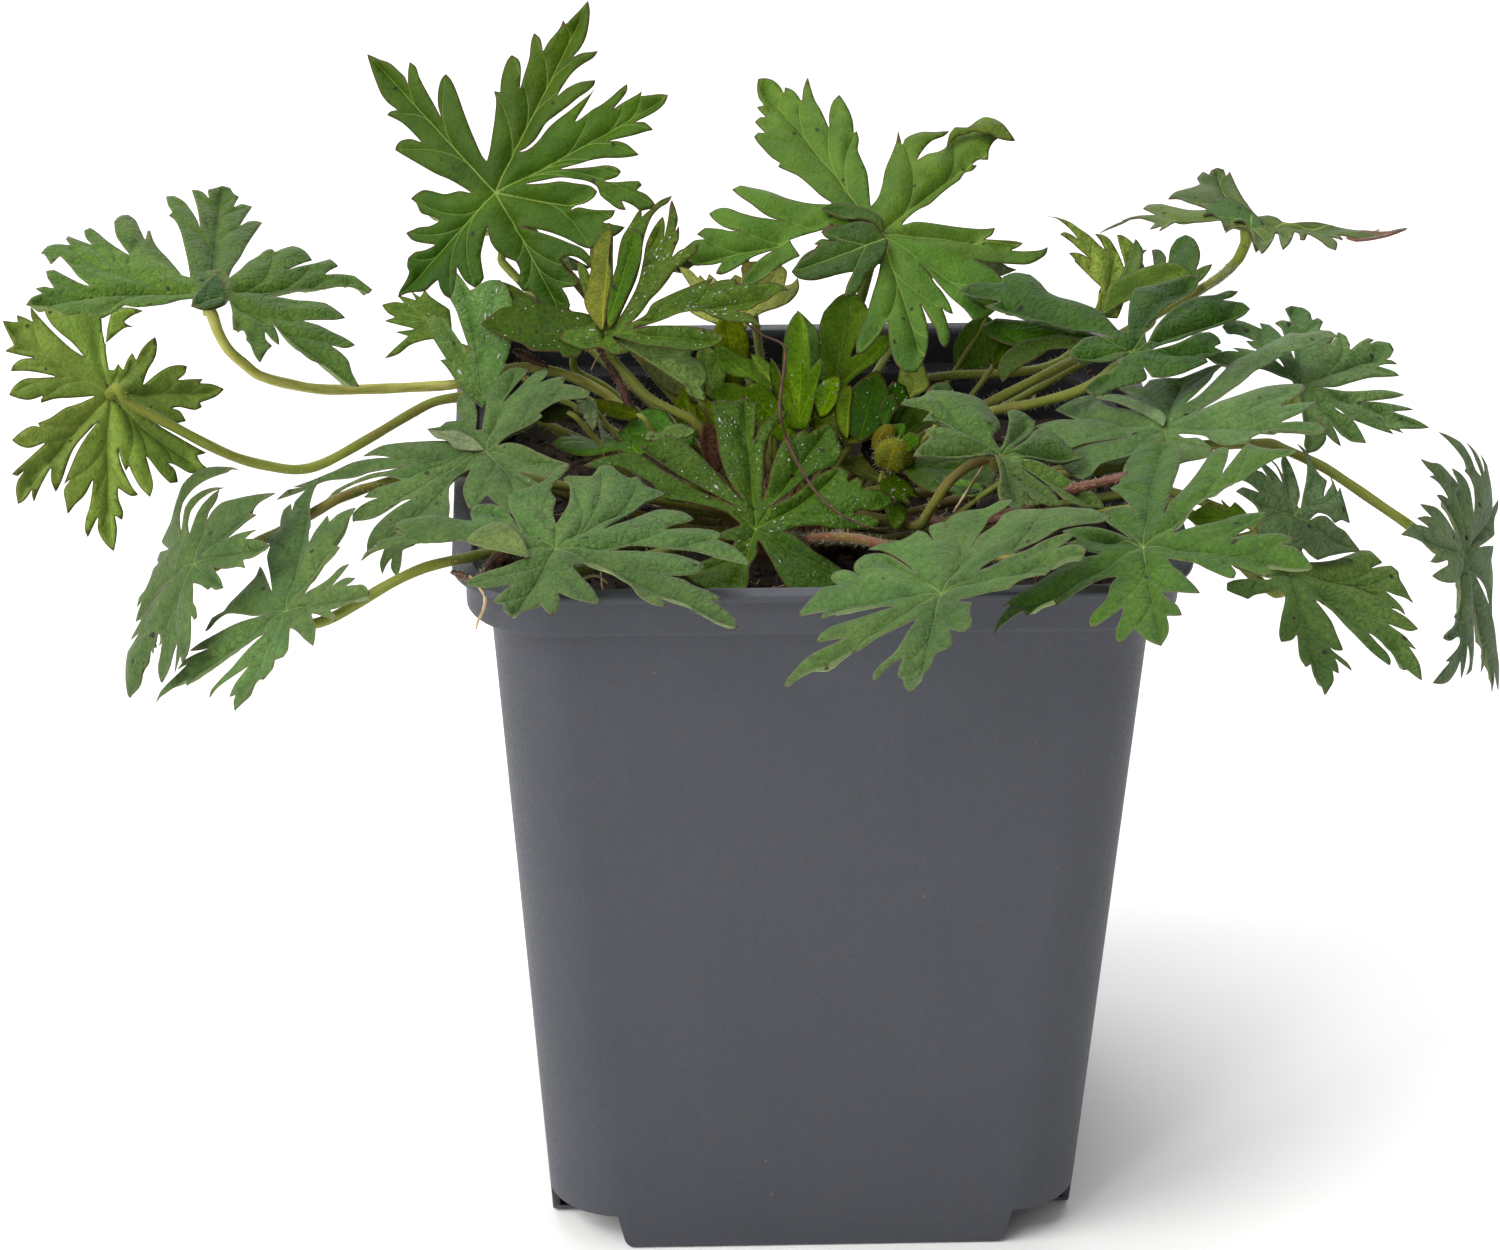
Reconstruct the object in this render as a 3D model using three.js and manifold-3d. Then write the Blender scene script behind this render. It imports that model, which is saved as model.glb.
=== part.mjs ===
// A hardy geranium in its square grower's pot: a thin-walled plastic nursery pot on
// four side feet, peat compost, a woody crown, and deeply cut leaves on long stalks.
// Millimetres, +Z up. The origin is the middle of the pot's footprint on the surface
// it stands on; -Y is the front.
import * as THREE from 'three';
import Module from 'manifold-3d';

const wasm = await Module();
wasm.setup();

// ---- driving dimensions (mm) ----
const RIM_WIDTH = 90;            // outside width of the square rim flange
const POT_HEIGHT = 97;           // standing plane to the top of the rim
const RIM_CORNER = 11.66;        // plan radius of the flange's corners
const COLLAR_HALF = 43.3;        // half width of the collar below the flange
const COLLAR_FOOT = 90.9;        // height of the collar's lower edge
const WALL_FOOT_HALF = 33.64;    // half width of the tapered wall at the standing plane
const WALL_SLOPE = 0.0753;       // half width gained per millimetre of height
const WALL_CORNER = 9.76;        // plan radius of the wall's corners
const WALL = 1.0;                // wall thickness
const FLOOR = 1.2;               // floor thickness
const FOOT_HALF = 24.6;          // half width of each side foot
const FOOT_RISE = 5;             // how far the corners are lifted
const DRAIN_RADIUS = 3.4;        // drainage hole in each lifted corner
const SOIL_TOP = 85.2;           // mean compost level
const GAP = 0.3;                 // clearance between pieces that touch
const LEAF_THICKNESS = 0.45;
const CROWN_AT = [-3, -2, 86.6]; // centre of the crown's dome
const CROWN_HALF = [8, 6.2, 4.2];
const CROWN_FOOT = 86.0;         // flat underside of the crown

const wallHalf = (z) => WALL_FOOT_HALF + WALL_SLOPE * z;

// ---- helpers ----
function geometry(positions, index) {
  const g = new THREE.BufferGeometry();
  g.setAttribute('position', new THREE.Float32BufferAttribute(positions, 3));
  g.setIndex(index);
  return g;
}

// a rounded square ring, counter-clockwise seen from above
function ring(half, corner, z, steps = 4) {
  const out = [];
  const c = Math.min(corner, half - 0.01);
  [[1, 1], [-1, 1], [-1, -1], [1, -1]].forEach(([sx, sy], k) => {
    for (let i = 0; i <= steps; i++) {
      const t = (k + i / steps) * Math.PI / 2;
      out.push([sx * (half - c) + c * Math.cos(t), sy * (half - c) + c * Math.sin(t), z]);
    }
  });
  return out;
}

// closed solid through stacked rings, each with the same number of points
function loft(rings) {
  const n = rings[0].length;
  const pos = rings.flat(2);
  const idx = [];
  for (let r = 0; r < rings.length - 1; r++) {
    for (let i = 0; i < n; i++) {
      const a = r * n + i, b = r * n + (i + 1) % n;
      idx.push(a, b, b + n, a, b + n, a + n);
    }
  }
  const cap = (base, up) => {
    const c = pos.length / 3;
    let sx = 0, sy = 0, sz = 0;
    for (let i = 0; i < n; i++) { sx += pos[3 * (base + i)]; sy += pos[3 * (base + i) + 1]; sz += pos[3 * (base + i) + 2]; }
    pos.push(sx / n, sy / n, sz / n);
    for (let i = 0; i < n; i++) {
      const a = base + i, b = base + (i + 1) % n;
      if (up) idx.push(a, b, c); else idx.push(b, a, c);
    }
  };
  cap(0, false);
  cap((rings.length - 1) * n, true);
  return geometry(pos, idx);
}

function toManifold(g) {
  const p = g.attributes.position, map = new Map(), verts = [], tris = [];
  const at = (i) => {
    const key = [p.getX(i), p.getY(i), p.getZ(i)].map((v) => Math.round(v * 1e4)).join();
    if (!map.has(key)) { map.set(key, verts.length / 3); verts.push(p.getX(i), p.getY(i), p.getZ(i)); }
    return map.get(key);
  };
  const count = g.index ? g.index.count : p.count;
  for (let t = 0; t < count; t += 3) {
    const [a, b, c] = [0, 1, 2].map((k) => at(g.index ? g.index.getX(t + k) : t + k));
    if (a !== b && b !== c && a !== c) tris.push(a, b, c);
  }
  return new wasm.Manifold(new wasm.Mesh({ numProp: 3, vertProperties: new Float32Array(verts), triVerts: new Uint32Array(tris) }));
}

function fromManifold(m) {
  const q = m.getMesh();
  return geometry(Array.from(q.vertProperties), Array.from(q.triVerts));
}

// ---- pot ----
// Outside and inside are lofted, the corner blocks lift the floor at the corners,
// and a drainage hole passes each lifted corner.
function cornerBlocks(grow, top, below) {
  // tapered blocks that stand outside the four side feet; `grow` moves their faces inwards
  const parts = [];
  for (const sx of [1, -1]) for (const sy of [1, -1]) {
    const lo = FOOT_HALF - grow, hi = FOOT_HALF + 0.8 - grow, far = 60;
    const pts = [];
    for (const [z, f] of [[below, lo - 0.1], [top - 1.2, hi - 0.5], [top, hi + 0.9]]) {
      pts.push([sx * f, sy * f, z], [sx * far, sy * f, z], [sx * far, sy * far, z], [sx * f, sy * far, z]);
    }
    parts.push(wasm.Manifold.hull(pts));
  }
  return parts;
}

function potGeometry() {
  const W = RIM_WIDTH / 2, H = POT_HEIGHT, C = COLLAR_HALF;
  const outside = toManifold(loft([
    ring(wallHalf(0) - 0.5, WALL_CORNER - 0.5, 0), ring(wallHalf(0.6), WALL_CORNER, 0.6),
    ring(wallHalf(45), WALL_CORNER, 45), ring(wallHalf(COLLAR_FOOT), WALL_CORNER, COLLAR_FOOT),
    ring(C - 0.4, 10.5, COLLAR_FOOT), ring(C, 10.8, COLLAR_FOOT + 0.5),
    ring(C, 10.8, H - 1.3), ring(C + 0.3, 10.9, H - 1.0), ring(W - 0.1, RIM_CORNER, H - 1.0), ring(W, RIM_CORNER, H - 0.7),
    ring(W, RIM_CORNER, H - 0.3), ring(W - 0.3, RIM_CORNER - 0.2, H),
  ]));
  const inside = toManifold(loft([
    ring(wallHalf(FLOOR) - WALL, WALL_CORNER - WALL, FLOOR), ring(wallHalf(COLLAR_FOOT) - WALL, WALL_CORNER - WALL, COLLAR_FOOT),
    ring(wallHalf(COLLAR_FOOT) - WALL + 0.3, 9, COLLAR_FOOT + 0.9), ring(C - WALL - 0.4, 9.7, COLLAR_FOOT + 1.0),
    ring(C - WALL, 9.9, COLLAR_FOOT + 1.5), ring(C - WALL, 9.9, H - 0.9), ring(C - WALL + 0.35, 10.2, H), ring(C - WALL + 0.35, 10.2, H + 2),
  ]));
  let shell = outside, hollow = inside;
  for (const b of cornerBlocks(0, FOOT_RISE, -1)) shell = shell.subtract(b);
  for (const b of cornerBlocks(FLOOR, FOOT_RISE + FLOOR, -1)) hollow = hollow.subtract(b);
  let pot = shell.subtract(hollow);
  for (const sx of [1, -1]) for (const sy of [1, -1]) {
    pot = pot.subtract(wasm.Manifold.cylinder(10, DRAIN_RADIUS, DRAIN_RADIUS, 12).translate([sx * 27.6, sy * 27.6, 0]));
  }
  return fromManifold(pot);
}

// ---- compost ----
function soilHeight(x, y) {
  const near = Math.min(1, Math.max(0, (Math.hypot((x - CROWN_AT[0]) / 1.3, y - CROWN_AT[1]) - 8) / 6));
  const bump = 0.55 * Math.sin(0.31 * x + 1.1) * Math.cos(0.27 * y - 0.4) + 0.4 * Math.sin(0.62 * x - 0.55 * y) + 0.25 * Math.cos(0.93 * y + 0.4 * x);
  return SOIL_TOP + near * bump;
}

function soilGeometry() {
  const half = (z) => wallHalf(z) - WALL - GAP;
  const foot = FOOT_RISE + FLOOR + 0.6;
  const top = SOIL_TOP - 1.2;
  const base = ring(half(top), WALL_CORNER - WALL - GAP, top);
  const rings = [ring(half(foot), WALL_CORNER - WALL - GAP, foot), base];
  for (const s of [0.97, 0.8, 0.6, 0.4, 0.2]) {
    rings.push(base.map(([x, y]) => [x * s, y * s, soilHeight(x * s, y * s)]));
  }
  return loft(rings);
}

// ---- crown ----
function crownGeometry() {
  const profile = [new THREE.Vector2(0, 0), new THREE.Vector2(0.93, 0), new THREE.Vector2(1, (CROWN_AT[2] - CROWN_FOOT) / CROWN_HALF[2])];
  for (let i = 1; i <= 5; i++) {
    const t = (i / 5) * Math.PI / 2;
    profile.push(new THREE.Vector2(i === 5 ? 0 : Math.cos(t), (CROWN_AT[2] - CROWN_FOOT) / CROWN_HALF[2] + Math.sin(t)));
  }
  const g = new THREE.LatheGeometry(profile, 18);
  g.rotateX(Math.PI / 2);
  g.scale(CROWN_HALF[0], CROWN_HALF[1], CROWN_HALF[2]);
  g.translate(CROWN_AT[0], CROWN_AT[1], CROWN_FOOT);
  return g;
}

// ---- leaves ----
// A blade is a flat outline laid on a gently drooping surface about the point where
// the stalk joins. `facing` is the upper side's normal there, `across` the outline's
// first axis, `span` the radius over which it starts to droop. A negative droop lifts it.
function triangulate(points) {
  const v = points.map(([x, y]) => new THREE.Vector2(x, y));
  let tris = THREE.ShapeUtils.triangulateShape(v, []).map((t) => [...t]);
  const pts = points.map((p) => [...p]);
  const n = points.length;
  const boundary = (a, b) => a < n && b < n && (Math.abs(a - b) === 1 || Math.abs(a - b) === n - 1);
  const cross = (a, b, c) => (pts[b][0] - pts[a][0]) * (pts[c][1] - pts[a][1]) - (pts[b][1] - pts[a][1]) * (pts[c][0] - pts[a][0]);
  const angle = (a, b, c) => { // at c, opposite the edge a-b
    const ux = pts[a][0] - pts[c][0], uy = pts[a][1] - pts[c][1], vx = pts[b][0] - pts[c][0], vy = pts[b][1] - pts[c][1];
    return Math.acos(Math.max(-1, Math.min(1, (ux * vx + uy * vy) / (Math.hypot(ux, uy) * Math.hypot(vx, vy)))));
  };
  const edges = () => {
    const m = new Map();
    tris.forEach((t, i) => { for (let k = 0; k < 3; k++) { const a = t[k], b = t[(k + 1) % 3]; const key = a < b ? a * 1e5 + b : b * 1e5 + a; if (!m.has(key)) m.set(key, []); m.get(key).push([i, t[(k + 2) % 3]]); } });
    return m;
  };
  const improve = () => {
    for (let pass = 0; pass < 30; pass++) {
      let flips = 0;
      const used = new Set();
      for (const [key, list] of edges()) {
        if (list.length < 2) continue;
        const a = Math.floor(key / 1e5), b = key % 1e5;
        const [[i, c], [j, d]] = list;
        if (used.has(i) || used.has(j)) continue;
        if (angle(a, b, c) + angle(a, b, d) <= Math.PI + 1e-6) continue;
        const t1 = [c, d, a], t2 = [d, c, b];
        for (const t of [t1, t2]) if (cross(...t) < 0) t.reverse();
        const whole = Math.abs(cross(a, b, c)) + Math.abs(cross(a, b, d));
        if (Math.abs(cross(...t1)) + Math.abs(cross(...t2)) > whole * (1 + 1e-9) || Math.min(cross(...t1), cross(...t2)) < 0.02) continue;
        tris[i] = t1; tris[j] = t2; used.add(i); used.add(j); flips++;
      }
      if (!flips) break;
    }
  };
  improve();
  for (let pass = 0; pass < 2; pass++) {
    const cut = new Set();
    for (const [key, list] of edges()) {
      const a = Math.floor(key / 1e5), b = key % 1e5;
      if (list.length < 2) continue;
      const l = Math.hypot(pts[a][0] - pts[b][0], pts[a][1] - pts[b][1]);
      if (l < 9 || list.some(([i]) => cut.has(i))) continue;
      const m = pts.length;
      pts.push([(pts[a][0] + pts[b][0]) / 2, (pts[a][1] + pts[b][1]) / 2]);
      for (const [i, c] of list) {
        const t = tris[i], k = t.indexOf(c), p = t[(k + 1) % 3], q = t[(k + 2) % 3];
        tris[i] = [c, p, m]; tris.push([c, m, q]); cut.add(i);
      }
    }
    improve();
  }
  tris = tris.map((t) => (cross(...t) < 0 ? [t[0], t[2], t[1]] : t));
  return { pts, tris };
}

function bladeGeometry({ at, facing, across, span, droop, outline }) {
  const n = new THREE.Vector3(...facing).normalize();
  const u = new THREE.Vector3(...across).addScaledVector(n, -n.dot(new THREE.Vector3(...across))).normalize();
  const v = new THREE.Vector3().crossVectors(n, u);
  const rim = [];
  for (let i = 0; i < outline.length; i += 2) rim.push([outline[i], outline[i + 1]]);
  const { pts, tris } = triangulate(rim);
  const pos = [], idx = [], count = pts.length;
  for (const side of [0.5, -0.5]) {
    for (const [x, y] of pts) {
      const h = -droop * (Math.hypot(x, y, span) - span) + side * LEAF_THICKNESS;
      pos.push(at[0] + x * u.x + y * v.x + h * n.x, at[1] + x * u.y + y * v.y + h * n.y, at[2] + x * u.z + y * v.z + h * n.z);
    }
  }
  for (const [a, b, c] of tris) { idx.push(a, b, c); idx.push(a + count, c + count, b + count); }
  for (let i = 0; i < rim.length; i++) {
    const a = i, b = (i + 1) % rim.length;
    idx.push(b, a, a + count, b, a + count, b + count);
  }
  return geometry(pos, idx);
}

function stalkGeometry({ radius, path }) {
  const points = path.map((p) => new THREE.Vector3(...p));
  const curve = new THREE.CatmullRomCurve3(points, false, 'centripetal');
  const shape = new THREE.Shape();
  for (let i = 0; i < 5; i++) {
    const t = (i / 5) * 2 * Math.PI;
    if (i) shape.lineTo(radius * Math.cos(t), radius * Math.sin(t)); else shape.moveTo(radius, 0);
  }
  shape.closePath();
  const steps = Math.max(6, Math.min(20, Math.round(curve.getLength() / 5)));
  return new THREE.ExtrudeGeometry(shape, { steps, extrudePath: curve, bevelEnabled: false });
}

// outline: x, y pairs in the blade's own plane, from the stalk's joint
const LEAVES = [
  { name: 'leaf_01_tall_left', at: [-39.73, 22.31, 124.18], facing: [-0.2828, -0.8212, 0.4956], across: [0.959, -0.2508, 0.1316],
    span: 16, droop: 0.086, outline: [12.1, 24.5, 9.2, 21.7, 8.8, 22.2, 6.3, 18.2, 5, 20.7, 3.3, 13.3, 3, 17.2, 2.1, 17.9, 1.6, 17.4, 0.7, 13.1, -0.1, 13.2, 0.1, 10.1, -1, 4, -6.8, 15.9, -7.8, 13.6, -7.4, 10.2, -11, 17.1, -11.7, 17.8, -12, 14.9, -14.6, 17.9, -17.7, 19.3, -15.6, 13.9, -13.3, 11.6, -14.7, 11, -9.9, 7.1, -12.6, 7.5, -13.5, 6.3, -3, 0, -9.5, 0.7, -11.2, -0.3, -9.9, -2.2, -7.1, -3.3, -11.9, -4.7, -11.1, -5.6, -7.9, -6.5, -11.6, -8, -11.5, -9.8, -13, -12.9, -9.4, -12.3, -7.6, -11, -6.6, -13.1, -5.8, -13.5, -5, -9.4, -3.8, -11.5, -2.6, -12.3, -2.1, -11.9, -1.4, -11.1, -1.8, -8.1, -0.7, -4.2, 0.3, -7.5, 3, -9.2, 3.5, -10.5, 3.1, -11.9, 3.9, -12.9, 4.9, -13, 8.9, -17.1, 10, -15, 8.9, -12.8, 11.3, -12.5, 8.7, -9.2, 11.2, -9, 13.1, -10.7, 12.7, -9, 11.6, -7.8, 3.4, -4.5, 12.7, -7.9, 17.2, -5.3, 14.4, -4.6, 15.9, -3.1, 10.1, -2.9, 13.2, -1.2, 13.6, -0.5, 12.7, 0.2, 8.8, 1, 4.1, 0.9, 10.8, 1.3, 13.7, 0.1, 14.1, -1, 16.4, -2.8, 17.3, -3, 16.9, -1.8, 19.3, -3.2, 21.3, -2.7, 18.8, -0.5, 19.4, 0.1, 19.1, 0.6, 14.5, 0.8, 16.3, 1.4, 16.7, 2, 16.1, 2.5, 8.7, 2.7, 13, 3.7, 19, 4.1, 17.5, 5.5, 15.1, 6.1, 20.8, 7.3, 18.6, 8.4, 21.5, 9.9, 22.7, 11.7, 19.2, 11.7, 19.3, 12.3, 15.6, 10.1, 17.4, 13.3, 10.7, 8.6, 12.9, 12.6, 5.7, 6.2, 3.2, 5.1, 5.4, 6.6, 6.8, 8.8, 13, 13.5, 13.2, 14, 11.3, 13.9, 8.2, 12.2, 10.3, 15.3, 13.4, 17.9, 10.2, 17.3, 12.1, 20.8] },
  { name: 'leaf_02_tall_centre', at: [9.88, 15.83, 120.62], facing: [0.187, -0.4751, 0.8598], across: [0.9818, 0.0608, -0.1799],
    span: 18.8, droop: 0.13, outline: [-15.7, 25.5, -15.6, 21.9, -15, 20.6, -15.9, 20.1, -14.7, 18.4, -16.2, 17.3, -14.9, 15.3, -16.4, 14.4, -13.1, 10.1, -13.4, 9.4, -10.8, 8.1, -6.3, 3.7, -10.7, 3.4, -18.4, 5.3, -19.3, 4.5, -18.3, 3.4, -15.5, 1, -12.6, -0.1, -16.5, 0.1, -19.7, 1.1, -21.6, 0.8, -22.3, 0.1, -21.7, -0.9, -18.3, -2.5, -22.8, -2.4, -23.8, -3.4, -22.8, -4.2, -24.9, -5.4, -25.9, -6.7, -25.7, -7.4, -23.4, -8.5, -20.6, -7.7, -21.3, -9.6, -20.6, -9.6, -14.1, -5, -17.3, -8.7, -18.1, -11.3, -16.8, -10.8, -10.8, -5.6, -12.1, -3.1, -7.5, -0.7, -7.9, -1.3, -6.8, -2.5, -7.8, -2.5, -8.8, -3.4, -7.8, -3.7, -9.6, -4.9, -11.3, -7.7, -10.6, -8.7, -9.1, -9.1, -7.5, -8.7, -2.8, -5.4, -4.8, -11.2, -3.6, -10.4, -0.1, -4.4, -3.2, -20.1, -1, -17.8, 0.6, -14.4, 1.9, -20.8, 3, -21.7, 4.5, -21.4, 5.9, -17.1, 5, -10.8, 8.1, -17, 8.8, -15.7, 7.7, -10.9, 9.2, -11.5, 4.9, -4, 12, -12, 15, -9.6, 16.1, -5.1, 15.4, -3.7, 12.2, -1.9, 19.5, -0.8, 22.1, 1.5, 22.3, 2.7, 17.3, 0.8, 18.9, 2.5, 13.8, 1.8, 15.1, 4.1, 4.4, 2.6, 2.6, 1.7, 13.1, 14.8, 12.5, 14.9, 13.5, 16.2, 14.8, 16.5, 16.5, 21.2, 18.7, 21.2, 17.2, 24, 14.9, 24.6, 10.6, 20.8, 9.2, 17.4, 5.1, 13.9, 7.2, 18.1, 9.5, 20.5, 4.6, 18.6, 3.2, 16.3, 2.7, 18.6, -0.3, 6, -1.3, 4.2, -2.9, 17.7, -3.3, 17.3, -3.7, 21.3, -5, 24.2, -6, 22.6, -6.6, 17.6, -9.1, 26.9, -10, 22.2, -11.2, 24.2, -12.2, 24.5, -12.4, 23.3, -13.8, 25.7] },
  { name: 'leaf_03_back_right', at: [54.76, 2, 126.69], facing: [0.0186, -0.0654, 0.9977], across: [0.999, -0.0391, -0.0212],
    span: 13.4, droop: 0.01, outline: [19.9, -0.9, 16, -2.7, 16.4, -1.5, 15.9, -2, 12.7, -2, 8.6, 0.2, 5.6, -0.3, 4.5, -0.1, 2.8, 2, 1.5, 1.6, 0.1, 7.3, -0.9, 15.5, -1.5, 14.4, -1.6, 16.4, -2.4, 16.9, -3.6, 14.6, -4.3, 15.4, -5.2, 13.5, -4.9, 11.5, -8.3, 8.7, -9.4, 6.5, -8.2, 6.6, -4.6, 3.1, -6.9, 3, -10.6, 4.7, -12.1, 4.4, -12.8, 3.1, -11, 1.2, -13.4, 0.8, -15.5, -0.6, -13.4, 0, -11.6, -1.2, -12.3, -3, -10.8, -2.1, -11.2, -3.4, -9.2, -1.1, -2, 0.3, -2.9, -3.6, -0.4, -1.5, 1, -9.9, 3.3, -2.8, 3.8, -8.4, 5.8, -3, 6.2, -5.4, 6.7, -5.4, 7.4, -3.5, 10.3, -8.4, 10.6, -6.1, 9.9, -4.3, 11.4, -5.3, 11.3, -3.8, 14.3, -4.8, 16, -4.4] },
  { name: 'leaf_04_far_left', at: [-74.12, -10, 122.99], facing: [0.2164, -0.1451, 0.9655], across: [0.9755, -0.008, -0.2199],
    span: 19.3, droop: 0.126, outline: [-1.2, 31.6, -2.8, 29.4, -2.5, 26.9, -4.1, 28.7, -4.8, 28.4, -2.8, 16.9, -5.7, 24.3, -6.9, 25.3, -7.8, 24.6, -6.7, 20.3, -7, 19.2, -5.2, 15.2, -2.9, 2.6, -4, 2.8, -7.6, 8.9, -8.9, 13.3, -9.3, 10.5, -11.1, 15.9, -12, 17, -12.9, 16.4, -13.5, 14.4, -12.9, 10.8, -10.6, 5.5, -16.2, 11.6, -16.8, 10.6, -15.4, 7, -18.6, 8.5, -18.1, 6.2, -20.7, 5.2, -21.3, 3.3, -19.9, 0.9, -19, 3.1, -14.6, -3.4, -19.3, -0.7, -20.2, -1.2, -18.7, -5, -20, -4.9, -20.8, -5.5, -20, -6.5, -21.1, -7.8, -21.5, -9.6, -18.1, -10, -16.8, -11, -15.1, -10.1, -12.3, -10.3, -10, -6.6, -7.1, -5.9, -2, -2.3, -2.1, -4.3, -0.8, -4.7, 0.4, -4.2, 2.3, -1, 3.4, -7.7, 4.6, -7.2, 7.2, -13.4, 8.2, -9.4, 7.1, -6.6, 9, -8.6, 7.9, -4.1, 13.1, -10.3, 14.7, -10.7, 18.4, -13.3, 19.4, -13, 17.6, -8.1, 15.2, -5.8, 17.1, -5.5, 18.2, -4.2, 13.4, -1.9, 11.4, -1.7, 16.5, 1.6, 15.2, 3.1, 13.9, 4, 6, 1.5, 10.5, 6.3, 16.1, 10, 19, 9.6, 19.4, 10.9, 17, 13.4, 13.3, 11.8, 14.8, 15, 13.8, 16.4, 8.5, 10.1, 11.5, 14.8, 9.8, 17.4, 8.8, 17.5, 6.8, 14.4, 6.4, 15.1, 5.7, 14.5, 1.7, 4.4, 4.5, 22.4, 3.7, 22.5, 1.9, 20, 3, 26.8, 1.8, 27.1, 0.7, 25.6, 1.1, 29.2, -0.2, 31.5] },
  { name: 'leaf_05_left_under', at: [-88.05, 2, 104.89], facing: [0.451, -0.6239, 0.6382], across: [0.8921, 0.2945, -0.3426],
    span: 13, droop: -0.051, outline: [1.1, -21.4, 1, -16.7, 2, -16.9, 2.1, -15.9, 1.3, -12.7, 3.9, -13.1, 2.3, -10.8, 1.1, -7.2, 2.3, -10.1, 2.7, -9.4, 5.6, -13, 5.9, -11.4, 4.8, -7.5, 8.3, -10.6, 9.2, -10.2, 7.8, -7.9, 10.9, -8.6, 13, -7.6, 11.6, -6.1, 12.8, -5.5, 2.2, -0.6, 8.6, -2.1, 10, -1.6, 9.2, -0.5, 8.1, -0.2, 11.2, 0.2, 14.9, 3.8, 11.7, 3.9, 12, 4.6, 8.7, 3.7, 9.8, 5.9, 8.6, 5.8, 4, 2.1, 5.4, 6.2, 5.3, 9, 3, 5.3, 2.4, 6.1, 1.3, 3.5, 0.6, 4.2, -0.6, 3.1, -2.6, 11.5, -5.1, 12.1, -9.7, 9.6, -8.8, 8, -4, 4.1, -8.1, 6.4, -11.5, 9.2, -11.1, 7.3, -13.2, 7.8, -13.2, 6.8, -15, 6.5, -13.4, 3.7, -14.4, 2.6, -10.6, 2.6, -12.2, 2, -13.5, 0.1, -7.6, 0.7, -11.8, -0.7, -13.6, -3.2, -10.9, -3.2, -9.2, -2.3, -9.4, -3.3, -2.2, -0.8, -6.1, -3.4, -9.6, -6.2, -9.3, -6.7, -10.4, -6.8, -12.9, -9.3, -10.6, -9.8, -8.5, -8.7, -12.7, -13.9, -11.1, -13.1, -12.1, -15.9, -11.8, -17.7, -10.1, -15.4, -9.7, -16.9, -7.7, -11.9, -6.9, -14.9, -4.7, -8.3, -1.7, -4.2, -4.1, -8.7, -5.8, -14.6, -5.1, -17.6, -2, -12.3, -2.8, -19.4, -2.4, -20.1, -1.1, -17.2, -1.1, -19] },
  { name: 'leaf_06_left_hanging', at: [-77.18, -24, 93.03], facing: [-0.7714, -0.2457, 0.587], across: [0.6354, -0.3476, 0.6895],
    span: 13.4, droop: 0.252, outline: [-7.3, 20.2, -8.3, 19.4, -8.1, 13.2, -9.3, 10.8, -6.5, 6.9, -9, 8.2, -9.4, 7.2, -8.7, 6.2, -10.1, 6.2, -11.6, 3.7, -13.2, 3.8, -13.4, 2.4, -11.9, 2.3, -13.1, -0.3, -8.2, 0.6, -3.6, -0.7, -9.4, -0.5, -14.2, -2.4, -12, -3, -15, -3.9, -15.3, -7.9, -14.3, -11.3, -9.8, -8.7, -9, -7.4, -8.3, -8.7, -7.2, -6.1, -6.4, -7.4, -6.7, -8.5, -5.9, -8.3, -7.1, -11.6, -6.5, -14.1, -5.1, -13.4, -2.8, -10.3, -3.5, -14.1, -2.3, -12.6, -2, -14, -0.3, -12.5, 0.3, -8.4, 1.5, -9.4, 0.8, -3.9, 3.8, -6.7, 6.4, -7.9, 4.7, -3.7, 10.3, -7, 10, -5.7, 11.6, -6.2, 14.4, -5.8, 10.3, -2.6, 12, -2.3, 7, -0.7, 12, 0.2, 10.8, 1.3, 14.8, 2.2, 5, 6.6, 3.4, 6.3, 2.3, 4.9, 2.2, 7, 3.7, 9.7, 0.5, 9.6, -0.5, 8.7, -1.3, 5.6, -2.5, 8.5, -2.5, 10.6, -0.9, 11.3, 1.1, 11.1, 4.3, 9.7, 1.6, 11.7, -3.6, 13.6, -4.5, 12.8, -3.8, 7.7, -5.6, 12.3, -5.9, 14.8, -4.6, 15.7, -2.3, 15.5, 6.8, 11.3, -3, 18.9] },
  { name: 'leaf_07_left_low', at: [-65.22, -38, 92.99], facing: [-0.6698, -0.1916, 0.7174], across: [0.7416, -0.2214, 0.6333],
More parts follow.
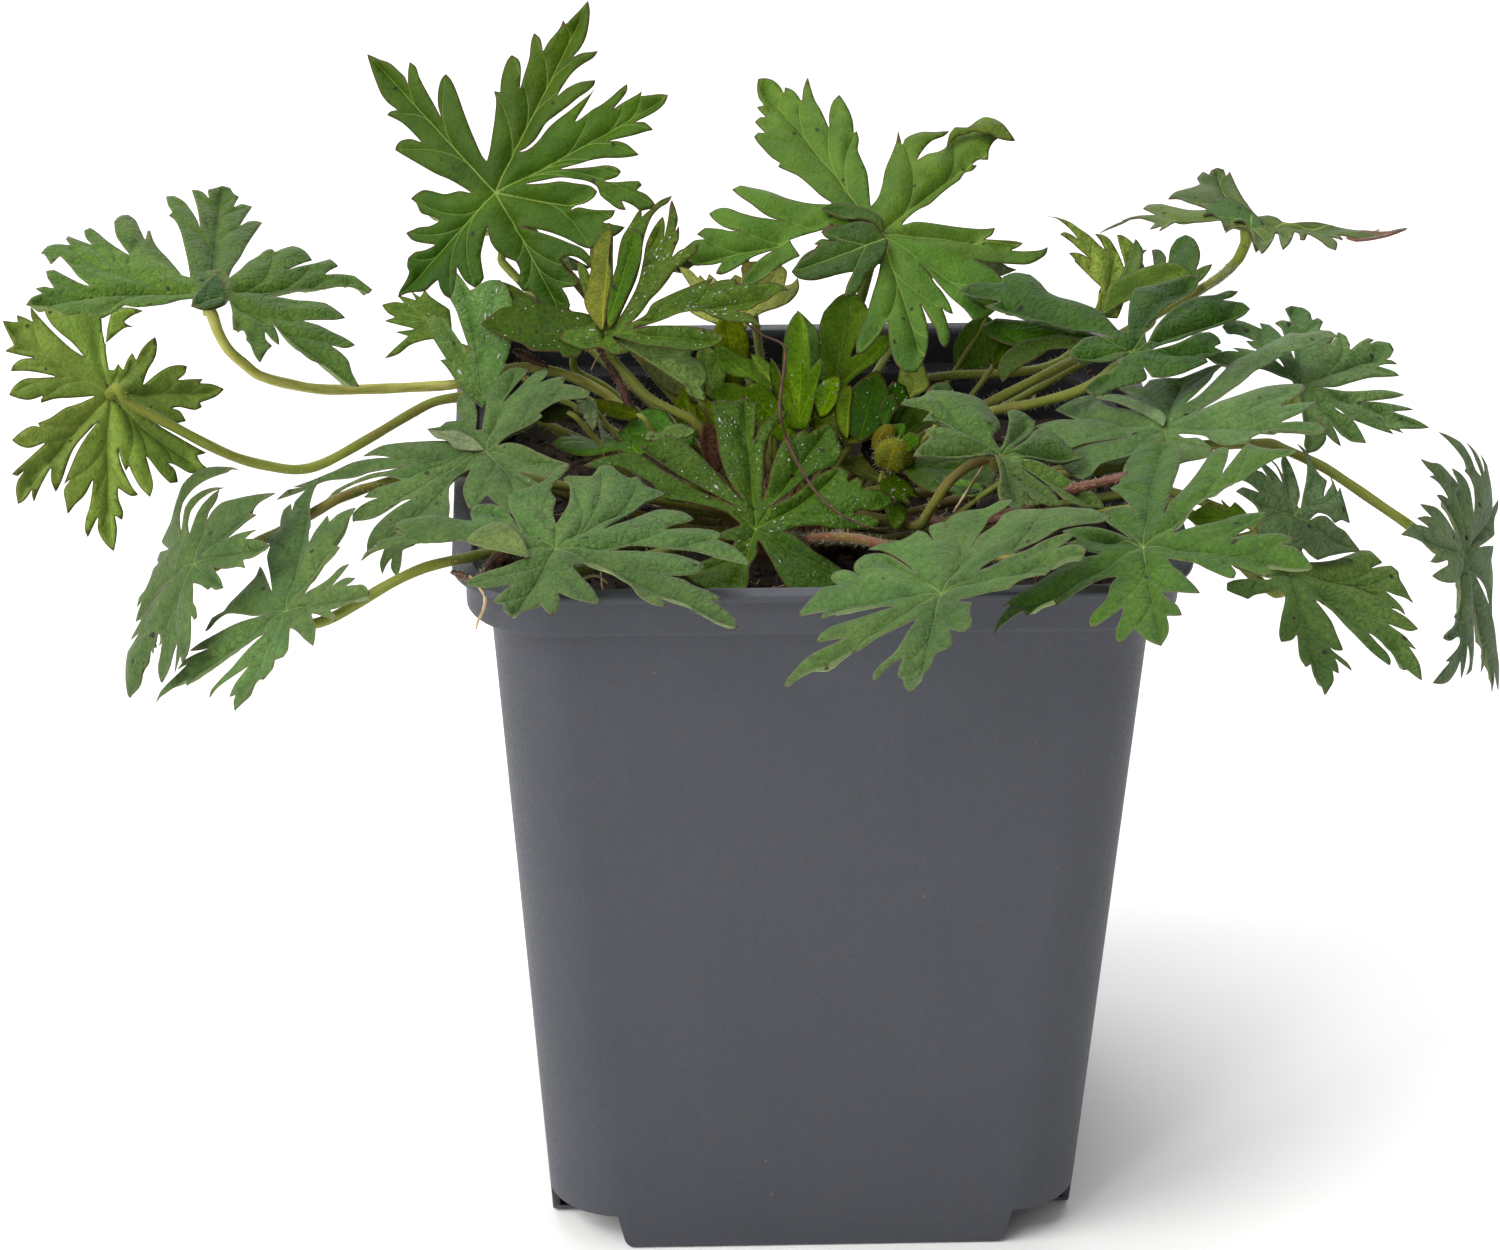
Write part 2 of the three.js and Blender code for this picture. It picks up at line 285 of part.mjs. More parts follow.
    span: 13.5, droop: 0.069, outline: [3.2, 22.6, 1.9, 22.7, -0.7, 21.1, -1, 19.3, -1.5, 21.3, -2.6, 21.1, -2.7, 17.1, -5.5, 17.5, -4.1, 15.2, -4.4, 13.2, -2.3, 4.8, -5.5, 12.2, -6.1, 10.6, -11.3, 8.3, -13.5, 8.7, -14.5, 7.2, -10.8, 7.4, -2.6, 1, -9.7, 4.1, -16.9, 5.3, -12.7, 2.6, -17.8, 4.3, -18.9, 3.6, -17.1, 3, -22.1, 1.7, -22.5, 0.5, -17, -0.1, -16.7, -1.2, -1.9, -2.7, -5, -3, -11.7, -5.9, -11.9, -6.9, -10.7, -6.2, -5, -6.4, -7.5, -8.1, -8.2, -9.6, -7.1, -10, -7.2, -12.7, -4.8, -10.9, -1.8, -10.5, -0.7, -8.7, 0.7, -9.1, 1.4, -8.5, 1.6, -4.7, 5.7, -10.7, 5.8, -7.3, 5, -4.5, 9.2, -8.8, 8.2, -6.2, 13.3, -7.8, 14.3, -7.5, 13.5, -5.7, 10.3, -3.7, 11.8, -3.3, 10.3, -2.2, 7.5, -2.5, 10.6, 0.1, 4, -0.1, 2.8, -0.7, 5.1, 1.9, 8.8, 4.6, 7.4, 6.1, 10.8, 10.6, 7.8, 11.5, 6.5, 11.2, 6, 12.7, 3.2, 9.7, 2.2, 18] },
  { name: 'leaf_08_left_inner', at: [-41.1, -14.29, 103.71], facing: [-0.3091, -0.2393, 0.9204], across: [0.9503, -0.1163, 0.2889],
    span: 15.5, droop: 0.133, outline: [-28.2, 3, -21.7, 3.4, -9.3, 1, -18.1, 1.3, -20.3, 0.4, -21.2, -1.1, -18.7, 0.5, -16, 0.8, -13.2, 0.2, -10.7, -1.8, -14.5, -1.9, -15.8, -2.7, -13.8, -4, -16.2, -4.4, -17.2, -5.4, -17.1, -6.9, -9.1, -6, -12.8, -8, -14.9, -11.3, -15, -13.3, -14, -12.6, -12.6, -13.2, -12.8, -18, -11.5, -15.9, -10.9, -19.3, -10.2, -15, -8.6, -14.7, -6.7, -12.8, -4.4, -11.9, -4.2, -5.4, -3.3, -4.2, -1.6, -3.5, -2.4, -7.2, -1.5, -11.1, 0.7, -9.1, 3.7, -13.6, 5.6, -13.8, 7.4, -12.9, 8.6, -11.5, 4.6, -6.3, 9.3, -8.3, 10.5, -8, 11.1, -6.7, 5.3, -1.5, 1.6, 0, 7.4, 3.8, 7, 4.8, 8, 5.8, 9.5, 6.6, 13.1, 6.4, 13.3, 7.3, 9.7, 10.2, 10, 11.5, 9.2, 12, 6.6, 11.6, 7.6, 13.6, 7.3, 14.5, 5.9, 14.2, 1.8, 8.6, 4.9, 15.3, 2.9, 16.8, 0.8, 14.2, 0, 10.8, -0.4, 3.8, -1.3, 4.2, -1.4, 8.2, -3.4, 13.2, -4, 13.2, -4.3, 12.3, -3.2, 7.3, -5.5, 7.8, -6.2, 7, -7.9, 7.4, -5.9, 4.9, -5.2, 5.4, -2.7, 1.4, -6.1, 3.9, -14.1, 7, -16.5, 6, -12.5, 3.6, -18.1, 5.5, -25.9, 4.4, -24.6, 3.6, -26.9, 4.2] },
  { name: 'leaf_09_centre_bright', at: [-25.99, -0.4, 113.82], facing: [-0.2062, -0.5573, 0.8043], across: [0.978, -0.1428, 0.1518],
    span: 11.1, droop: 0.093, outline: [23.1, 4.2, 20.9, 5.5, 17.3, 5.3, 16.5, 6.3, 13.1, 5.6, 13.6, 6.6, 6.1, 3.3, 5.2, 1.7, 2.8, 0.4, 8.9, 8.4, 11.6, 11, 11.7, 12.1, 8.4, 10.4, 9.3, 13.4, 8.3, 19.5, 7.5, 13.5, 7.2, 16.9, 5.2, 12.7, 4.3, 6.8, 1.8, 1.6, 3.9, 7.3, 5.7, 17.2, 8.2, 20.3, 4.5, 17.3, 4.4, 18.5, 4, 18.2, 2, 14.2, 1.3, 4.4, 0.5, 2.2, 0.7, 14.9, 0.3, 16.8, -0.5, 16.5, -1.2, 13.5, -2.1, 12.8, -0.2, 1.8, -1.4, 7.1, -3.7, 11, -1.2, 1.3, -5, 0.6, -5.8, -0.4, -2.4, -2.6, -0.5, -2.6, 1.5, -3.8, 3.2, -3.6, 1, -0.8, 5.3, -2.9, 12.2, -4, 15.1, -2.5, 12.2, -0.9, 3.5, -0.2, 9.6, 1.7, 12.2, 1.8, 14.1, 0.6, 19.8, -1.1, 18.4, 0.8, 16.5, 1.5, 18.4, 1.7] },
  { name: 'leaf_10_front_left', at: [-32.38, -43.09, 103.05], facing: [0.006, -0.1669, 0.9859], across: [0.9992, -0.0377, -0.0125],
    span: 18.2, droop: 0.109, outline: [21.6, -14.5, 20.1, -11.5, 17.5, -9.9, 19.6, -9.5, 15.3, -6.3, 12.8, -5.6, 16.5, -4.6, 17.6, -3.6, 17.3, -2.5, 12.9, -0.8, 5.9, -1.3, 8.8, 0.4, 12.3, 0.4, 16.5, 0.1, 23.1, -1.7, 21.8, 0.8, 19.1, 3, 19.6, 4.2, 18.8, 5, 12.8, 4.3, 16.2, 7.2, 14.8, 8.8, 12, 8.9, 5.5, 3.6, 10.3, 10.7, 12.8, 13.1, 10.3, 14.8, 9.3, 16.9, 8.5, 16.4, 6.2, 19.3, 4.8, 19.2, 3.9, 16.5, 1, 16.4, 0.4, 15.6, 1.4, 11.7, -0.1, 4.6, -0.4, 10.4, -1.1, 12.3, 0.9, 19.7, -2.4, 14.5, -5.9, 12, -5.7, 8, -4.2, 3, -6.4, 7.9, -8.8, 9.4, -10, 9, -10.5, 7.6, -10.1, 5.5, -14.1, 6.9, -18.2, 6.3, -19.6, 5.1, -18.3, 4.1, -19.3, 3.9, -18, 2.7, -21.3, 1.9, -21.1, 1.2, -22.5, -0.4, -22.9, -2, -21.8, -0.6, -18.6, 0.9, -11.4, 1.2, -4.8, -1.1, -2.9, -2.4, -9.3, -6.4, -10.4, -7.9, -8, -8.8, -4.9, -8.3, -7, -11.6, -5.8, -12, -4.9, -14.4, -1.2, -12.3, 0, -14, 0.6, -12.9, 0.5, -9.6, 5.4, -11.5, 1.9, -4.1, 3.5, -3.6, 6.3, -4.9, 11.9, -11.4, 13.2, -11.4, 12.5, -9.7, 14.9, -10.7, 16.4, -12.5, 19, -13.9] },
  { name: 'leaf_11_front_inner', at: [-7.72, -25, 97.42], facing: [0.1825, -0.4243, 0.8869], across: [0.9826, 0.047, -0.1797],
    span: 14.1, droop: 0.061, outline: [-21.5, 6.6, -17.1, 7.1, -13.3, 5.2, -12, 2.9, -5.2, 2.1, -1.9, 0, -4.9, -2.3, -4.3, -3.1, -2.7, -2.9, -3.6, -4.5, -8.9, -8.8, -7.9, -10.2, -5.7, -11.1, -3.3, -11, -1.4, -10.4, 0.1, -2.2, 3.9, -9.4, 9.1, -8.4, 10.6, -7.2, 11.2, -5.7, 10.4, -4.8, 4.1, -0.4, 3.2, -0.3, 7.9, 1.6, 10.5, 1.5, 14.9, 2.8, 15.7, 3.9, 14.3, 4.5, 12.2, 4.3, 13.1, 5.4, 15.6, 5.8, 17.4, 8, 15.7, 9.1, 13.3, 8.7, 12.9, 10.8, 11.6, 9.7, 11.7, 11.1, 10.8, 12.1, 1.6, 3.4, 6.5, 9.4, 9.8, 12.2, 11, 15.2, 9.5, 19.3, 6.8, 17, 6.3, 17.6, 5.4, 16.9, 4.7, 15.3, 4.3, 16.4, 2.7, 13, 0.6, 4.4, 1.4, 15.3, 4, 20.5, 1.6, 18.4, -0.4, 14.5, 0.1, 21.4, -0.1, 20.9, -1.4, 21.7, -2.9, 20.7, -5.7, 20.2, -4.3, 10, -1.4, 3.7, -9.3, 12.7, -10.5, 13.3, -11.9, 13, -14.6, 11, -10.2, 7.3, -2.5, 2.4, -15.9, 9.7] },
  { name: 'leaf_12_front_centre', at: [12.37, -55.4, 102.12], facing: [-0.3234, -0.0967, 0.9413], across: [0.9454, -0.0749, 0.3171],
    span: 17.4, droop: 0.115, outline: [20.8, 7.8, 18.7, 10.7, 15.6, 12.7, 9.6, 14.9, 8.1, 14.4, 7.1, 12.3, 5.2, 10.7, 3.4, 6.7, 6.6, 15, 9.4, 17.7, 7.8, 18.4, 5.9, 17.5, 3.5, 18.2, 1.9, 17.8, 1, 16.3, 0.4, 16.9, -0.9, 16.7, -0.5, 12.3, -2.5, 16.3, -5.4, 15.2, -7.3, 15.9, -8.6, 15.7, -5.6, 12, -2.7, 5.6, -7.5, 13.7, -9.1, 14.3, -10.2, 13.2, -10.5, 11.4, -9.7, 8.9, -12, 12.3, -13.2, 12.4, -13.4, 11.1, -12.5, 8.9, -14.6, 9.5, -17.5, 4.5, -14.2, 3.7, -14.8, 2.1, -11.7, 2.4, -5.5, -0.8, -13.7, -0.7, -14.9, -1.6, -15.3, -2.9, -11.8, -4, -16.6, -5.2, -19.6, -9.8, -16.1, -8.2, -10.1, -7.5, -7, -5.9, -3, -5, -5.2, -9.2, -8.7, -13.4, -8.6, -14.7, -6.7, -12.4, -4.9, -11.7, -5.8, -15.2, -4.3, -18.8, -1.3, -13.1, 0.6, -12.6, 0.8, -8.8, 2.9, -10, 3.4, -8.6, 3.6, -4.5, 1.9, -3.2, 8.3, -3.5, 10.2, -2.1, 12.9, -2.1, 13.8, -0.2, 16.8, 0.4, 17.6, 1.1, 16.9, 2.6, 15.4, 3.2, 14.2, 2.8, 16.1, 4.9, 16, 6.1, 12.3, 5.3, 4.7, 1.9, 5.5, 3, 11.7, 5.7, 14.8, 7.8] },
  { name: 'leaf_13_front_right', at: [36.72, -48.59, 104.85], facing: [-0.3803, -0.1367, 0.9147], across: [0.924, -0.0982, 0.3695],
    span: 15.5, droop: 0.247, outline: [2.8, 26.3, 0.9, 26.2, -0.8, 25.3, -2.4, 17.3, -3.5, 17.1, -0.3, 7.1, -1.5, 10, -3.4, 11, -4.9, 10.3, -1.3, 1.7, -5.1, 6.9, -7.6, 9.3, -9.8, 10, -7.8, 6.5, -9.4, 6.5, -5.1, 0.9, -8.5, 1.9, -16.6, 0.1, -18, -0.7, -17.1, -1.2, -19, -3.1, -19.6, -4.8, -15.5, -3.4, -15.2, -4.7, -11.7, -4, -11.3, -5.3, -5, -4, -3.4, -4.7, -5.6, -8.6, -7, -9.6, -7.4, -12, -3.3, -10.5, -4.7, -15.2, -4.4, -16.2, -2.5, -14.7, 0.3, -18.7, 1.3, -17.4, 1.5, -14.3, 3.3, -14.9, 1.4, -10.2, 5.8, -12.1, 2.8, -4.5, 5.9, -6.8, 9.5, -10.8, 10, -11, 10.3, -10.1, 9.9, -8.6, 13.9, -11.9, 14.2, -10, 19.1, -12.1, 17.9, -8.6, 15.8, -6.6, 17, -6.7, 17.5, -5.9, 16.1, -4.7, 10.4, -3.7, 14, -1.5, 15.1, 0.2, 11.9, 0.6, 3.8, 0.1, 7.4, 5.9, 17.1, 12.9, 19.6, 13.7, 16, 15.8, 13.8, 18.4, 10.3, 11.5, 11.3, 18.3, 10.6, 19.1, 9.5, 18.5, 2.8, 4.8, 5.3, 17.3, 5.5, 21.8, 4.7, 24.8] },
  { name: 'leaf_14_middle_small', at: [22.54, -22.04, 105.79], facing: [0.321, -0.1341, 0.9376], across: [0.9463, 0.0039, -0.3234],
    span: 11.8, droop: 0.161, outline: [-9, 11.6, -9.9, 9.3, -12.8, 5.7, -9, 5.5, -10.2, 2.4, -8.6, 3.3, -7.3, 3.1, -6.3, 2, -9.9, 0.3, -9.3, -1.1, -11.5, -6.2, -5.1, -4.1, -1.1, -1.2, -0.6, -11, 1.9, -11.8, 2.6, -7.3, 4, -8.7, 5.9, -8.8, 7.6, -7.6, 6, -5.4, 1.9, -2.2, 6.1, -4.4, 8.1, -6.3, 10.7, -6.1, 13.5, -4.4, 11, -1.4, 4.9, 0.3, 2.2, -0.5, 7.7, 2.2, 11.5, 6.5, 10.2, 7, 8.7, 9.3, 6.5, 10.9, 1.2, 1.2, 4.9, 9.8, 4.9, 12.2, 3.9, 13.2, 2.6, 13.4, 1.6, 12, -0.3, 0.7, -1.2, 2.9, -0.1, 6.1, -0.2, 8.4, -1.5, 13, -2.7, 14, -6.7, 13] },
  { name: 'leaf_15_right_middle', at: [43.38, -12.41, 104.81], facing: [-0.3029, -0.0197, 0.9528], across: [0.9522, -0.0488, 0.3016],
    span: 16.8, droop: 0.134, outline: [22.3, 20.2, 19.7, 20.6, 17.9, 22.2, 12.5, 17.5, 10.5, 16.5, 5, 6.8, 3.2, 5.2, 8.9, 15.9, 7.2, 16.4, 3.1, 14.8, -0.7, 17.1, -1.7, 15.2, -3.4, 17.1, -4.8, 17.3, -1, 5.5, -2.4, 6.2, -6.3, 11.6, -8.4, 18.2, -10, 18.9, -13.3, 17.3, -10.7, 11, -12.9, 13, -16.3, 13.8, -14.9, 11.4, -12.2, 2.6, -3.6, -0.2, -9.4, 1.4, -12.1, 1.4, -13.5, -0.4, -11.3, -6.9, -10, -6.7, -8.6, -4.7, -3.4, -5, -2, -4.4, -0.7, -11.3, 5.3, -10.8, 5.5, -9.4, 4, -5.6, 2.4, -4.8, 1.7, -3.1, 4.8, -5.4, 7.1, -9, 10.4, -9.6, 10.2, -8.7, 13.4, -8, 19.3, -10.6, 18.6, -8.7, 14.2, -6.5, 17.5, -4.5, 19.1, -2.7, 14.6, -1.8, 17.7, 1.1, 18.2, 3, 14.6, 4.8, 12.8, 4.8, 4.4, 1.5, 5.6, 3.7, 17.4, 15.1, 20, 15.9, 22.1, 17.7, 23.9, 17.4] },
  { name: 'leaf_16_right_upper', at: [40.54, -0.95, 110.92], facing: [0.125, -0.2233, 0.9667], across: [0.9914, -0.0098, -0.1304],
    span: 15.5, droop: 0.026, outline: [-21.5, 9, -20.1, 7.9, -16.5, 7.6, -18.4, 5.8, -13.5, 3.8, -4.6, 2.8, -2.3, 1.8, -5.9, 1, -8, -2.5, -7.8, -3.7, -4.3, -3.9, -1.3, -2.3, -2, -4.2, -6.5, -10.1, -5.9, -11.2, -4.4, -11.3, 1.5, -6.3, 1.1, -3.7, 2.2, -5.9, 3.8, -5.6, 9.6, -1, 9.1, 0.4, 11.6, 1.9, 10.6, 2.6, 11.7, 3.7, 10.5, 5.9, 2.2, 0, 13.3, 9, 16.1, 12.7, 15.4, 13.8, 12.6, 13.9, 14.8, 16.3, 13.6, 16.3, 8.4, 13.2, 4.9, 8.3, 2.1, 1.5, 2, 4.1, 3.4, 7.2, 5.3, 10.9, 9, 15.5, 10.1, 19.1, 8.9, 19, 1.3, 13.9, -0.4, 3.5, -1.6, 3.7, -3.7, 7.5, -10.3, 10.8, -12.4, 14.4, -14.3, 14.5, -15.9, 13.3, -16.3, 11.5, -18.3, 11.6, -20.2, 10.8] },
  { name: 'leaf_17_right_outer', at: [63.16, 3.36, 104.22], facing: [0.2458, -0.3349, 0.9096], across: [0.9686, 0.0495, -0.2436],
    span: 11.1, droop: 0.161, outline: [13.8, 14, 12.1, 13.6, 10.6, 12.3, 11.4, 13.6, 10.7, 13.7, 7.6, 9.6, 7.3, 12.7, 6.4, 13.1, 4.8, 9.6, 5.9, 12.3, 5.2, 12.9, 3.7, 12.5, 4.4, 14.7, 3.8, 15.3, 2.8, 14.5, 2.7, 16.1, 1.9, 16.9, 0.3, 16.8, -0.6, 15.8, 0.6, 12.2, -1.4, 12.9, -2.5, 11.9, -0.7, 7.6, -0.6, 4.4, -1.4, 7.4, -3.3, 11.2, -4.6, 11.2, -4.4, 9.9, -7.3, 10.9, -9, 10.3, -9.9, 9, -9.2, 7.9, -5.7, 7, -6.9, 6.7, -5.9, 5.5, -2.9, 4.2, -2.1, 2.3, -5.1, 4.8, -7.3, 4.9, -8.7, 4.8, -8, 4.1, -9.6, 4, -12.4, 2.1, -9.6, 1.1, -5, 1.3, -1.3, 0.2, 0, -12.3, 1.3, -11.5, 2.4, -9.5, 2.4, -8.1, 4.4, -9.8, 2.8, -5.8, 4.9, -8, 8, -8.2, 6.2, -4.4, 11.9, -5.1, 11.5, -4.4, 13.4, -4.3, 12.9, -3.8, 17.4, -1.8, 12.4, -0.9, 15.3, 0.8, 8, -0.9, 14.3, 3.3, 11, 2.7, 5.8, 0.4, 2.3, -0.1, 14.1, 7.1, 11.2, 7.9, 14.1, 9.7, 12.6, 10, 14.2, 12.7] },
  { name: 'leaf_18_right_low', at: [57.83, -28.39, 92.07], facing: [0.2412, -0.2994, 0.9231], across: [0.9698, 0.0378, -0.2411],
    span: 10.5, droop: 0.181, outline: [16.5, -12.6, 16.4, -10.3, 15.1, -7.6, 16, -7.6, 14.7, -6.1, 12.4, -4.8, 15.6, -4.8, 16.7, -4, 13.1, -1.8, 15, -2, 12.7, 1.3, 16.4, 0.8, 15, 6, 14.2, 6.8, 11, 4.7, 12.9, 6.9, 11.6, 8.6, 4.1, 3.1, 2, 2.3, 1.9, 4.1, 1, 5.2, -1.2, 2.1, -5.8, 0.6, -7.3, -0.8, -6, -1.6, -2.2, -1.8, -7.3, -3.3, -8.3, -4, -8.4, -5.2, -5.9, -6.2, -3.7, -4.8, -1.3, -4.2, -1.9, -12.4, 0.2, -10.8, 0.5, -14.4, 1.1, -15.5, 1.8, -14.9, 3.4, -19.2, 4.6, -16.6, 4.6, -15, 5.3, -15.3, 4.9, -13.1, 7, -14.2, 4.2, -11.4, 6, -11.5, 4.8, -7.4, 2.8, -4.2, 4.1, -4.7, 11.1, -11.1, 12.3, -11.7, 12.5, -11, 9.5, -7.2, 12.5, -9.3, 14.3, -11.8, 14.6, -11.4] },
  { name: 'leaf_19_far_right', at: [82.23, -15, 88.33], facing: [0.8275, -0.4876, 0.2782], across: [0.5612, 0.704, -0.4353],
    span: 13.9, droop: 0.243, outline: [15.3, -15.6, 14.7, -13.3, 10.6, -8, 2.2, -2.4, 5.2, -3.2, 7.4, -4.5, 9.5, -6.9, 9.2, -2.4, 8.3, 0.1, 9.4, 1.9, 3.7, 1.2, 10.2, 3.6, 10.7, 5.6, 13.3, 7.5, 13.7, 8.4, 7.5, 5.3, 10.4, 7.2, 11, 8.8, 10.6, 12.6, 8.8, 13.6, 9.3, 12.5, 9, 11.1, 7.8, 12.9, 4.2, 14.5, 7.7, 10.6, 5.6, 11.3, 2, 14.2, -4, 14.9, 2.6, 11.5, 1.6, 10.7, 3.9, 8.9, 2.7, 5.1, 2.2, 8.3, 1.4, 9.5, -2.3, 10.5, -0.8, 8.2, -5.7, 10.6, -10.1, 10.7, -7.3, 9.1, -8.4, 8.8, -4.4, 6.4, -7.3, 6.5, -4.1, 4, -1.9, 1, -7.7, 4.8, -9.8, 4.9, -11.4, 4.9, -9, 3.5, -12.3, 3.1, -9.6, 2, -13.7, 2, -15.9, 0.6, -7.9, -0.5, -9.6, -2.1, -5.5, -1.4, -5.4, -2.1, -9.1, -3.8, -4.9, -4.2, -3.1, -3.9, -2.5, -3.1, -1.7, -6.8, -3, -8.4, -1.9, -8.7, -5.3, -11.2, -0.4, -11, -1, -12.1, -3.7, -13.9, -2.7, -14, -6.3, -16.8, -2.1, -16.1, 0.3, -13.4, 1.4, -15.4, 1.8, -11.1, 3.4, -13.8, 2.9, -14.9, 4.1, -14.3, 2.2, -6.6, 7.5, -12.1, 7.5, -14.1, 8.4, -12.9, 8.4, -11.3, 12.8, -16.1, 12.5, -13.2] },
  { name: 'leaf_20_bright_right', at: [39.43, 12, 109.46], facing: [0.5586, -0.5245, 0.6426], across: [0.829, 0.3262, -0.4544],
    span: 5.7, droop: 0.051, outline: [-8.7, 12.9, -6.1, 12.1, -4.6, 10.9, -6.9, 11.2, -7.7, 10.7, -3, 8.5, -6.4, 8.2, -1.5, 4.8, -2.8, 0.7, 1, 1, 3, 5.5, 6.5, 9.6, 5.9, 11.2, 3.4, 6.8, 6.7, 13.5, 5.3, 12.9, 4, 13.9, 1.9, 14, 2.9, 8.2, 1.9, 5.4, 2.7, 8.5, 0.5, 12.7, -1.8, 12.8, -0.4, 10.8, -6, 13.1] },
  { name: 'leaf_21_right_small', at: [58.95, -23.63, 97.64], facing: [0.3499, -0.5948, 0.7238], across: [0.9364, 0.1986, -0.2894],
    span: 6.9, droop: 0.197, outline: [1.4, 10.5, 2.3, 7.7, 0.7, 0.9, 0.2, 1.3, 0.3, 4.7, -0.9, 8.5, -1.4, 5.3, -2.9, 7.3, -1.5, 4, -4.5, 6.6, -3.5, 4.7, -5.8, 5.4, -7.4, 3.9, -4.7, 2.1, -7, 2.6, -7.8, 2, -5.5, 0.4, -4.7, -2.2, -5.6, -2.9, -4, -3.8, -2, -6.7, -0.4, -7.2, 0.7, -4.4, 2.8, -5.5, 9, -2.9, 6.9, -0.8, 4.2, 0.6, 1.7, -0.4, 3, 0.9, 4.1, 1, 5.5, 0.1, 7.7, 0.7, 6.7, 5.4, 6.3, 4.7, 5.5, 6.7, 5.7, 5.8, 4.1, 3.4, 4.8, 5.9] },
  { name: 'young_leaf_01', at: [-40.81, 1, 104.23], facing: [-0.3512, -0.8029, 0.4817], across: [0.9361, -0.31, 0.166],
    span: 7.2, droop: 0.046, outline: [-4.3, 16.2, -5.2, 13, -2, 5.5, -5.9, 10.3, -6.9, 11, -7.8, 10.9, -8.3, 10.2, -5.6, 5.3, -6.4, 5.2, -3.4, 1.2, -0.5, -1.2, 1.7, 1.6, 3.1, 6.6, 2.8, 13.1, 1.5, 15, 0.2, 15.1, -2.6, 14] },
  { name: 'young_leaf_02', at: [-27.4, 11.16, 108.01], facing: [0.3566, -0.1443, 0.923], across: [0.9334, 0.0131, -0.3586],
    span: 6.5, droop: 0.094, outline: [-12.5, 8.9, -13.7, 5.6, -14.2, 2.6, -12.3, 2, -14.1, -1.1, -13.4, -3.5, -12, -5.3, -10, -6, -8, -5.4, -7.6, -6.6, -5.4, -6, -3.5, -4.7, -3.7, -6.3, -2.1, -5.6, -0.6, -1.6, -1.1, 2.6, -2.5, 5.6, -3.8, 7, -5.8, 7.5, -8.5, 7.2, -10.7, 8.5] },
  { name: 'young_leaf_03', at: [-44.9, 20, 107.25], facing: [-0.1144, -0.5183, 0.8475], across: [0.9929, -0.087, 0.0808],
    span: 3.8, droop: 0.116, outline: [-9.9, 4.1, -8.1, 1.9, -9.3, 1.4, -5.3, -0.5, -7.7, -0.7, -6.2, -1.5, -9, -4.5, -7.5, -4.1, -6, -2.9, -0.5, -1.8, -0.9, 2, -4.3, 5.8, -4.9, 4.7, -6, 5.7, -5.4, 4.3, -7.8, 5.3, -7, 4, -8.3, 4.3] },
  { name: 'young_leaf_04', at: [-7.84, 20, 107.43], facing: [0.0385, -0.2503, 0.9674], across: [0.9985, -0.0273, -0.0468],
    span: 6.3, droop: 0.091, outline: [-8.2, 12.1, -6.1, 6.5, -3.5, 5.3, -0.8, 3, -1.8, 0.7, -4.2, 1.4, -6.6, 1.2, -3.5, -1.4, 0.4, -2.5, 1.2, 0.1, 6.2, 4.6, 7.4, 7.7, 7.4, 10.4, 6.6, 9, 5.6, 8.4, 5.9, 12, 5, 13.6, 3.8, 12.2, 1.3, 6.8, 2.3, 14.1, 0.9, 13.9, 0, 12.3, 0.1, 9.7, -0.9, 10.3, -2.1, 6.5, -4.3, 10.3, -4.7, 8.6, -5.5, 10.1, -5.8, 9.4, -6.9, 11.4] },
  { name: 'young_leaf_05', at: [-21.6, -10, 101.18], facing: [-0.0542, -0.0384, 0.9978], across: [0.9977, -0.0426, 0.0526],
    span: 7.8, droop: 0.186, outline: [1, 16.1, -0.4, 12.5, -0.5, 8, -1.4, 4.9, -2.7, 3.3, -5, 9.2, -5.7, 13.4, -4.9, 2.7, -9.4, 9.6, -8.9, 8, -10.5, 8.7, -11.4, 7, -10.3, 4, -8.3, 1.5, -6.4, 0.4, -2.6, 1.1, -0.6, -1.3, 0.8, 0.6, 1.6, 3.1, 3.2, 5.8, 4, 9.9, 3, 14.5] },
  { name: 'young_leaf_06', at: [44.3, 26, 106.85], facing: [-0.5257, -0.2152, 0.823], across: [0.8498, -0.1758, 0.4969],
    span: 4.9, droop: 0.056, outline: [7.7, 10, 6.4, 10, 5.5, 8.6, 4.8, 4.8, 3.8, 9.2, 2.8, 10, 2.9, 5.5, 0, 3.8, -1.1, 2.4, 1.4, -1.3, 9, -1.2, 10.2, -0.1, 10.9, 1.2, 8.6, 1.3, 9.4, 4.9, 8.9, 8] },
  { name: 'young_leaf_07', at: [-1.69, -4, 101.47], facing: [-0.9157, -0.3675, 0.1629], across: [0.4018, -0.8475, 0.3469],
    span: 6.5, droop: 0, outline: [0.3, 14.9, -1.7, 14.1, -3.4, 12.4, -4.2, 10.1, -4.5, 6.1, -5.7, 7.9, -7.7, 9.1, -7.9, 7.1, -5.1, 2, -2.5, 0.3, 2.2, 0.1, 6.1, 7.2, 6.3, 8.8, 3.3, 7.4, 3, 10.6, 2.2, 13.1] },
  { name: 'young_leaf_08', at: [3.39, 5.7, 101.32], facing: [-0.7536, -0.542, 0.372], across: [0.6571, -0.6364, 0.404],
    span: 5.8, droop: 0.002, outline: [2.6, 13.9, 0.8, 13.5, -1.8, 12, -2.5, 10.4, -2.9, 7.2, -2.5, 3.9, -1.6, 1.2, 1.4, 0.6, 2.9, 2.2, 7.6, 4.1, 10.7, 6.2, 10.8, 7.2, 9.3, 7.4, 2.9, 5.2, 6.3, 10.6, 4.4, 13.2] },
  { name: 'young_leaf_09', at: [4.16, -7.4, 101.71], facing: [-0.1651, -0.4954, 0.8528], across: [0.9857, -0.1113, 0.1262],
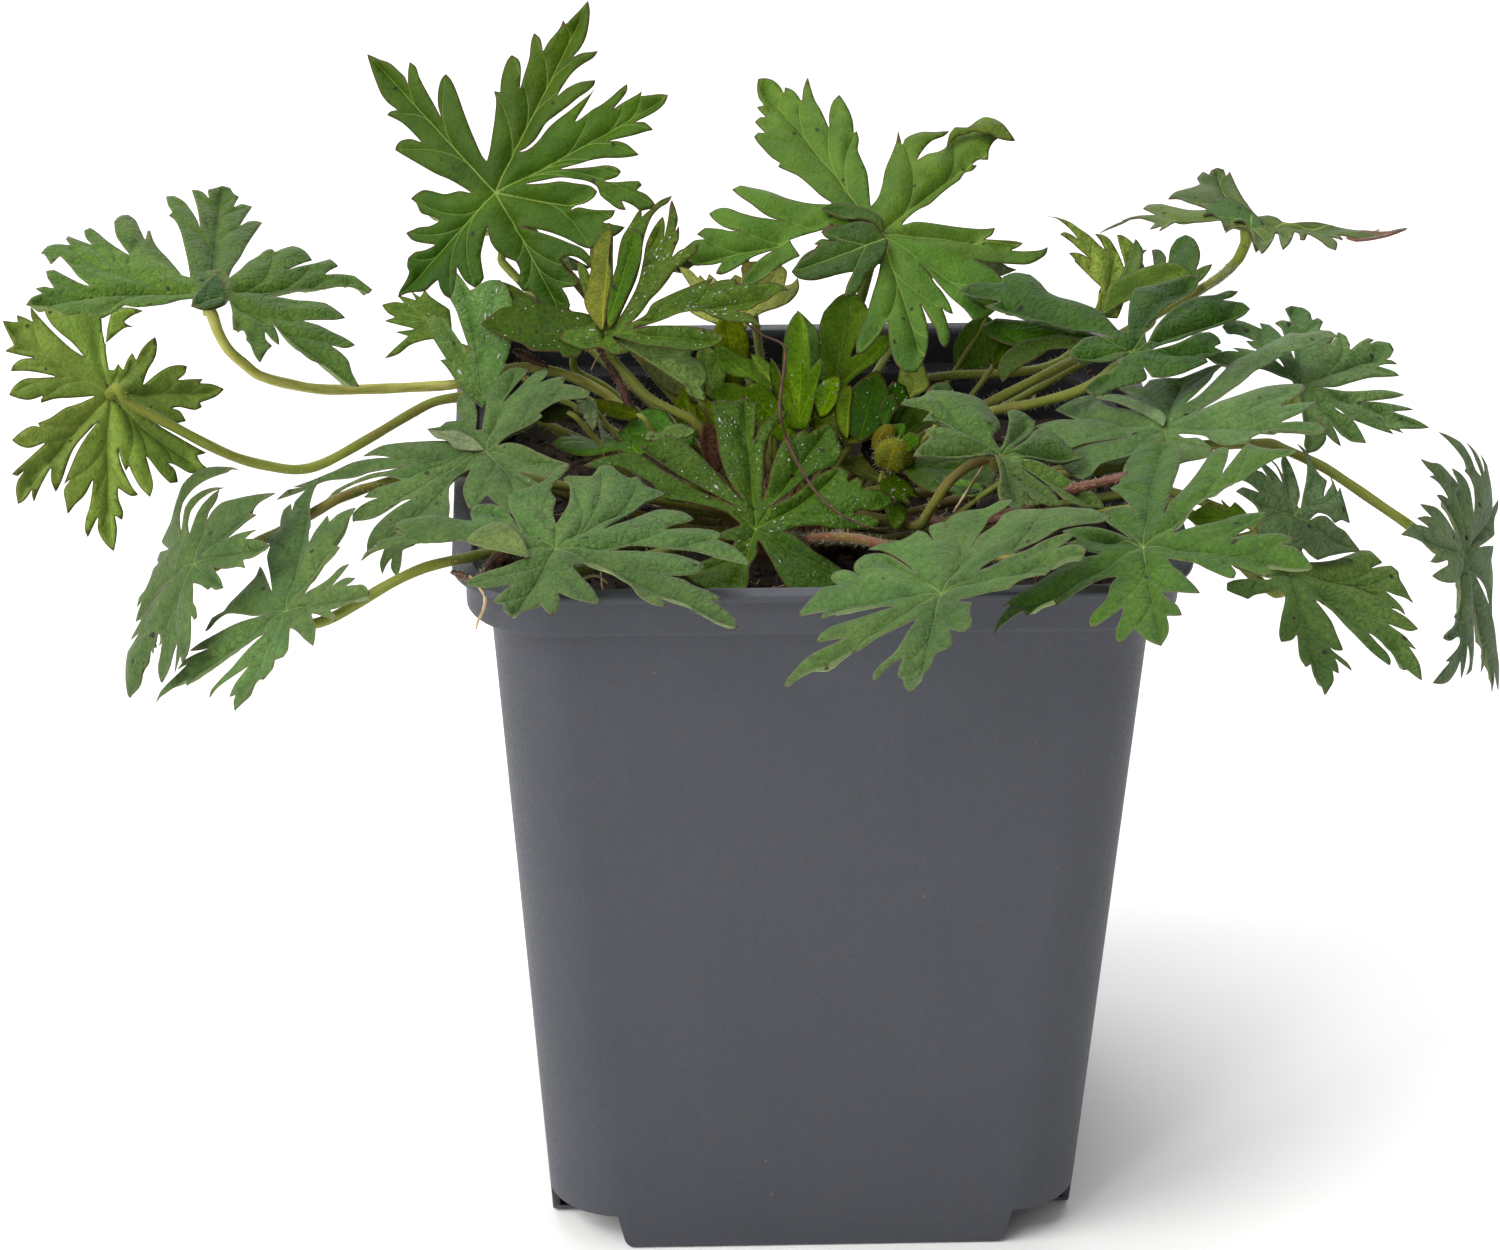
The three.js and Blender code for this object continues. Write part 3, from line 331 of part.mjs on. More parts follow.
    span: 5.1, droop: 0, outline: [4, 10.3, 1.3, 8.2, -0.9, 3.2, -0.7, 9.8, -2.9, 7.9, -3.8, 5.6, -4.2, 3.3, -3.7, 1.7, 0.8, -1, 2.7, -0.6, 6.6, 3.4, 6.5, 5.3, 5.6, 6.2, 5, 8.6] },
  { name: 'young_leaf_10', at: [11.44, -10, 99.45], facing: [0.0597, -0.0298, 0.9978], across: [0.9974, -0.0389, -0.0608],
    span: 5.1, droop: 0.091, outline: [10.9, 0.6, 10.2, 2.5, 8.3, 3.1, 1.9, 1.9, -0.1, 2.1, -0.3, -2.4, 2.4, -6.7, 6, -7.5, 8.6, -5.9] },
  { name: 'back_leaf_01', at: [-38, 42, 111.5], facing: [0.3482, 0.3482, 0.8704], across: [0.9366, -0.1686, -0.3072],
    span: 13.5, droop: 0.16, outline: [-10.1, -8.5, -8.4, -8.3, -8.1, -8.7, -6.6, -8, -5.9, -9.1, -3.9, -5.8, -2, -4.1, -2.8, -9.4, -2, -9.2, -1.6, -10.8, -0.7, -10.7, -0.1, -12.2, 0.9, -10.8, 1.5, -11.1, 1.8, -9.3, 2.9, -9.6, 1.9, -6.1, 1.9, -4.2, 3.6, -5.8, 4.5, -8, 5.5, -9.1, 5.9, -8.2, 9.6, -8.7, 9.1, -7, 9.9, -6.7, 8.8, -5.1, 9.6, -4.6, 6, -2.9, 4.6, -1.6, 6.1, -1.2, 9.4, -2.1, 9.2, -1.2, 11.8, 0.9, 10.4, 1.5, 10.5, 2.3, 8.9, 2.5, 9.1, 3.3, 4.1, 1.9, 4.5, 2.9, 7, 4.2, 6.4, 4.4, 6.8, 7.5, 5.7, 7, 5.2, 7.5, 4, 6.9, 3.6, 7.5, -0.3, 0.8, -2.8, 7.5, -3.8, 8.5, -4.2, 7.9, -5.3, 8.6, -5.8, 8.1, -7.2, 8.7, -7.2, 7.2, -7.6, 7, -7, 5.5, -7.8, 5.2, -6.8, 4.2, -5, 3.5, -4.1, 2.2, -9.3, 3.9, -8.9, 2.9, -10.6, 2.8, -10.7, 2.1, -12.1, 1.3, -10.8, 0.3, -11.3, -0.4, -9.8, -1, -10.1, -1.7, -6.3, -1, -4.9, -1.5, -6.4, -2.8, -8.7, -3.4, -9.7, -4.2, -8.8, -4.7, -10.1, -6.2, -9.6, -6.8] },
  { name: 'back_leaf_02', at: [-8, 38, 112], facing: [-0.3482, 0.3482, 0.8704], across: [0.9366, 0.0895, 0.3388],
    span: 14, droop: 0.16, outline: [7.2, 12.6, 5.6, 11.6, 5.1, 12.3, 3.6, 10.7, 2.8, 11.5, 0.5, 4.5, -0.3, 7.1, 0, 9.3, -0.3, 10.8, -1.1, 10.5, -4.1, 12.8, -4.6, 10.8, -5.1, 10.9, -5.3, 9, -6.3, 9, -3.9, 5.7, -3, 3.5, -6.9, 6.3, -7.2, 5.4, -8.5, 5.7, -8.8, 5.1, -10.4, 5.1, -9.6, 3.9, -9.9, 3.3, -8.8, 2.2, -9.2, 1.5, -5.9, 1.1, -5, 0.4, -5.2, -0.1, -8.3, -0.4, -7.8, -1, -8.9, -1.6, -8.7, -2.1, -9.8, -3.1, -8.4, -3.4, -8.4, -4, -6.8, -4, -6.8, -4.7, -0.2, -0.8, -1, -8.7, -0.4, -8.5, 0.3, -9.7, 1, -9.7, 1.8, -10.7, 2.4, -9.4, 3.2, -9.3, 3.3, -7.9, 4.1, -7.9, 2.6, -5.2, 2.3, -3.6, 6.4, -8.2, 6.6, -7.3, 8.1, -7.8, 8.7, -7.4, 10.4, -7.4, 9.8, -5.9, 10.2, -5.7, 9.2, -4.2, 9.9, -3.4, 6.4, -2.2, 5.5, -1.3, 6.7, -0.8, 8.8, -1.3, 10.2, -1.1, 9.9, -0.4, 11.6, 0.6, 11.3, 1.2, 12.6, 2.3, 11.1, 2.7, 11.1, 3.6, 9.3, 3.6, 9.4, 4.5, 6.2, 3, 3.7, 2.6, 5.6, 5.3, 8.6, 8.1, 7.5, 8.4, 7.9, 10, 7.2, 10.4] },
  { name: 'back_leaf_03', at: [19, 48, 106], facing: [0.169, 0.5071, 0.8452], across: [0.9849, -0.1197, -0.1252],
    span: 13, droop: 0.16, outline: [10, 9.8, 8, 9.5, 7.7, 10.1, 5.9, 9.4, 5.5, 10.3, 4.4, 8.9, 3.6, 6.5, 1.6, 4.3, 1.4, 6.5, 2.1, 10.1, 1.1, 9.8, 0.6, 11.3, -0.1, 11.4, -1.1, 12.7, -1.9, 11, -2.7, 11.3, -3.1, 9.5, -3.9, 9.6, -2.5, 6.3, -1.9, 3.5, -3.9, 5.3, -5.2, 7.6, -6.2, 8.2, -6.5, 7.5, -7.8, 8.1, -8.4, 7.5, -9.9, 7.6, -9.6, 6.2, -10, 5.6, -9, 4.2, -10.1, 3.6, -6.5, 2.3, -4.9, 1.2, -6.7, 0.9, -10.1, 1.3, -9.7, 0.7, -11.3, -0.3, -11, -0.9, -12.4, -2, -11.1, -2.6, -10.8, -3.3, -9.1, -3.5, -9.3, -4.5, -3.9, -2.3, -3.9, -2.9, -6.1, -4.6, -5.5, -4.8, -5.6, -7.4, -4.6, -7, -4.1, -7.4, -3.2, -6.5, -2.6, -7.2, -1.8, -4.6, 0.4, -0.7, 3.2, -6.5, 4, -7.3, 4.3, -6.8, 7.2, -7.4, 6.9, -6, 7.5, -5.6, 6.8, -4.5, 7.4, -4, 4.7, -2.5, 4.2, -1.8, 8.8, -2.6, 8.6, -2.1, 10.1, -1.5, 10.1, -0.9, 11.5, -0.2, 10.1, 0.6, 10.4, 1.2, 8.7, 1.6, 9, 2.6, 7.6, 2.5, 5.9, 1.6, 4.2, 1.7, 9.9, 5.5, 9.4, 5.7, 10.2, 7.5, 9.5, 8.4] },
];

// stalks, from the blade down to the crown
const STALKS = {
  leaf_01_tall_left: { radius: 0.72, path: [[-39.46, 23.09, 123.71], [-38.24, 25.3, 121.92], [-8.98, 2.55, 92.76], [-7.8, 1.25, 90.06]] },
  leaf_02_tall_centre: { radius: 0.72, path: [[9.7, 16.28, 119.8], [8.97, 17.58, 116.85], [3.19, 7.8, 100.9], [-0.63, 2.17, 94.04], [-1.07, 1.06, 90.92]] },
  leaf_03_back_right: { radius: 0.72, path: [[54.75, 2.06, 125.75], [54.74, 1.78, 124.25], [54.84, 2.48, 123.72], [54.23, 3.57, 121.28], [53.93, 5.68, 119.64], [53.56, 10.69, 116.57], [52.55, 15.55, 113.37], [51.87, 17.58, 111.96], [50.58, 18.68, 110.69], [36.17, 12.35, 104.99], [3.98, -0.96, 93.13], [2.62, -1.28, 90.39]] },
  leaf_04_far_left: { radius: 0.72, path: [[-74.33, -9.86, 122.08], [-74.7, -10.22, 120.51], [-74.28, -10.71, 120.6], [-73.52, -10.77, 118.05], [-72.35, -10.19, 115.44], [-68.76, -7.86, 111.06], [-63.98, -4.77, 108.36], [-58.99, -1.53, 106.56], [-53.33, 1.27, 105.56], [-44.73, 5.2, 104.51], [-42.19, 6.79, 104.77], [-39.41, 8.03, 105.13], [-36.37, 8.74, 105.29], [-33.25, 8.95, 104.83], [-30.26, 8.95, 103.93], [-27.46, 8.72, 102.58], [-24.95, 8.14, 101.11], [-12.18, -2.39, 91.8], [-10.22, -2.38, 89.42]] },
  leaf_05_left_under: { radius: 0.72, path: [[-87.62, 1.41, 105.5], [-87.08, 0.39, 106.3], [-86.17, 0.69, 104.51], [-81, 0.87, 101.18], [-73.09, 1.72, 96.32], [-67.13, 2.09, 94.46], [-64.14, 2.56, 94.14], [-61.3, 3.34, 94.8], [-47.68, 7.36, 101.21], [-41.57, 7.62, 102.16], [-38.64, 7.06, 101.94], [-14.61, -1.4, 88.23], [-11.64, -1.62, 87.36]] },
  leaf_06_left_hanging: { radius: 0.72, path: [[-76.44, -23.77, 92.47], [-75.41, -23.44, 91.68], [-69.1, -18.58, 93.26], [-66.72, -18.3, 94.3], [-61.95, -18.69, 97.25], [-59.44, -17.94, 98.48], [-57.61, -16.06, 98.51], [-56.17, -13.57, 98.09], [-54.49, -11.49, 97.67], [-52.57, -9.97, 97.57], [-43.73, -8.79, 98.24], [-40.78, -8.4, 98.04], [-14.24, -4.86, 87.98], [-11.34, -3.89, 87.27]] },
  leaf_07_left_low: { radius: 0.72, path: [[-64.58, -37.82, 92.31], [-62.65, -38.1, 90.99], [-61.09, -40.08, 91.88], [-58.71, -41.14, 93.33], [-56.15, -41.48, 95.01], [-53.56, -41.21, 96.63], [-50.84, -40.36, 97.84], [-48.15, -39.08, 98.52], [-42.75, -36.04, 98.53], [-40.56, -34.18, 98.22], [-38.52, -32.01, 97.51], [-12.22, -8.18, 87.92], [-9.97, -6.11, 87.26]] },
  leaf_08_left_inner: { radius: 0.72, path: [[-40.8, -14.06, 102.84], [-39.45, -13.24, 99.88], [-12.05, -5.79, 91.39], [-9.93, -4.54, 89.06]] },
  leaf_09_centre_bright: { radius: 0.62, path: [[-25.8, 0.13, 113.05], [-25.52, 2.34, 110.57], [-24.81, 2.51, 108.8], [-20.43, 0.35, 104.4], [-14.57, -0.95, 101.34], [-9.65, -1.63, 93.67], [-8.45, -1.69, 90.49]] },
  leaf_10_front_left: { radius: 0.72, path: [[-32.39, -42.93, 102.11], [-32.09, -41.99, 98.91], [-9.22, -10.04, 89.82], [-7.75, -7.38, 88.24]] },
  leaf_11_front_inner: { radius: 0.72, path: [[-7.89, -24.6, 96.58], [-8.3, -23.66, 94.61], [-4.84, -9.93, 90.03], [-4.56, -8.13, 88.78]] },
  leaf_12_front_centre: { radius: 0.72, path: [[12.68, -55.31, 101.23], [13.11, -54.2, 99.19], [7.57, -38.93, 100.1], [5.88, -36.49, 100.03], [1.55, -28.7, 97.37], [-2.32, -20.94, 93.81], [-2.96, -18.36, 93.14], [-0.27, -11.07, 89.28], [-0.72, -8.41, 88.02]] },
  leaf_13_front_right: { radius: 0.72, path: [[37.08, -48.46, 103.98], [37.8, -47.59, 101.03], [3.66, -10.1, 88.95], [2.08, -7.42, 87.8]] },
  leaf_14_middle_small: { radius: 0.72, path: [[22.23, -22.06, 104.88], [21.82, -20.66, 103.01], [21.62, -19.09, 103.64], [18.84, -19.02, 102.68], [16.35, -19.23, 100.7], [14.85, -18.87, 98.13], [13.83, -17.52, 95.61], [13.01, -15.75, 93.33], [11.55, -13.51, 92.32], [4.48, -7.33, 91.45], [2.66, -5.74, 89.3]] },
  leaf_15_right_middle: { radius: 0.72, path: [[43.67, -12.39, 103.9], [44.03, -12.24, 100.65], [6.12, -4.99, 91.73], [3.99, -4.01, 89.25]] },
  leaf_16_right_upper: { radius: 0.72, path: [[40.42, -0.74, 110], [39.95, 0.71, 107.57], [39.09, 2.59, 107.01], [36.86, 2.75, 105.11], [34.08, 2.47, 103.7], [30.99, 2.13, 102.85], [21.47, 1.06, 101.37], [18.36, 0.79, 100.62], [6.57, -1.73, 91.7], [4.42, -1.85, 89.26]] },
  leaf_17_right_outer: { radius: 0.72, path: [[62.92, 3.68, 103.35], [61.65, 4.64, 100.6], [42.78, 3.25, 98.23], [8.17, 0.68, 88.87], [5.26, -0.28, 87.71]] },
  leaf_18_right_low: { radius: 0.72, path: [[57.6, -28.11, 91.19], [56.37, -27.1, 88.53], [50.46, -24.9, 93.21], [44.54, -22.71, 98.5], [41.59, -21.61, 98.37], [35.67, -19.42, 96.27], [6.1, -8.44, 87.9], [3.85, -6.24, 87.26]] },
  leaf_19_far_right: { radius: 0.72, path: [[81.45, -14.54, 88.07], [78.92, -13.66, 88.09], [74.43, -14.5, 92.17], [71.86, -14.25, 93.95], [66.7, -12.33, 97.12], [64.13, -11.15, 98.53], [61.51, -9.59, 99.36], [57.58, -6.05, 99.82], [40.33, -4.84, 98.15], [8.71, -2.66, 88.08], [5.65, -2.48, 87.27]] },
  leaf_20_bright_right: { radius: 0.62, path: [[38.58, 13.77, 110.17], [36.58, 14.43, 107.6], [34.25, 13.1, 104.56], [31.31, 12.85, 103.08], [28.05, 12.77, 102.44], [24.71, 12.57, 102.25], [21.43, 12.12, 102.41], [14.95, 10.55, 102.34], [12.18, 9.27, 101.77], [5.62, 1.22, 91.92], [3.8, 0.15, 89.35]] },
  leaf_21_right_small: { radius: 0.62, path: [[58.62, -23.07, 96.95], [57.12, -21.21, 94.79], [44.82, -17.4, 97.98], [41.75, -16.45, 97.95], [7.94, -5.96, 87.97], [5.07, -4.53, 87.27]] },
  young_leaf_01: { radius: 0.5, path: [[-41.37, 1.26, 104.26], [-39.62, 2.82, 102.79], [-36.61, 2.38, 101.59], [-12.99, 0.06, 90.97], [-10.61, -0.51, 88.85]] },
  young_leaf_02: { radius: 0.5, path: [[-28.96, 10.69, 108.52], [-29.72, 11.25, 104.19], [-25.99, 10.1, 102.18], [-11.02, 0.96, 92.64], [-9.24, 0.04, 89.79]] },
  young_leaf_03: { radius: 0.5, path: [[-46.53, 20.16, 107.09], [-45.12, 22, 103.51], [-41.34, 20.3, 102.51], [-12.29, 2.7, 90.5], [-10.04, 1.11, 88.57]] },
  young_leaf_04: { radius: 0.5, path: [[-7.84, 20, 107.43], [-7.94, 20.75, 103.59], [-4.77, 4.2, 92.74], [-4.45, 2.6, 90.23]] },
  young_leaf_05: { radius: 0.5, path: [[-22.03, -9.53, 101.17], [-21.73, -9.55, 98], [-19.71, -9.1, 97.17], [-9.39, -4.44, 92.22], [-8.46, -3.91, 90.25]] },
  young_leaf_06: { radius: 0.62, path: [[45.23, 26.68, 107.61], [46.54, 27.07, 103.75], [43.23, 25.07, 102.3], [6.04, 3.76, 89.54], [3.84, 1.82, 88.09]] },
  young_leaf_07: { radius: 0.5, path: [[-1.68, -3.54, 102.58], [0.54, -2.79, 101.85], [0.14, -3.1, 99.92], [-2.2, -3.02, 92.96], [-2.27, -2.89, 91.49]] },
  young_leaf_08: { radius: 0.5, path: [[3.43, 6.69, 102.82], [5.47, 7.87, 101.36], [4.85, 6.35, 99.15], [1.23, 1.38, 92.24], [0.75, 0.81, 90.62]] },
  young_leaf_09: { radius: 0.5, path: [[4.33, -7.03, 101.96], [4.65, -6.01, 99.95], [4, -6, 98.69], [0.75, -4.38, 92.17], [0.44, -4.08, 90.92]] },
  young_leaf_10: { radius: 0.5, path: [[12.19, -10.03, 99.4], [11.8, -9.94, 96.7], [10.1, -9.14, 96.03], [3.04, -4.47, 91.85], [2.33, -4.03, 90.28]] },
  back_leaf_01: { radius: 0.62, path: [[-37.86, 41.97, 111.45], [-38.92, 40.2, 107.85], [-9.29, 5.29, 90.62], [-7.87, 2.98, 88.71]] },
  back_leaf_02: { radius: 0.62, path: [[-7.99, 38.14, 111.95], [-6.54, 36.31, 108.23], [-3.97, 6.62, 91.33], [-3.76, 3.96, 89.12]] },
  back_leaf_03: { radius: 0.62, path: [[19.01, 48.13, 105.92], [18.19, 45.79, 102.62], [1.16, 6.64, 89.89], [0.25, 3.97, 88.36]] },
};

// ---- assembly ----
const finish = {
  pot: { color: 0x55575c, roughness: 0.5 },
  soil: { color: 0x1d1612, roughness: 1 },
  crown: { color: 0x4a3424, roughness: 0.9 },
  leaf: { color: 0x4f8250, roughness: 0.7 },
  young: { color: 0x4f8a24, roughness: 0.5 },
  stalk: { color: 0x7f8f3a, roughness: 0.6 },
};

const object = new THREE.Group();
object.name = 'hardy_geranium_in_square_pot';

function add(name, g, kind) {
  g.deleteAttribute('normal');
  g.deleteAttribute('uv');
  g.computeVertexNormals();
  const mesh = new THREE.Mesh(g, new THREE.MeshStandardMaterial({ ...finish[kind], metalness: 0, name: kind }));
  mesh.name = name;
  object.add(mesh);
}

add('pot', potGeometry(), 'pot');
add('soil', soilGeometry(), 'soil');
add('crown', crownGeometry(), 'crown');
for (const leaf of LEAVES) {
  const stalk = STALKS[leaf.name];
  const small = !leaf.name.startsWith('leaf_');
  if (small) {
    // a small leaf and its stalk are one piece
    add(leaf.name, fromManifold(toManifold(bladeGeometry(leaf)).add(toManifold(stalkGeometry(stalk)))), 'young');
  } else {
    add(leaf.name, bladeGeometry(leaf), 'leaf');
    add(leaf.name.replace('leaf_', 'petiole_'), stalkGeometry(stalk), 'stalk');
  }
}

export default object;
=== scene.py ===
"""Looks for the hardy geranium in its square pot. Metres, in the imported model's frame.
Every piece stands for a CAD node of the same place and size, or sits on one."""
import math

import bmesh
import bpy
import numpy as np
from mathutils import Matrix, Vector, noise
from mathutils.geometry import delaunay_2d_cdt


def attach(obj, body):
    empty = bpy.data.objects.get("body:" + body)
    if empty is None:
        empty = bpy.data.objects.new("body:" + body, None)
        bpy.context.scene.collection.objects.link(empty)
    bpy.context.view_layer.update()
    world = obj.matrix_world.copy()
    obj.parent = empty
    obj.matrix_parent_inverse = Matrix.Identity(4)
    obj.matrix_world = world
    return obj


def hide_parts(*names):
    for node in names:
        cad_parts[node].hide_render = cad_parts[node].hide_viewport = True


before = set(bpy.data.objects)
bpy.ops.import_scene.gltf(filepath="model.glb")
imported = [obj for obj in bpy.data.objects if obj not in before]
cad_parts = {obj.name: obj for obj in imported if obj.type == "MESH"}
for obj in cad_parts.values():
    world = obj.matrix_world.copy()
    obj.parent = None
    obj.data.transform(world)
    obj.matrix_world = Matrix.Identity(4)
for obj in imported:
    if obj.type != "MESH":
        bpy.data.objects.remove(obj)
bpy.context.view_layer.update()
MM = 0.001
RNG = np.random.default_rng(20240611)

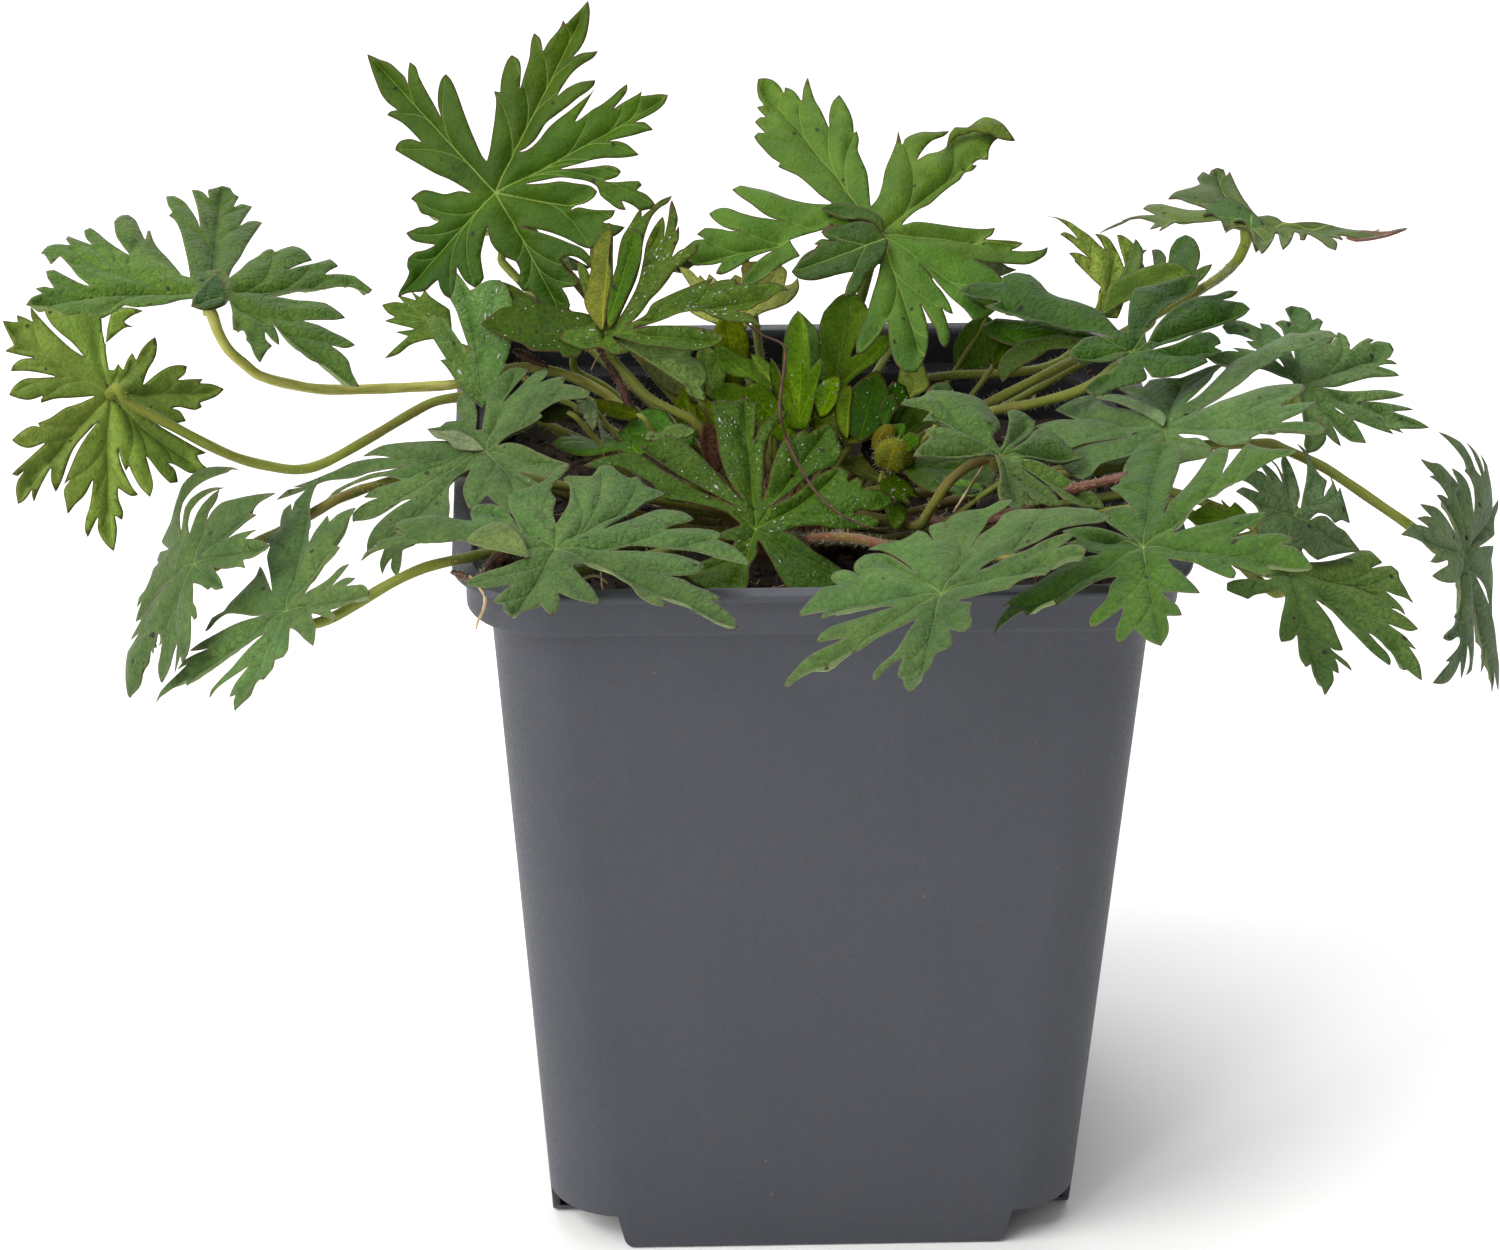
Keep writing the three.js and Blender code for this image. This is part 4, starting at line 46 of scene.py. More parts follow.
# ------------------------------------------------------------------ measured shapes (mm)
# Each blade: where its stalk joins, the upper side's normal and first axis there, how it droops, and its outline
# in that plane. Tags along the outline: T lobe tip, t tooth, N notch.
LEAVES = [
    {"name": "leaf_01_tall_left", "key": "L1", "seed": 1, "at": (-39.73, 22.31, 124.18), "facing": (-0.2828, -0.8212, 0.4956), "across": (0.959, -0.2508, 0.1316), "span": 16, "droop": 0.086, "foot": (0, 0),
     "look": {"mat": "upper", "tint": [0.0266, 0.0667, 0.001], "wet": 0.0, "warm": [0.1, 0.3, 0.6], "light_grade": [0.1, 1, 0.75, 0.42, 0.2]}, "relief": 1.0,
     "tags": "N.....t.......t......T......t........t......N....t....t......t......t...T.......t.......t.........N........t.........t......t...T......t.......t..........t......t...t....t........N....t.......T...t...t....N.....t......t...t.T....t..t...N......t.....t......T....t.....t.......t.....",
     "outline": [-3.1, 0.03, -4.06, 0.73, -5.97, 1.89, -7.89, 2.78, -10.1, 4.1, -11.77, 5.12, -13.59, 6.29, -13.32, 7.07, -12.64, 7.56, -11.26, 7.6, -10.01, 7.13, -11.28, 8.53, -12.68, 9.82, -13.95, 10.56, -14.79, 11.01, -14.24, 11.51, -13.41, 11.59, -14.68, 12.6, -15.68, 13.87, -16.42, 15.52, -17.16, 17.44, -17.77, 19.36, -16.08, 18.58, -14.54, 17.94, -13.41, 16.93, -12.41, 15.93, -11.98, 14.96, -12.02, 16.57, -11.78, 17.89, -10.93, 17.17, -10.49, 15.94, -9.47, 14, -8.33, 12.07, -7.33, 10.28, -7.78, 11.9, -7.82, 13.64, -7.45, 15.21, -6.79, 15.97, -5.94, 14.99, -5.08, 13.07, -4.21, 10.76, -3.35, 8.59, -2.5, 6.7, -1.67, 4.94, -0.98, 4.11, -0.6, 5.54, -0.23, 8.16, 0, 10.13, 0.09, 12.11, -0.21, 13.32, 0.61, 13.15, 0.7, 14.74, 1.07, 16.31, 1.58, 17.48, 2.1, 17.99, 3.06, 17.27, 3.36, 15.92, 3.28, 13.4, 3.78, 15.24, 4.4, 17.46, 4.61, 19.59, 4.98, 20.77, 5.8, 20.05, 6.1, 18.97, 6.25, 18.3, 7.02, 19.59, 7.93, 20.61, 8.57, 21.51, 8.82, 22.3, 9.23, 21.74, 10.01, 22.5, 11.05, 23.51, 12.09, 24.66, 12.38, 23.18, 12.17, 20.79, 11.8, 19.48, 11.16, 18.32, 10.26, 17.3, 11.44, 17.77, 12.5, 17.85, 13.55, 17.93, 12.91, 17.04, 11.6, 16.3, 10.3, 15.31, 9.14, 13.77, 8.24, 12.23, 9.54, 13.22, 11.25, 13.94, 13.23, 14.11, 13.11, 13.46, 12.33, 12.7, 11.02, 11.83, 9.59, 10.71, 8.02, 9.6, 6.84, 8.73, 6.19, 7.71, 5.41, 6.56, 4.23, 5.56, 3.3, 5.08, 4.36, 5.29, 5.68, 6.28, 6.59, 7.42, 7.24, 8.18, 8.29, 9.06, 9.86, 10.17, 11.3, 11.29, 12.6, 12.29, 13.24, 13.05, 12.6, 11.89, 11.96, 10.74, 11.19, 9.58, 10.68, 8.69, 11.72, 9.3, 12.89, 10.17, 14.2, 10.9, 15.37, 11.77, 16.53, 12.78, 17.44, 13.4, 17.46, 12.47, 16.56, 11.2, 15.65, 10.18, 16.82, 10.92, 17.99, 11.53, 18.9, 12.02, 19.42, 12.39, 19.3, 11.74, 20.47, 11.82, 21.78, 11.9, 22.82, 11.72, 22.44, 10.69, 21.54, 9.81, 20.5, 9.2, 18.68, 8.35, 19.73, 8.31, 20.51, 7.75, 20.91, 7.22, 19.87, 6.99, 18.57, 6.65, 16.87, 6.33, 15.17, 6, 16.35, 5.96, 17.53, 5.52, 18.45, 4.7, 19.11, 4.02, 17.94, 3.8, 16.37, 3.73, 14.67, 3.8, 12.97, 3.61, 11.13, 3.16, 8.76, 2.61, 10.74, 2.65, 12.71, 2.7, 14.94, 2.88, 16.12, 2.57, 16.77, 2.02, 16.38, 1.39, 15.47, 1.03, 14.56, 0.81, 15.99, 0.62, 17.95, 0.68, 19.12, 0.64, 19.52, 0.1, 18.87, -0.52, 20.04, -1.09, 20.95, -2.03, 21.34, -2.69, 20.56, -3.05, 19.26, -3.26, 18.22, -2.45, 16.91, -1.88, 17.44, -3.06, 16.39, -2.9, 15.09, -1.94, 14.04, -0.99, 13.64, 0.06, 12.46, 0.82, 10.75, 1.22, 8.77, 1.5, 6.79, 1.25, 4.14, 0.85, 6.79, 0.86, 8.78, 1.04, 10.75, 0.7, 12.72, 0.29, 13.64, -0.46, 13.25, -1.22, 12.07, -1.96, 10.76, -2.29, 10.1, -2.79, 11.16, -2.44, 12.73, -2.76, 14.69, -2.96, 16, -3.01, 15.61, -3.9, 14.43, -4.51, 15.61, -4.81, 17.3, -5.26, 16.39, -6.13, 14.82, -6.85, 13.77, -7.59, 12.72, -7.93, 11.41, -7.5, 10.23, -6.81, 8.78, -6.1, 6.8, -5.38, 3.49, -4.59, 6.54, -5.62, 8.52, -6.35, 10.1, -7.06, 11.67, -7.77, 12.71, -8.97, 13.22, -10.92, 12.18, -9.85, 11.14, -9.04, 9.82, -8.73, 8.77, -9.2, 9.42, -10.39, 10.72, -11.47, 11.37, -12.52, 10.05, -12.73, 9, -12.82, 9.65, -13.87, 10.03, -15.04, 9.62, -16.18, 8.95, -17.18, 8.03, -16.64, 7.12, -15.7, 6.07, -14.5, 4.89, -13.04, 3.83, -13, 3.04, -11.94, 3.45, -10.53, 2.93, -9.22, 1.47, -8.51, 0.27, -7.55, -0.53, -6.22, -0.8, -4.26, -1.07, -5.16, -1.48, -6.82, -1.75, -8.11, -1.63, -9.41, -1.37, -11.1, -2.05, -11.97, -2.59, -12.33, -3.8, -11.5, -4.47, -10.56, -5, -9.5, -5.02, -10.93, -5.3, -12.46, -5.72, -13.61, -6.66, -13.17, -7.34, -12.11, -7.6, -11.06, -8.42, -11.66, -9.38, -12.39, -11.71, -12.53, -13.09, -12.98, -12.81, -12.09, -12.12, -11.09, -11.56, -9.82, -11.83, -9.15, -11.69, -7.99, -10.73, -7.26, -9.36, -7.07, -7.99, -6.49, -9.77, -6.14, -11.14, -5.67, -11.97, -4.71, -11.14, -4.37, -10.04, -4.04, -8.67, -3.98, -7.17, -3.28, -8.67, -2.68, -9.91, -2.22, -10.6, -0.87, -11.3, -0.3, -10.61, 0.31, -9.52, 0.78, -8.42, 0.58, -6.64, 0.09, -4.6, 0.37]},
    {"name": "leaf_02_tall_centre", "key": "L2", "seed": 2, "at": (9.88, 15.83, 120.62), "facing": (0.187, -0.4751, 0.8598), "across": (0.9818, 0.0608, -0.1799), "span": 18.8, "droop": 0.13, "foot": (0, 0),
     "look": {"mat": "upper", "tint": [0.0569, 0.125, 0.0114], "wet": 0.0, "light_grade": [-0.1, 1, 0.45, 0.28, 0.1]}, "relief": 1.0,
     "tags": "N....t....t...t...t...T....t.....t......t....t......N.....t.....t...............T....t..t..t.....N.....t....t....T......N..t.T.....N....t.....t.......T........t.....N....T...N.....T..t...t.N........T....N....t....T.....t.......t...........t.......",
     "outline": [-6.36, 3.75, -8.03, 5.08, -9.57, 6.81, -10.85, 8.06, -12.27, 8.77, -13.43, 9.33, -13.16, 10.09, -14.19, 10.87, -15.21, 12.19, -16.1, 13.55, -16.48, 14.42, -15.95, 15.24, -15.03, 15.37, -15.67, 16.22, -16.31, 17.25, -15.63, 18.3, -14.85, 18.41, -15.61, 19.44, -15.99, 20.15, -15.06, 20.67, -15.7, 21.92, -15.92, 23.81, -15.75, 25.59, -14.82, 25.94, -13.76, 25.72, -12.86, 24.69, -12.36, 23.41, -12.2, 24.61, -11.15, 24.2, -10.39, 22.97, -10.01, 22.26, -9.81, 24.43, -9.51, 25.86, -9.07, 27.13, -8.73, 25.02, -8.27, 22.76, -7.4, 20.59, -6.56, 17.66, -6.48, 20.17, -6.01, 22.59, -5.02, 24.35, -4.26, 22.93, -3.65, 21.29, -3.31, 19.43, -3.25, 17.33, -2.84, 17.79, -2.62, 16.12, -2.82, 14.19, -2.34, 12.41, -1.74, 10.3, -1.54, 7.97, -1.47, 5.65, -1.37, 4.25, -0.4, 6.03, 0.19, 8.31, 0.67, 11.15, 1.58, 14.14, 2.35, 16.77, 2.7, 18.96, 3.14, 16.38, 3.59, 17.62, 4.58, 18.62, 5.97, 19.52, 7.75, 19.95, 9.69, 20.63, 8.95, 19.48, 7.26, 18.11, 6.1, 16.3, 5.06, 13.98, 6.61, 15.48, 7.99, 16.19, 9.13, 17.42, 9.76, 19.3, 10.52, 20.84, 12.36, 22.09, 13.82, 23.84, 14.83, 24.69, 16.21, 24.68, 17.28, 24, 18.17, 22.5, 18.78, 21.13, 17.82, 21.25, 16.57, 21.1, 15.68, 19.9, 15.04, 18.2, 14.82, 16.44, 13.57, 16.11, 12.56, 14.9, 13.24, 14.89, 12.51, 13.77, 11.53, 13.14, 10.78, 11.66, 9.36, 10.01, 7.94, 8.21, 6.53, 6.26, 4.88, 4.82, 3.5, 3.11, 2.67, 1.72, 4.42, 2.61, 6.43, 2.88, 9.12, 2.99, 11.83, 3.3, 13.87, 3.65, 15.25, 4.18, 14.79, 2.84, 13.81, 1.89, 15.86, 2.25, 17.92, 2.62, 19.01, 2.56, 18.29, 1.68, 17.31, 0.9, 19.23, 1.24, 21.31, 1.97, 22.44, 2.8, 22.11, 1.5, 20.97, 0.16, 19.57, -0.89, 17.78, -1.36, 15.73, -1.72, 13.7, -2.06, 12.22, -1.92, 14.09, -2.63, 15.41, -3.64, 16.18, -5.11, 15.6, -7.23, 15.01, -9.64, 13.51, -11.27, 12.03, -12.07, 10.85, -10.58, 8.88, -8.93, 6.91, -6.6, 4.96, -4.06, 6, -5.49, 6.91, -7.09, 7.95, -8.48, 8.73, -9.92, 9.25, -11.57, 8.19, -11.31, 7.8, -10.92, 8.31, -12.39, 8.7, -14.2, 8.82, -15.74, 8.16, -17.11, 7.5, -16.31, 6.98, -14.55, 6.2, -13.13, 5.02, -10.84, 5.54, -12.48, 5.93, -14.44, 5.93, -17.08, 5.53, -19.15, 4.49, -21.47, 2.94, -21.75, 1.89, -20.86, 1.11, -18.71, 0.57, -14.48, -0.07, -16.14, -0.97, -17.83, -2.25, -19.56, -3.28, -20.18, -3.42, -18.67, -2.92, -16.29, -2.16, -13.84, -1.39, -10.57, -0.6, -7.24, -0.19, -4.39, -1.38, -6.24, -2.29, -7.52, -2.94, -9.23, -3.59, -10.45, -4.88, -11.28, -4.76, -9.99, -4.24, -8.32, -3.59, -6.92, -2.81, -5.5, -4.24, -6.7, -5.79, -7.91, -7.47, -8.79, -9.14, -9.18, -10.68, -8.73, -11.33, -7.69, -10.69, -6.14, -9.66, -4.86, -7.86, -3.62, -8.89, -3.43, -7.85, -2.46, -6.82, -2.48, -7.97, -1.3, -7.06, -0.32, -5.76, 0.05, -8.75, -1.41, -11.98, -3.17, -10.69, -5.65, -11.33, -6.06, -12.99, -7.4, -14.26, -8.69, -15.53, -10.12, -16.79, -10.9, -18.18, -11.37, -17.82, -10.05, -17.32, -8.71, -16.31, -7.3, -15.17, -6.03, -14.15, -5.09, -16.45, -6.33, -18.09, -7.82, -19.35, -8.92, -20.61, -9.7, -21.38, -9.62, -21.13, -8.78, -20.64, -7.76, -21.52, -8.17, -23.42, -8.52, -24.94, -8.18, -25.71, -7.44, -25.97, -6.64, -24.98, -5.39, -24.1, -4.48, -22.83, -4.19, -23.85, -3.46, -22.85, -2.35, -20.94, -2.33, -19.66, -2.53, -18.38, -2.4, -19.4, -2.34, -20.68, -1.8, -21.71, -0.89, -22.35, 0.06, -21.59, 0.82, -20.69, 1.26, -19.67, 1.19, -18.39, 0.65, -16.47, 0.18, -14.54, 0.06, -12.61, -0.05, -14.28, 0.26, -15.57, 0.96, -17.1, 2.34, -18.39, 3.4, -19.41, 4.51, -18.38, 5.33, -17.09, 5.13, -15.16, 4.83, -13.87, 4.46, -12.59, 3.92, -10.65, 3.48, -8.71, 3.4]},
    {"name": "leaf_03_back_right", "key": "L3", "seed": 3, "at": (54.76, 2, 126.69), "facing": (0.0186, -0.0654, 0.9977), "across": (0.999, -0.0391, -0.0212), "span": 13.4, "droop": 0.01, "foot": (0, 0),
     "look": {"mat": "upper", "tint": [0.0507, 0.0879, 0.0188], "wet": 0.0, "warm": [0.05, 0.2, 0.5], "hairs": 5.0, "light_grade": [-1, 0, 0.1, 0.1, 0.1]}, "relief": 1.0,
     "tags": "N..t..T...t....t...N....t....t...T....t.t....N.T.N...T..N..T.N..t...T.Nt......T...t...........N.",
     "outline": [0.5, 5.73, 0.13, 7.32, -0.33, 10.86, -0.81, 15.78, -1.44, 14.41, -1.53, 16.4, -2.38, 17.01, -3.24, 15.96, -3.6, 14.61, -4.3, 15.56, -5.23, 13.52, -5, 11.56, -5.97, 10.53, -7.04, 9.82, -8.39, 8.77, -9.45, 6.46, -8.18, 6.52, -6.98, 5.62, -5.81, 4.41, -4.64, 3.2, -6.92, 3.08, -8.75, 3.94, -10.58, 4.8, -12.13, 4.41, -12.85, 3.1, -11.8, 1.89, -11.09, 1.29, -13.38, 0.87, -14.68, 0.19, -15.75, -0.8, -14.72, -0.44, -16.08, -2.06, -17.41, -3.36, -18.74, -4.65, -17.1, -2.41, -15.37, -0.78, -13.44, -0.07, -11.64, -1.24, -12.4, -3.13, -10.83, -2.13, -11.31, -3.7, -10.22, -2.41, -9.13, -1.12, -7.21, -0.71, -4.67, -0.27, -2.12, 0.19, -2.4, -1.7, -3.09, -3.9, -1.83, -2.29, -0.39, -1.58, 0.11, -3.1, 0.31, -6.46, 0.65, -8.26, 0.99, -10.04, 1.9, -8.18, 2.93, -5.07, 3.38, -2.89, 3.58, -3.5, 3.57, -6.25, 3.72, -8.67, 4.8, -6.48, 5.74, -3.04, 6.19, -3.63, 6.14, -5.47, 6.77, -5.43, 7.32, -3.55, 8.62, -5.6, 9.41, -7.68, 10.32, -8.52, 10.7, -6.06, 10, -4.28, 11.51, -5.39, 11.29, -3.87, 12.49, -4.4, 14.32, -4.88, 15.99, -4.44, 17.64, -3.08, 19.04, -1.73, 20.17, -0.71, 18.45, -1.47, 16.95, -2.52, 16.06, -2.58, 16.58, -1.3, 15.88, -1.98, 14.23, -2.11, 12.75, -1.91, 11.55, -1.38, 10.38, -0.53, 8.57, 0.27, 6.67, 0.13, 5.63, -0.26, 4.52, -0.02, 3.78, 1.5, 2.83, 2.07, 1.53, 1.67, 0.94, 3.53]},
    {"name": "leaf_04_far_left", "key": "L4", "seed": 4, "at": (-74.12, -10, 122.99), "facing": (0.2164, -0.1451, 0.9655), "across": (0.9755, -0.008, -0.2199), "span": 19.3, "droop": 0.126, "foot": (0, 0),
     "look": {"mat": "outer", "tint": [0.0489, 0.1039, 0.0072], "wet": 0.0, "warm": [0, 0.12, 0.5], "hairs": 5.0, "pale": 0.85, "light_grade": [0, 1, 0.12, 0.1, 0]}, "relief": 1.0,
     "tags": "N......t......T..t..t........t.T...t....t......t.....t......N....t..t.......t......T..t...t....t....N....t.....t......t...t.T........N.....t......t.....T........N..t...t..T......t..N...T...t.....",
     "outline": [-1.78, -2.22, -3.63, -3.4, -5.32, -4.95, -7.04, -5.99, -8.79, -6.77, -10.02, -6.67, -11.34, -8.92, -12.27, -10.32, -13.61, -10.24, -15.06, -10.17, -16.76, -11.06, -18.09, -10.02, -19.45, -9.67, -20.91, -9.56, -21.61, -9.72, -21.14, -7.73, -20.08, -6.52, -20.93, -5.52, -20.04, -4.82, -18.81, -5, -19.8, -2.79, -20.24, -1.14, -19.32, -0.66, -17.74, -1.76, -15.63, -3.19, -14.63, -3.41, -16.32, -1.38, -17.84, 1.28, -19.01, 3.06, -19.85, 0.74, -20.97, 3.07, -21.35, 3.23, -20.73, 5.28, -19.6, 6.13, -18.14, 6.27, -18.79, 7.75, -18.64, 8.63, -17.33, 7.9, -15.52, 7.05, -16.43, 8.74, -16.87, 10.6, -16.24, 11.67, -15.13, 10.58, -13.42, 8.28, -10.68, 5.56, -11.92, 8.21, -12.91, 10.74, -13.51, 14.39, -12.95, 16.42, -12.01, 17.09, -11.03, 15.93, -10.16, 13.22, -9.29, 10.58, -9.26, 12.97, -8.92, 13.4, -8.33, 10.95, -7.52, 8.93, -6.07, 6.66, -4.58, 3.93, -3.98, 2.83, -2.98, 2.69, -3.57, 6.53, -4.46, 11.05, -5.31, 15.21, -6.31, 18.2, -7.02, 19.16, -6.73, 20.25, -7.4, 22.21, -7.85, 24.64, -6.89, 25.41, -5.66, 24.34, -4.6, 22.21, -3.47, 19.2, -2.92, 16.93, -3.54, 21.75, -4.2, 25.38, -4.82, 28.44, -4.08, 28.81, -3.26, 28.21, -2.52, 26.9, -2.83, 29.45, -2.36, 30.04, -1.88, 30.63, -1.18, 31.69, -0.13, 31.57, 0.5, 29.86, 1.19, 29.21, 0.93, 27.37, 0.79, 25.62, 1.72, 27.13, 3.03, 26.85, 2.48, 23.55, 1.95, 20.02, 2.86, 21.79, 3.7, 22.59, 4.62, 22.44, 3.95, 18.86, 3.22, 14.72, 2.64, 10.52, 2, 7.33, 1.74, 4.44, 2.9, 7.2, 3.7, 9.89, 4.8, 12.23, 5.66, 14.51, 6.38, 15.21, 6.81, 14.53, 7.61, 15.9, 8.8, 17.51, 9.83, 17.49, 10.79, 16.52, 11.54, 14.84, 10.7, 13.75, 9.54, 11.89, 8.51, 10.15, 10.16, 12.25, 11.96, 14.19, 13.76, 16.48, 14.88, 15.05, 13.95, 13.3, 13.4, 11.8, 15.26, 12.92, 17.04, 13.42, 18.13, 12.35, 19.51, 10.91, 19.07, 9.51, 17.36, 10.16, 16.08, 9.96, 14.24, 8.59, 12.41, 7.25, 10.57, 6.22, 8.77, 4.7, 7.03, 2.72, 6.12, 1.49, 8.3, 2.58, 10.3, 2.85, 12.03, 3.52, 13.9, 4.03, 15.23, 3.19, 16.62, 1.63, 15.42, 0.45, 13.59, -0.54, 11.41, -1.69, 13.44, -1.87, 15.27, -2.63, 16.95, -3.2, 18.29, -4.19, 17.12, -5.52, 15.25, -5.78, 16.59, -6.75, 17.69, -8.05, 18.38, -10.47, 19.46, -13.09, 18.36, -13.4, 17.04, -12.48, 15.7, -11.33, 14.65, -10.71, 13.11, -10.3, 11.77, -9.12, 10.38, -7.47, 8.98, -5.78, 7.85, -4.17, 8.47, -5.55, 9.02, -7.64, 9.12, -8.74, 8.18, -8.02, 7.19, -6.61, 7.47, -8.34, 8.3, -9.34, 7.9, -10.42, 7.55, -11.91, 7.21, -13.59, 6.34, -12.2, 5.66, -10.25, 5.08, -9.36, 5, -8.49, 4.52, -7.31, 3.92, -7.56, 3.33, -7.81, 3, -5.61, 2.83, -3.77, 2.21, -1.08, 1.84, -2.48, 0.4, -4.29, -0.79, -4.75, -2.19, -4.32, -1.92, -2.02, -1.14, 0.3, -0.18, 1.99, 0.72, 3.17, -0.26, 4.36, -0.23, 5.46, 0.47, 6.06, 1.33, 4.8, 1.83, 1.82]},
    {"name": "leaf_05_left_under", "key": "L5", "seed": 5, "at": (-88.05, 2, 104.89), "facing": (0.451, -0.6239, 0.6382), "across": (0.8921, 0.2945, -0.3426), "span": 13, "droop": -0.051, "foot": (0, 0),
     "look": {"mat": "upper", "tint": [0.137, 0.2187, 0.0365], "wet": 0.0, "warm": [0, 0.25, 0.5], "hairs": 5.0}, "relief": 1.0,
     "tags": "N...t....t......t....t..T..t...t...N........T.N..t...T......N.t..t...T...N...t...t..T...t....t...N....t..T.....t......t...t.N...t.....t..T....t......t...t...N....t....t...T....t.....t...t...",
     "outline": [-2.26, -0.78, -3.59, -1.21, -5.58, -1.8, -7.57, -2.4, -9.41, -3.37, -9.44, -2.83, -9.19, -2.36, -10.89, -3.3, -12.23, -3.48, -13.71, -3.27, -13.12, -1.9, -11.85, -0.64, -9.99, -0.06, -7.6, 0.63, -9.77, 0.68, -11.78, 0.48, -13.64, 0.04, -13.29, 1.09, -12.27, 2.02, -10.68, 2.53, -12.57, 2.5, -14.59, 2.56, -13.45, 3.66, -14.2, 4.86, -15.12, 6.56, -13.25, 6.87, -13.13, 7.04, -13.31, 7.82, -12.09, 7.7, -11.12, 7.38, -11.45, 8.27, -11.52, 9.35, -9.94, 7.94, -8.08, 6.45, -5.96, 5.01, -4.02, 4.22, -5.74, 5.75, -7.43, 6.74, -8.86, 7.92, -9.78, 9.63, -7.45, 11.29, -5.06, 12.12, -2.58, 11.59, -2.09, 10.32, -1.83, 8.44, -1.48, 7.14, -1.32, 6.63, -0.43, 7.65, 1.23, 9.41, 2.29, 9.78, 1.61, 9.91, 1.05, 10.2, 2.07, 11.26, 3.5, 12.27, 2, 12.35, 0.39, 11.99, -0.65, 11.2, -1.07, 9.31, -1.22, 7.2, -1.12, 5.56, -0.58, 3.2, 0.09, 3.34, 0.58, 4.28, 1.3, 3.61, 1.76, 5.09, 2.37, 6.2, 2.96, 5.36, 3.55, 6.87, 4.43, 8.17, 5.33, 9.06, 5.66, 8.02, 5.49, 6.18, 4.64, 4.33, 4.08, 2.13, 5.62, 3.85, 7.3, 5.32, 8.63, 5.88, 9.84, 5.99, 9.63, 4.83, 8.73, 3.81, 10.34, 4.28, 12.09, 4.65, 11.71, 4.01, 13.33, 4.21, 14.98, 3.84, 14.08, 2.68, 12.5, 1.66, 11.84, 1.25, 12.13, 0.75, 11.21, 0.14, 9.18, 0.14, 8.11, -0.22, 9.2, -0.41, 10.07, -1.62, 8.61, -2.2, 6.98, -2.12, 5.2, -1.38, 2.19, -0.63, 4.55, -2.07, 6.62, -3.03, 8.67, -3.86, 10.73, -4.69, 12.92, -5.51, 11.73, -6.16, 12.44, -7.14, 13.13, -7.56, 11.94, -8.35, 10.88, -8.7, 8.83, -8, 7.89, -7.92, 8.86, -8.69, 9.31, -10.27, 8.25, -10.63, 6.87, -9.52, 5.47, -8, 4.91, -7.56, 5.52, -9.38, 5.99, -11.37, 5.64, -13.1, 4.27, -12, 3.27, -10.54, 2.7, -9.41, 2.32, -10.19, 1.74, -9.06, 1.13, -7.25, 1.61, -9.23, 2.34, -10.74, 3.2, -12.22, 4.04, -13.16, 3.11, -13.49, 2.16, -13.13, 1.34, -12.75, 1.53, -14.37, 2.12, -15.9, 2.02, -17.03, 1.07, -16.67, 1.4, -18.54, 1.1, -21.49, -0.13, -20.64, -1.11, -19.06, -1.18, -17.28, -1.79, -18.79, -2.4, -20.29, -2.83, -19.42, -2.76, -17.75, -2.3, -15.87, -2.02, -12.36, -3.01, -14.64, -4.28, -16.29, -5.16, -17.71, -5.47, -16.54, -5.82, -14.56, -5.08, -13.02, -5.85, -13.74, -5.14, -11.38, -4.18, -8.68, -2.95, -6.19, -1.69, -4.25, -2.96, -5.92, -4.6, -8.36, -5.44, -10.62, -6.14, -13.25, -6.87, -15.06, -7.59, -13.57, -7.66, -11.93, -8.52, -13.77, -9.24, -15.58, -9.71, -17.05, -10.02, -16.16, -10.05, -15.48, -10.91, -17.04, -11.8, -17.78, -12.15, -15.95, -11.95, -14.53, -11.21, -13.14, -11.97, -13.99, -12.78, -13.9, -11.77, -12.58, -10.51, -11.06, -8.61, -8.7, -10.57, -9.83, -11.9, -9.86, -13, -9.29, -11.74, -7.76, -10.45, -6.78, -9.38, -6.67, -9.67, -6.19, -8.11, -5.14, -6.18, -3.32, -4.21, -2.18]},
    {"name": "leaf_06_left_hanging", "key": "L6", "seed": 6, "at": (-77.18, -24, 93.03), "facing": (-0.7714, -0.2457, 0.587), "across": (0.6354, -0.3476, 0.6895), "span": 13.4, "droop": 0.252, "foot": (0, 0),
     "look": {"mat": "outer", "tint": [0.0493, 0.0906, 0.0198], "wet": 0.0, "warm": [0.35, 0.45, 0.6]}, "relief": 1.0,
     "tags": "N....T..t.....................T.t.....N.....T.....N....T..N.....T...t..N..t....T...t..N..T..t.N...t....t..t....T....t...t..t.T......t...",
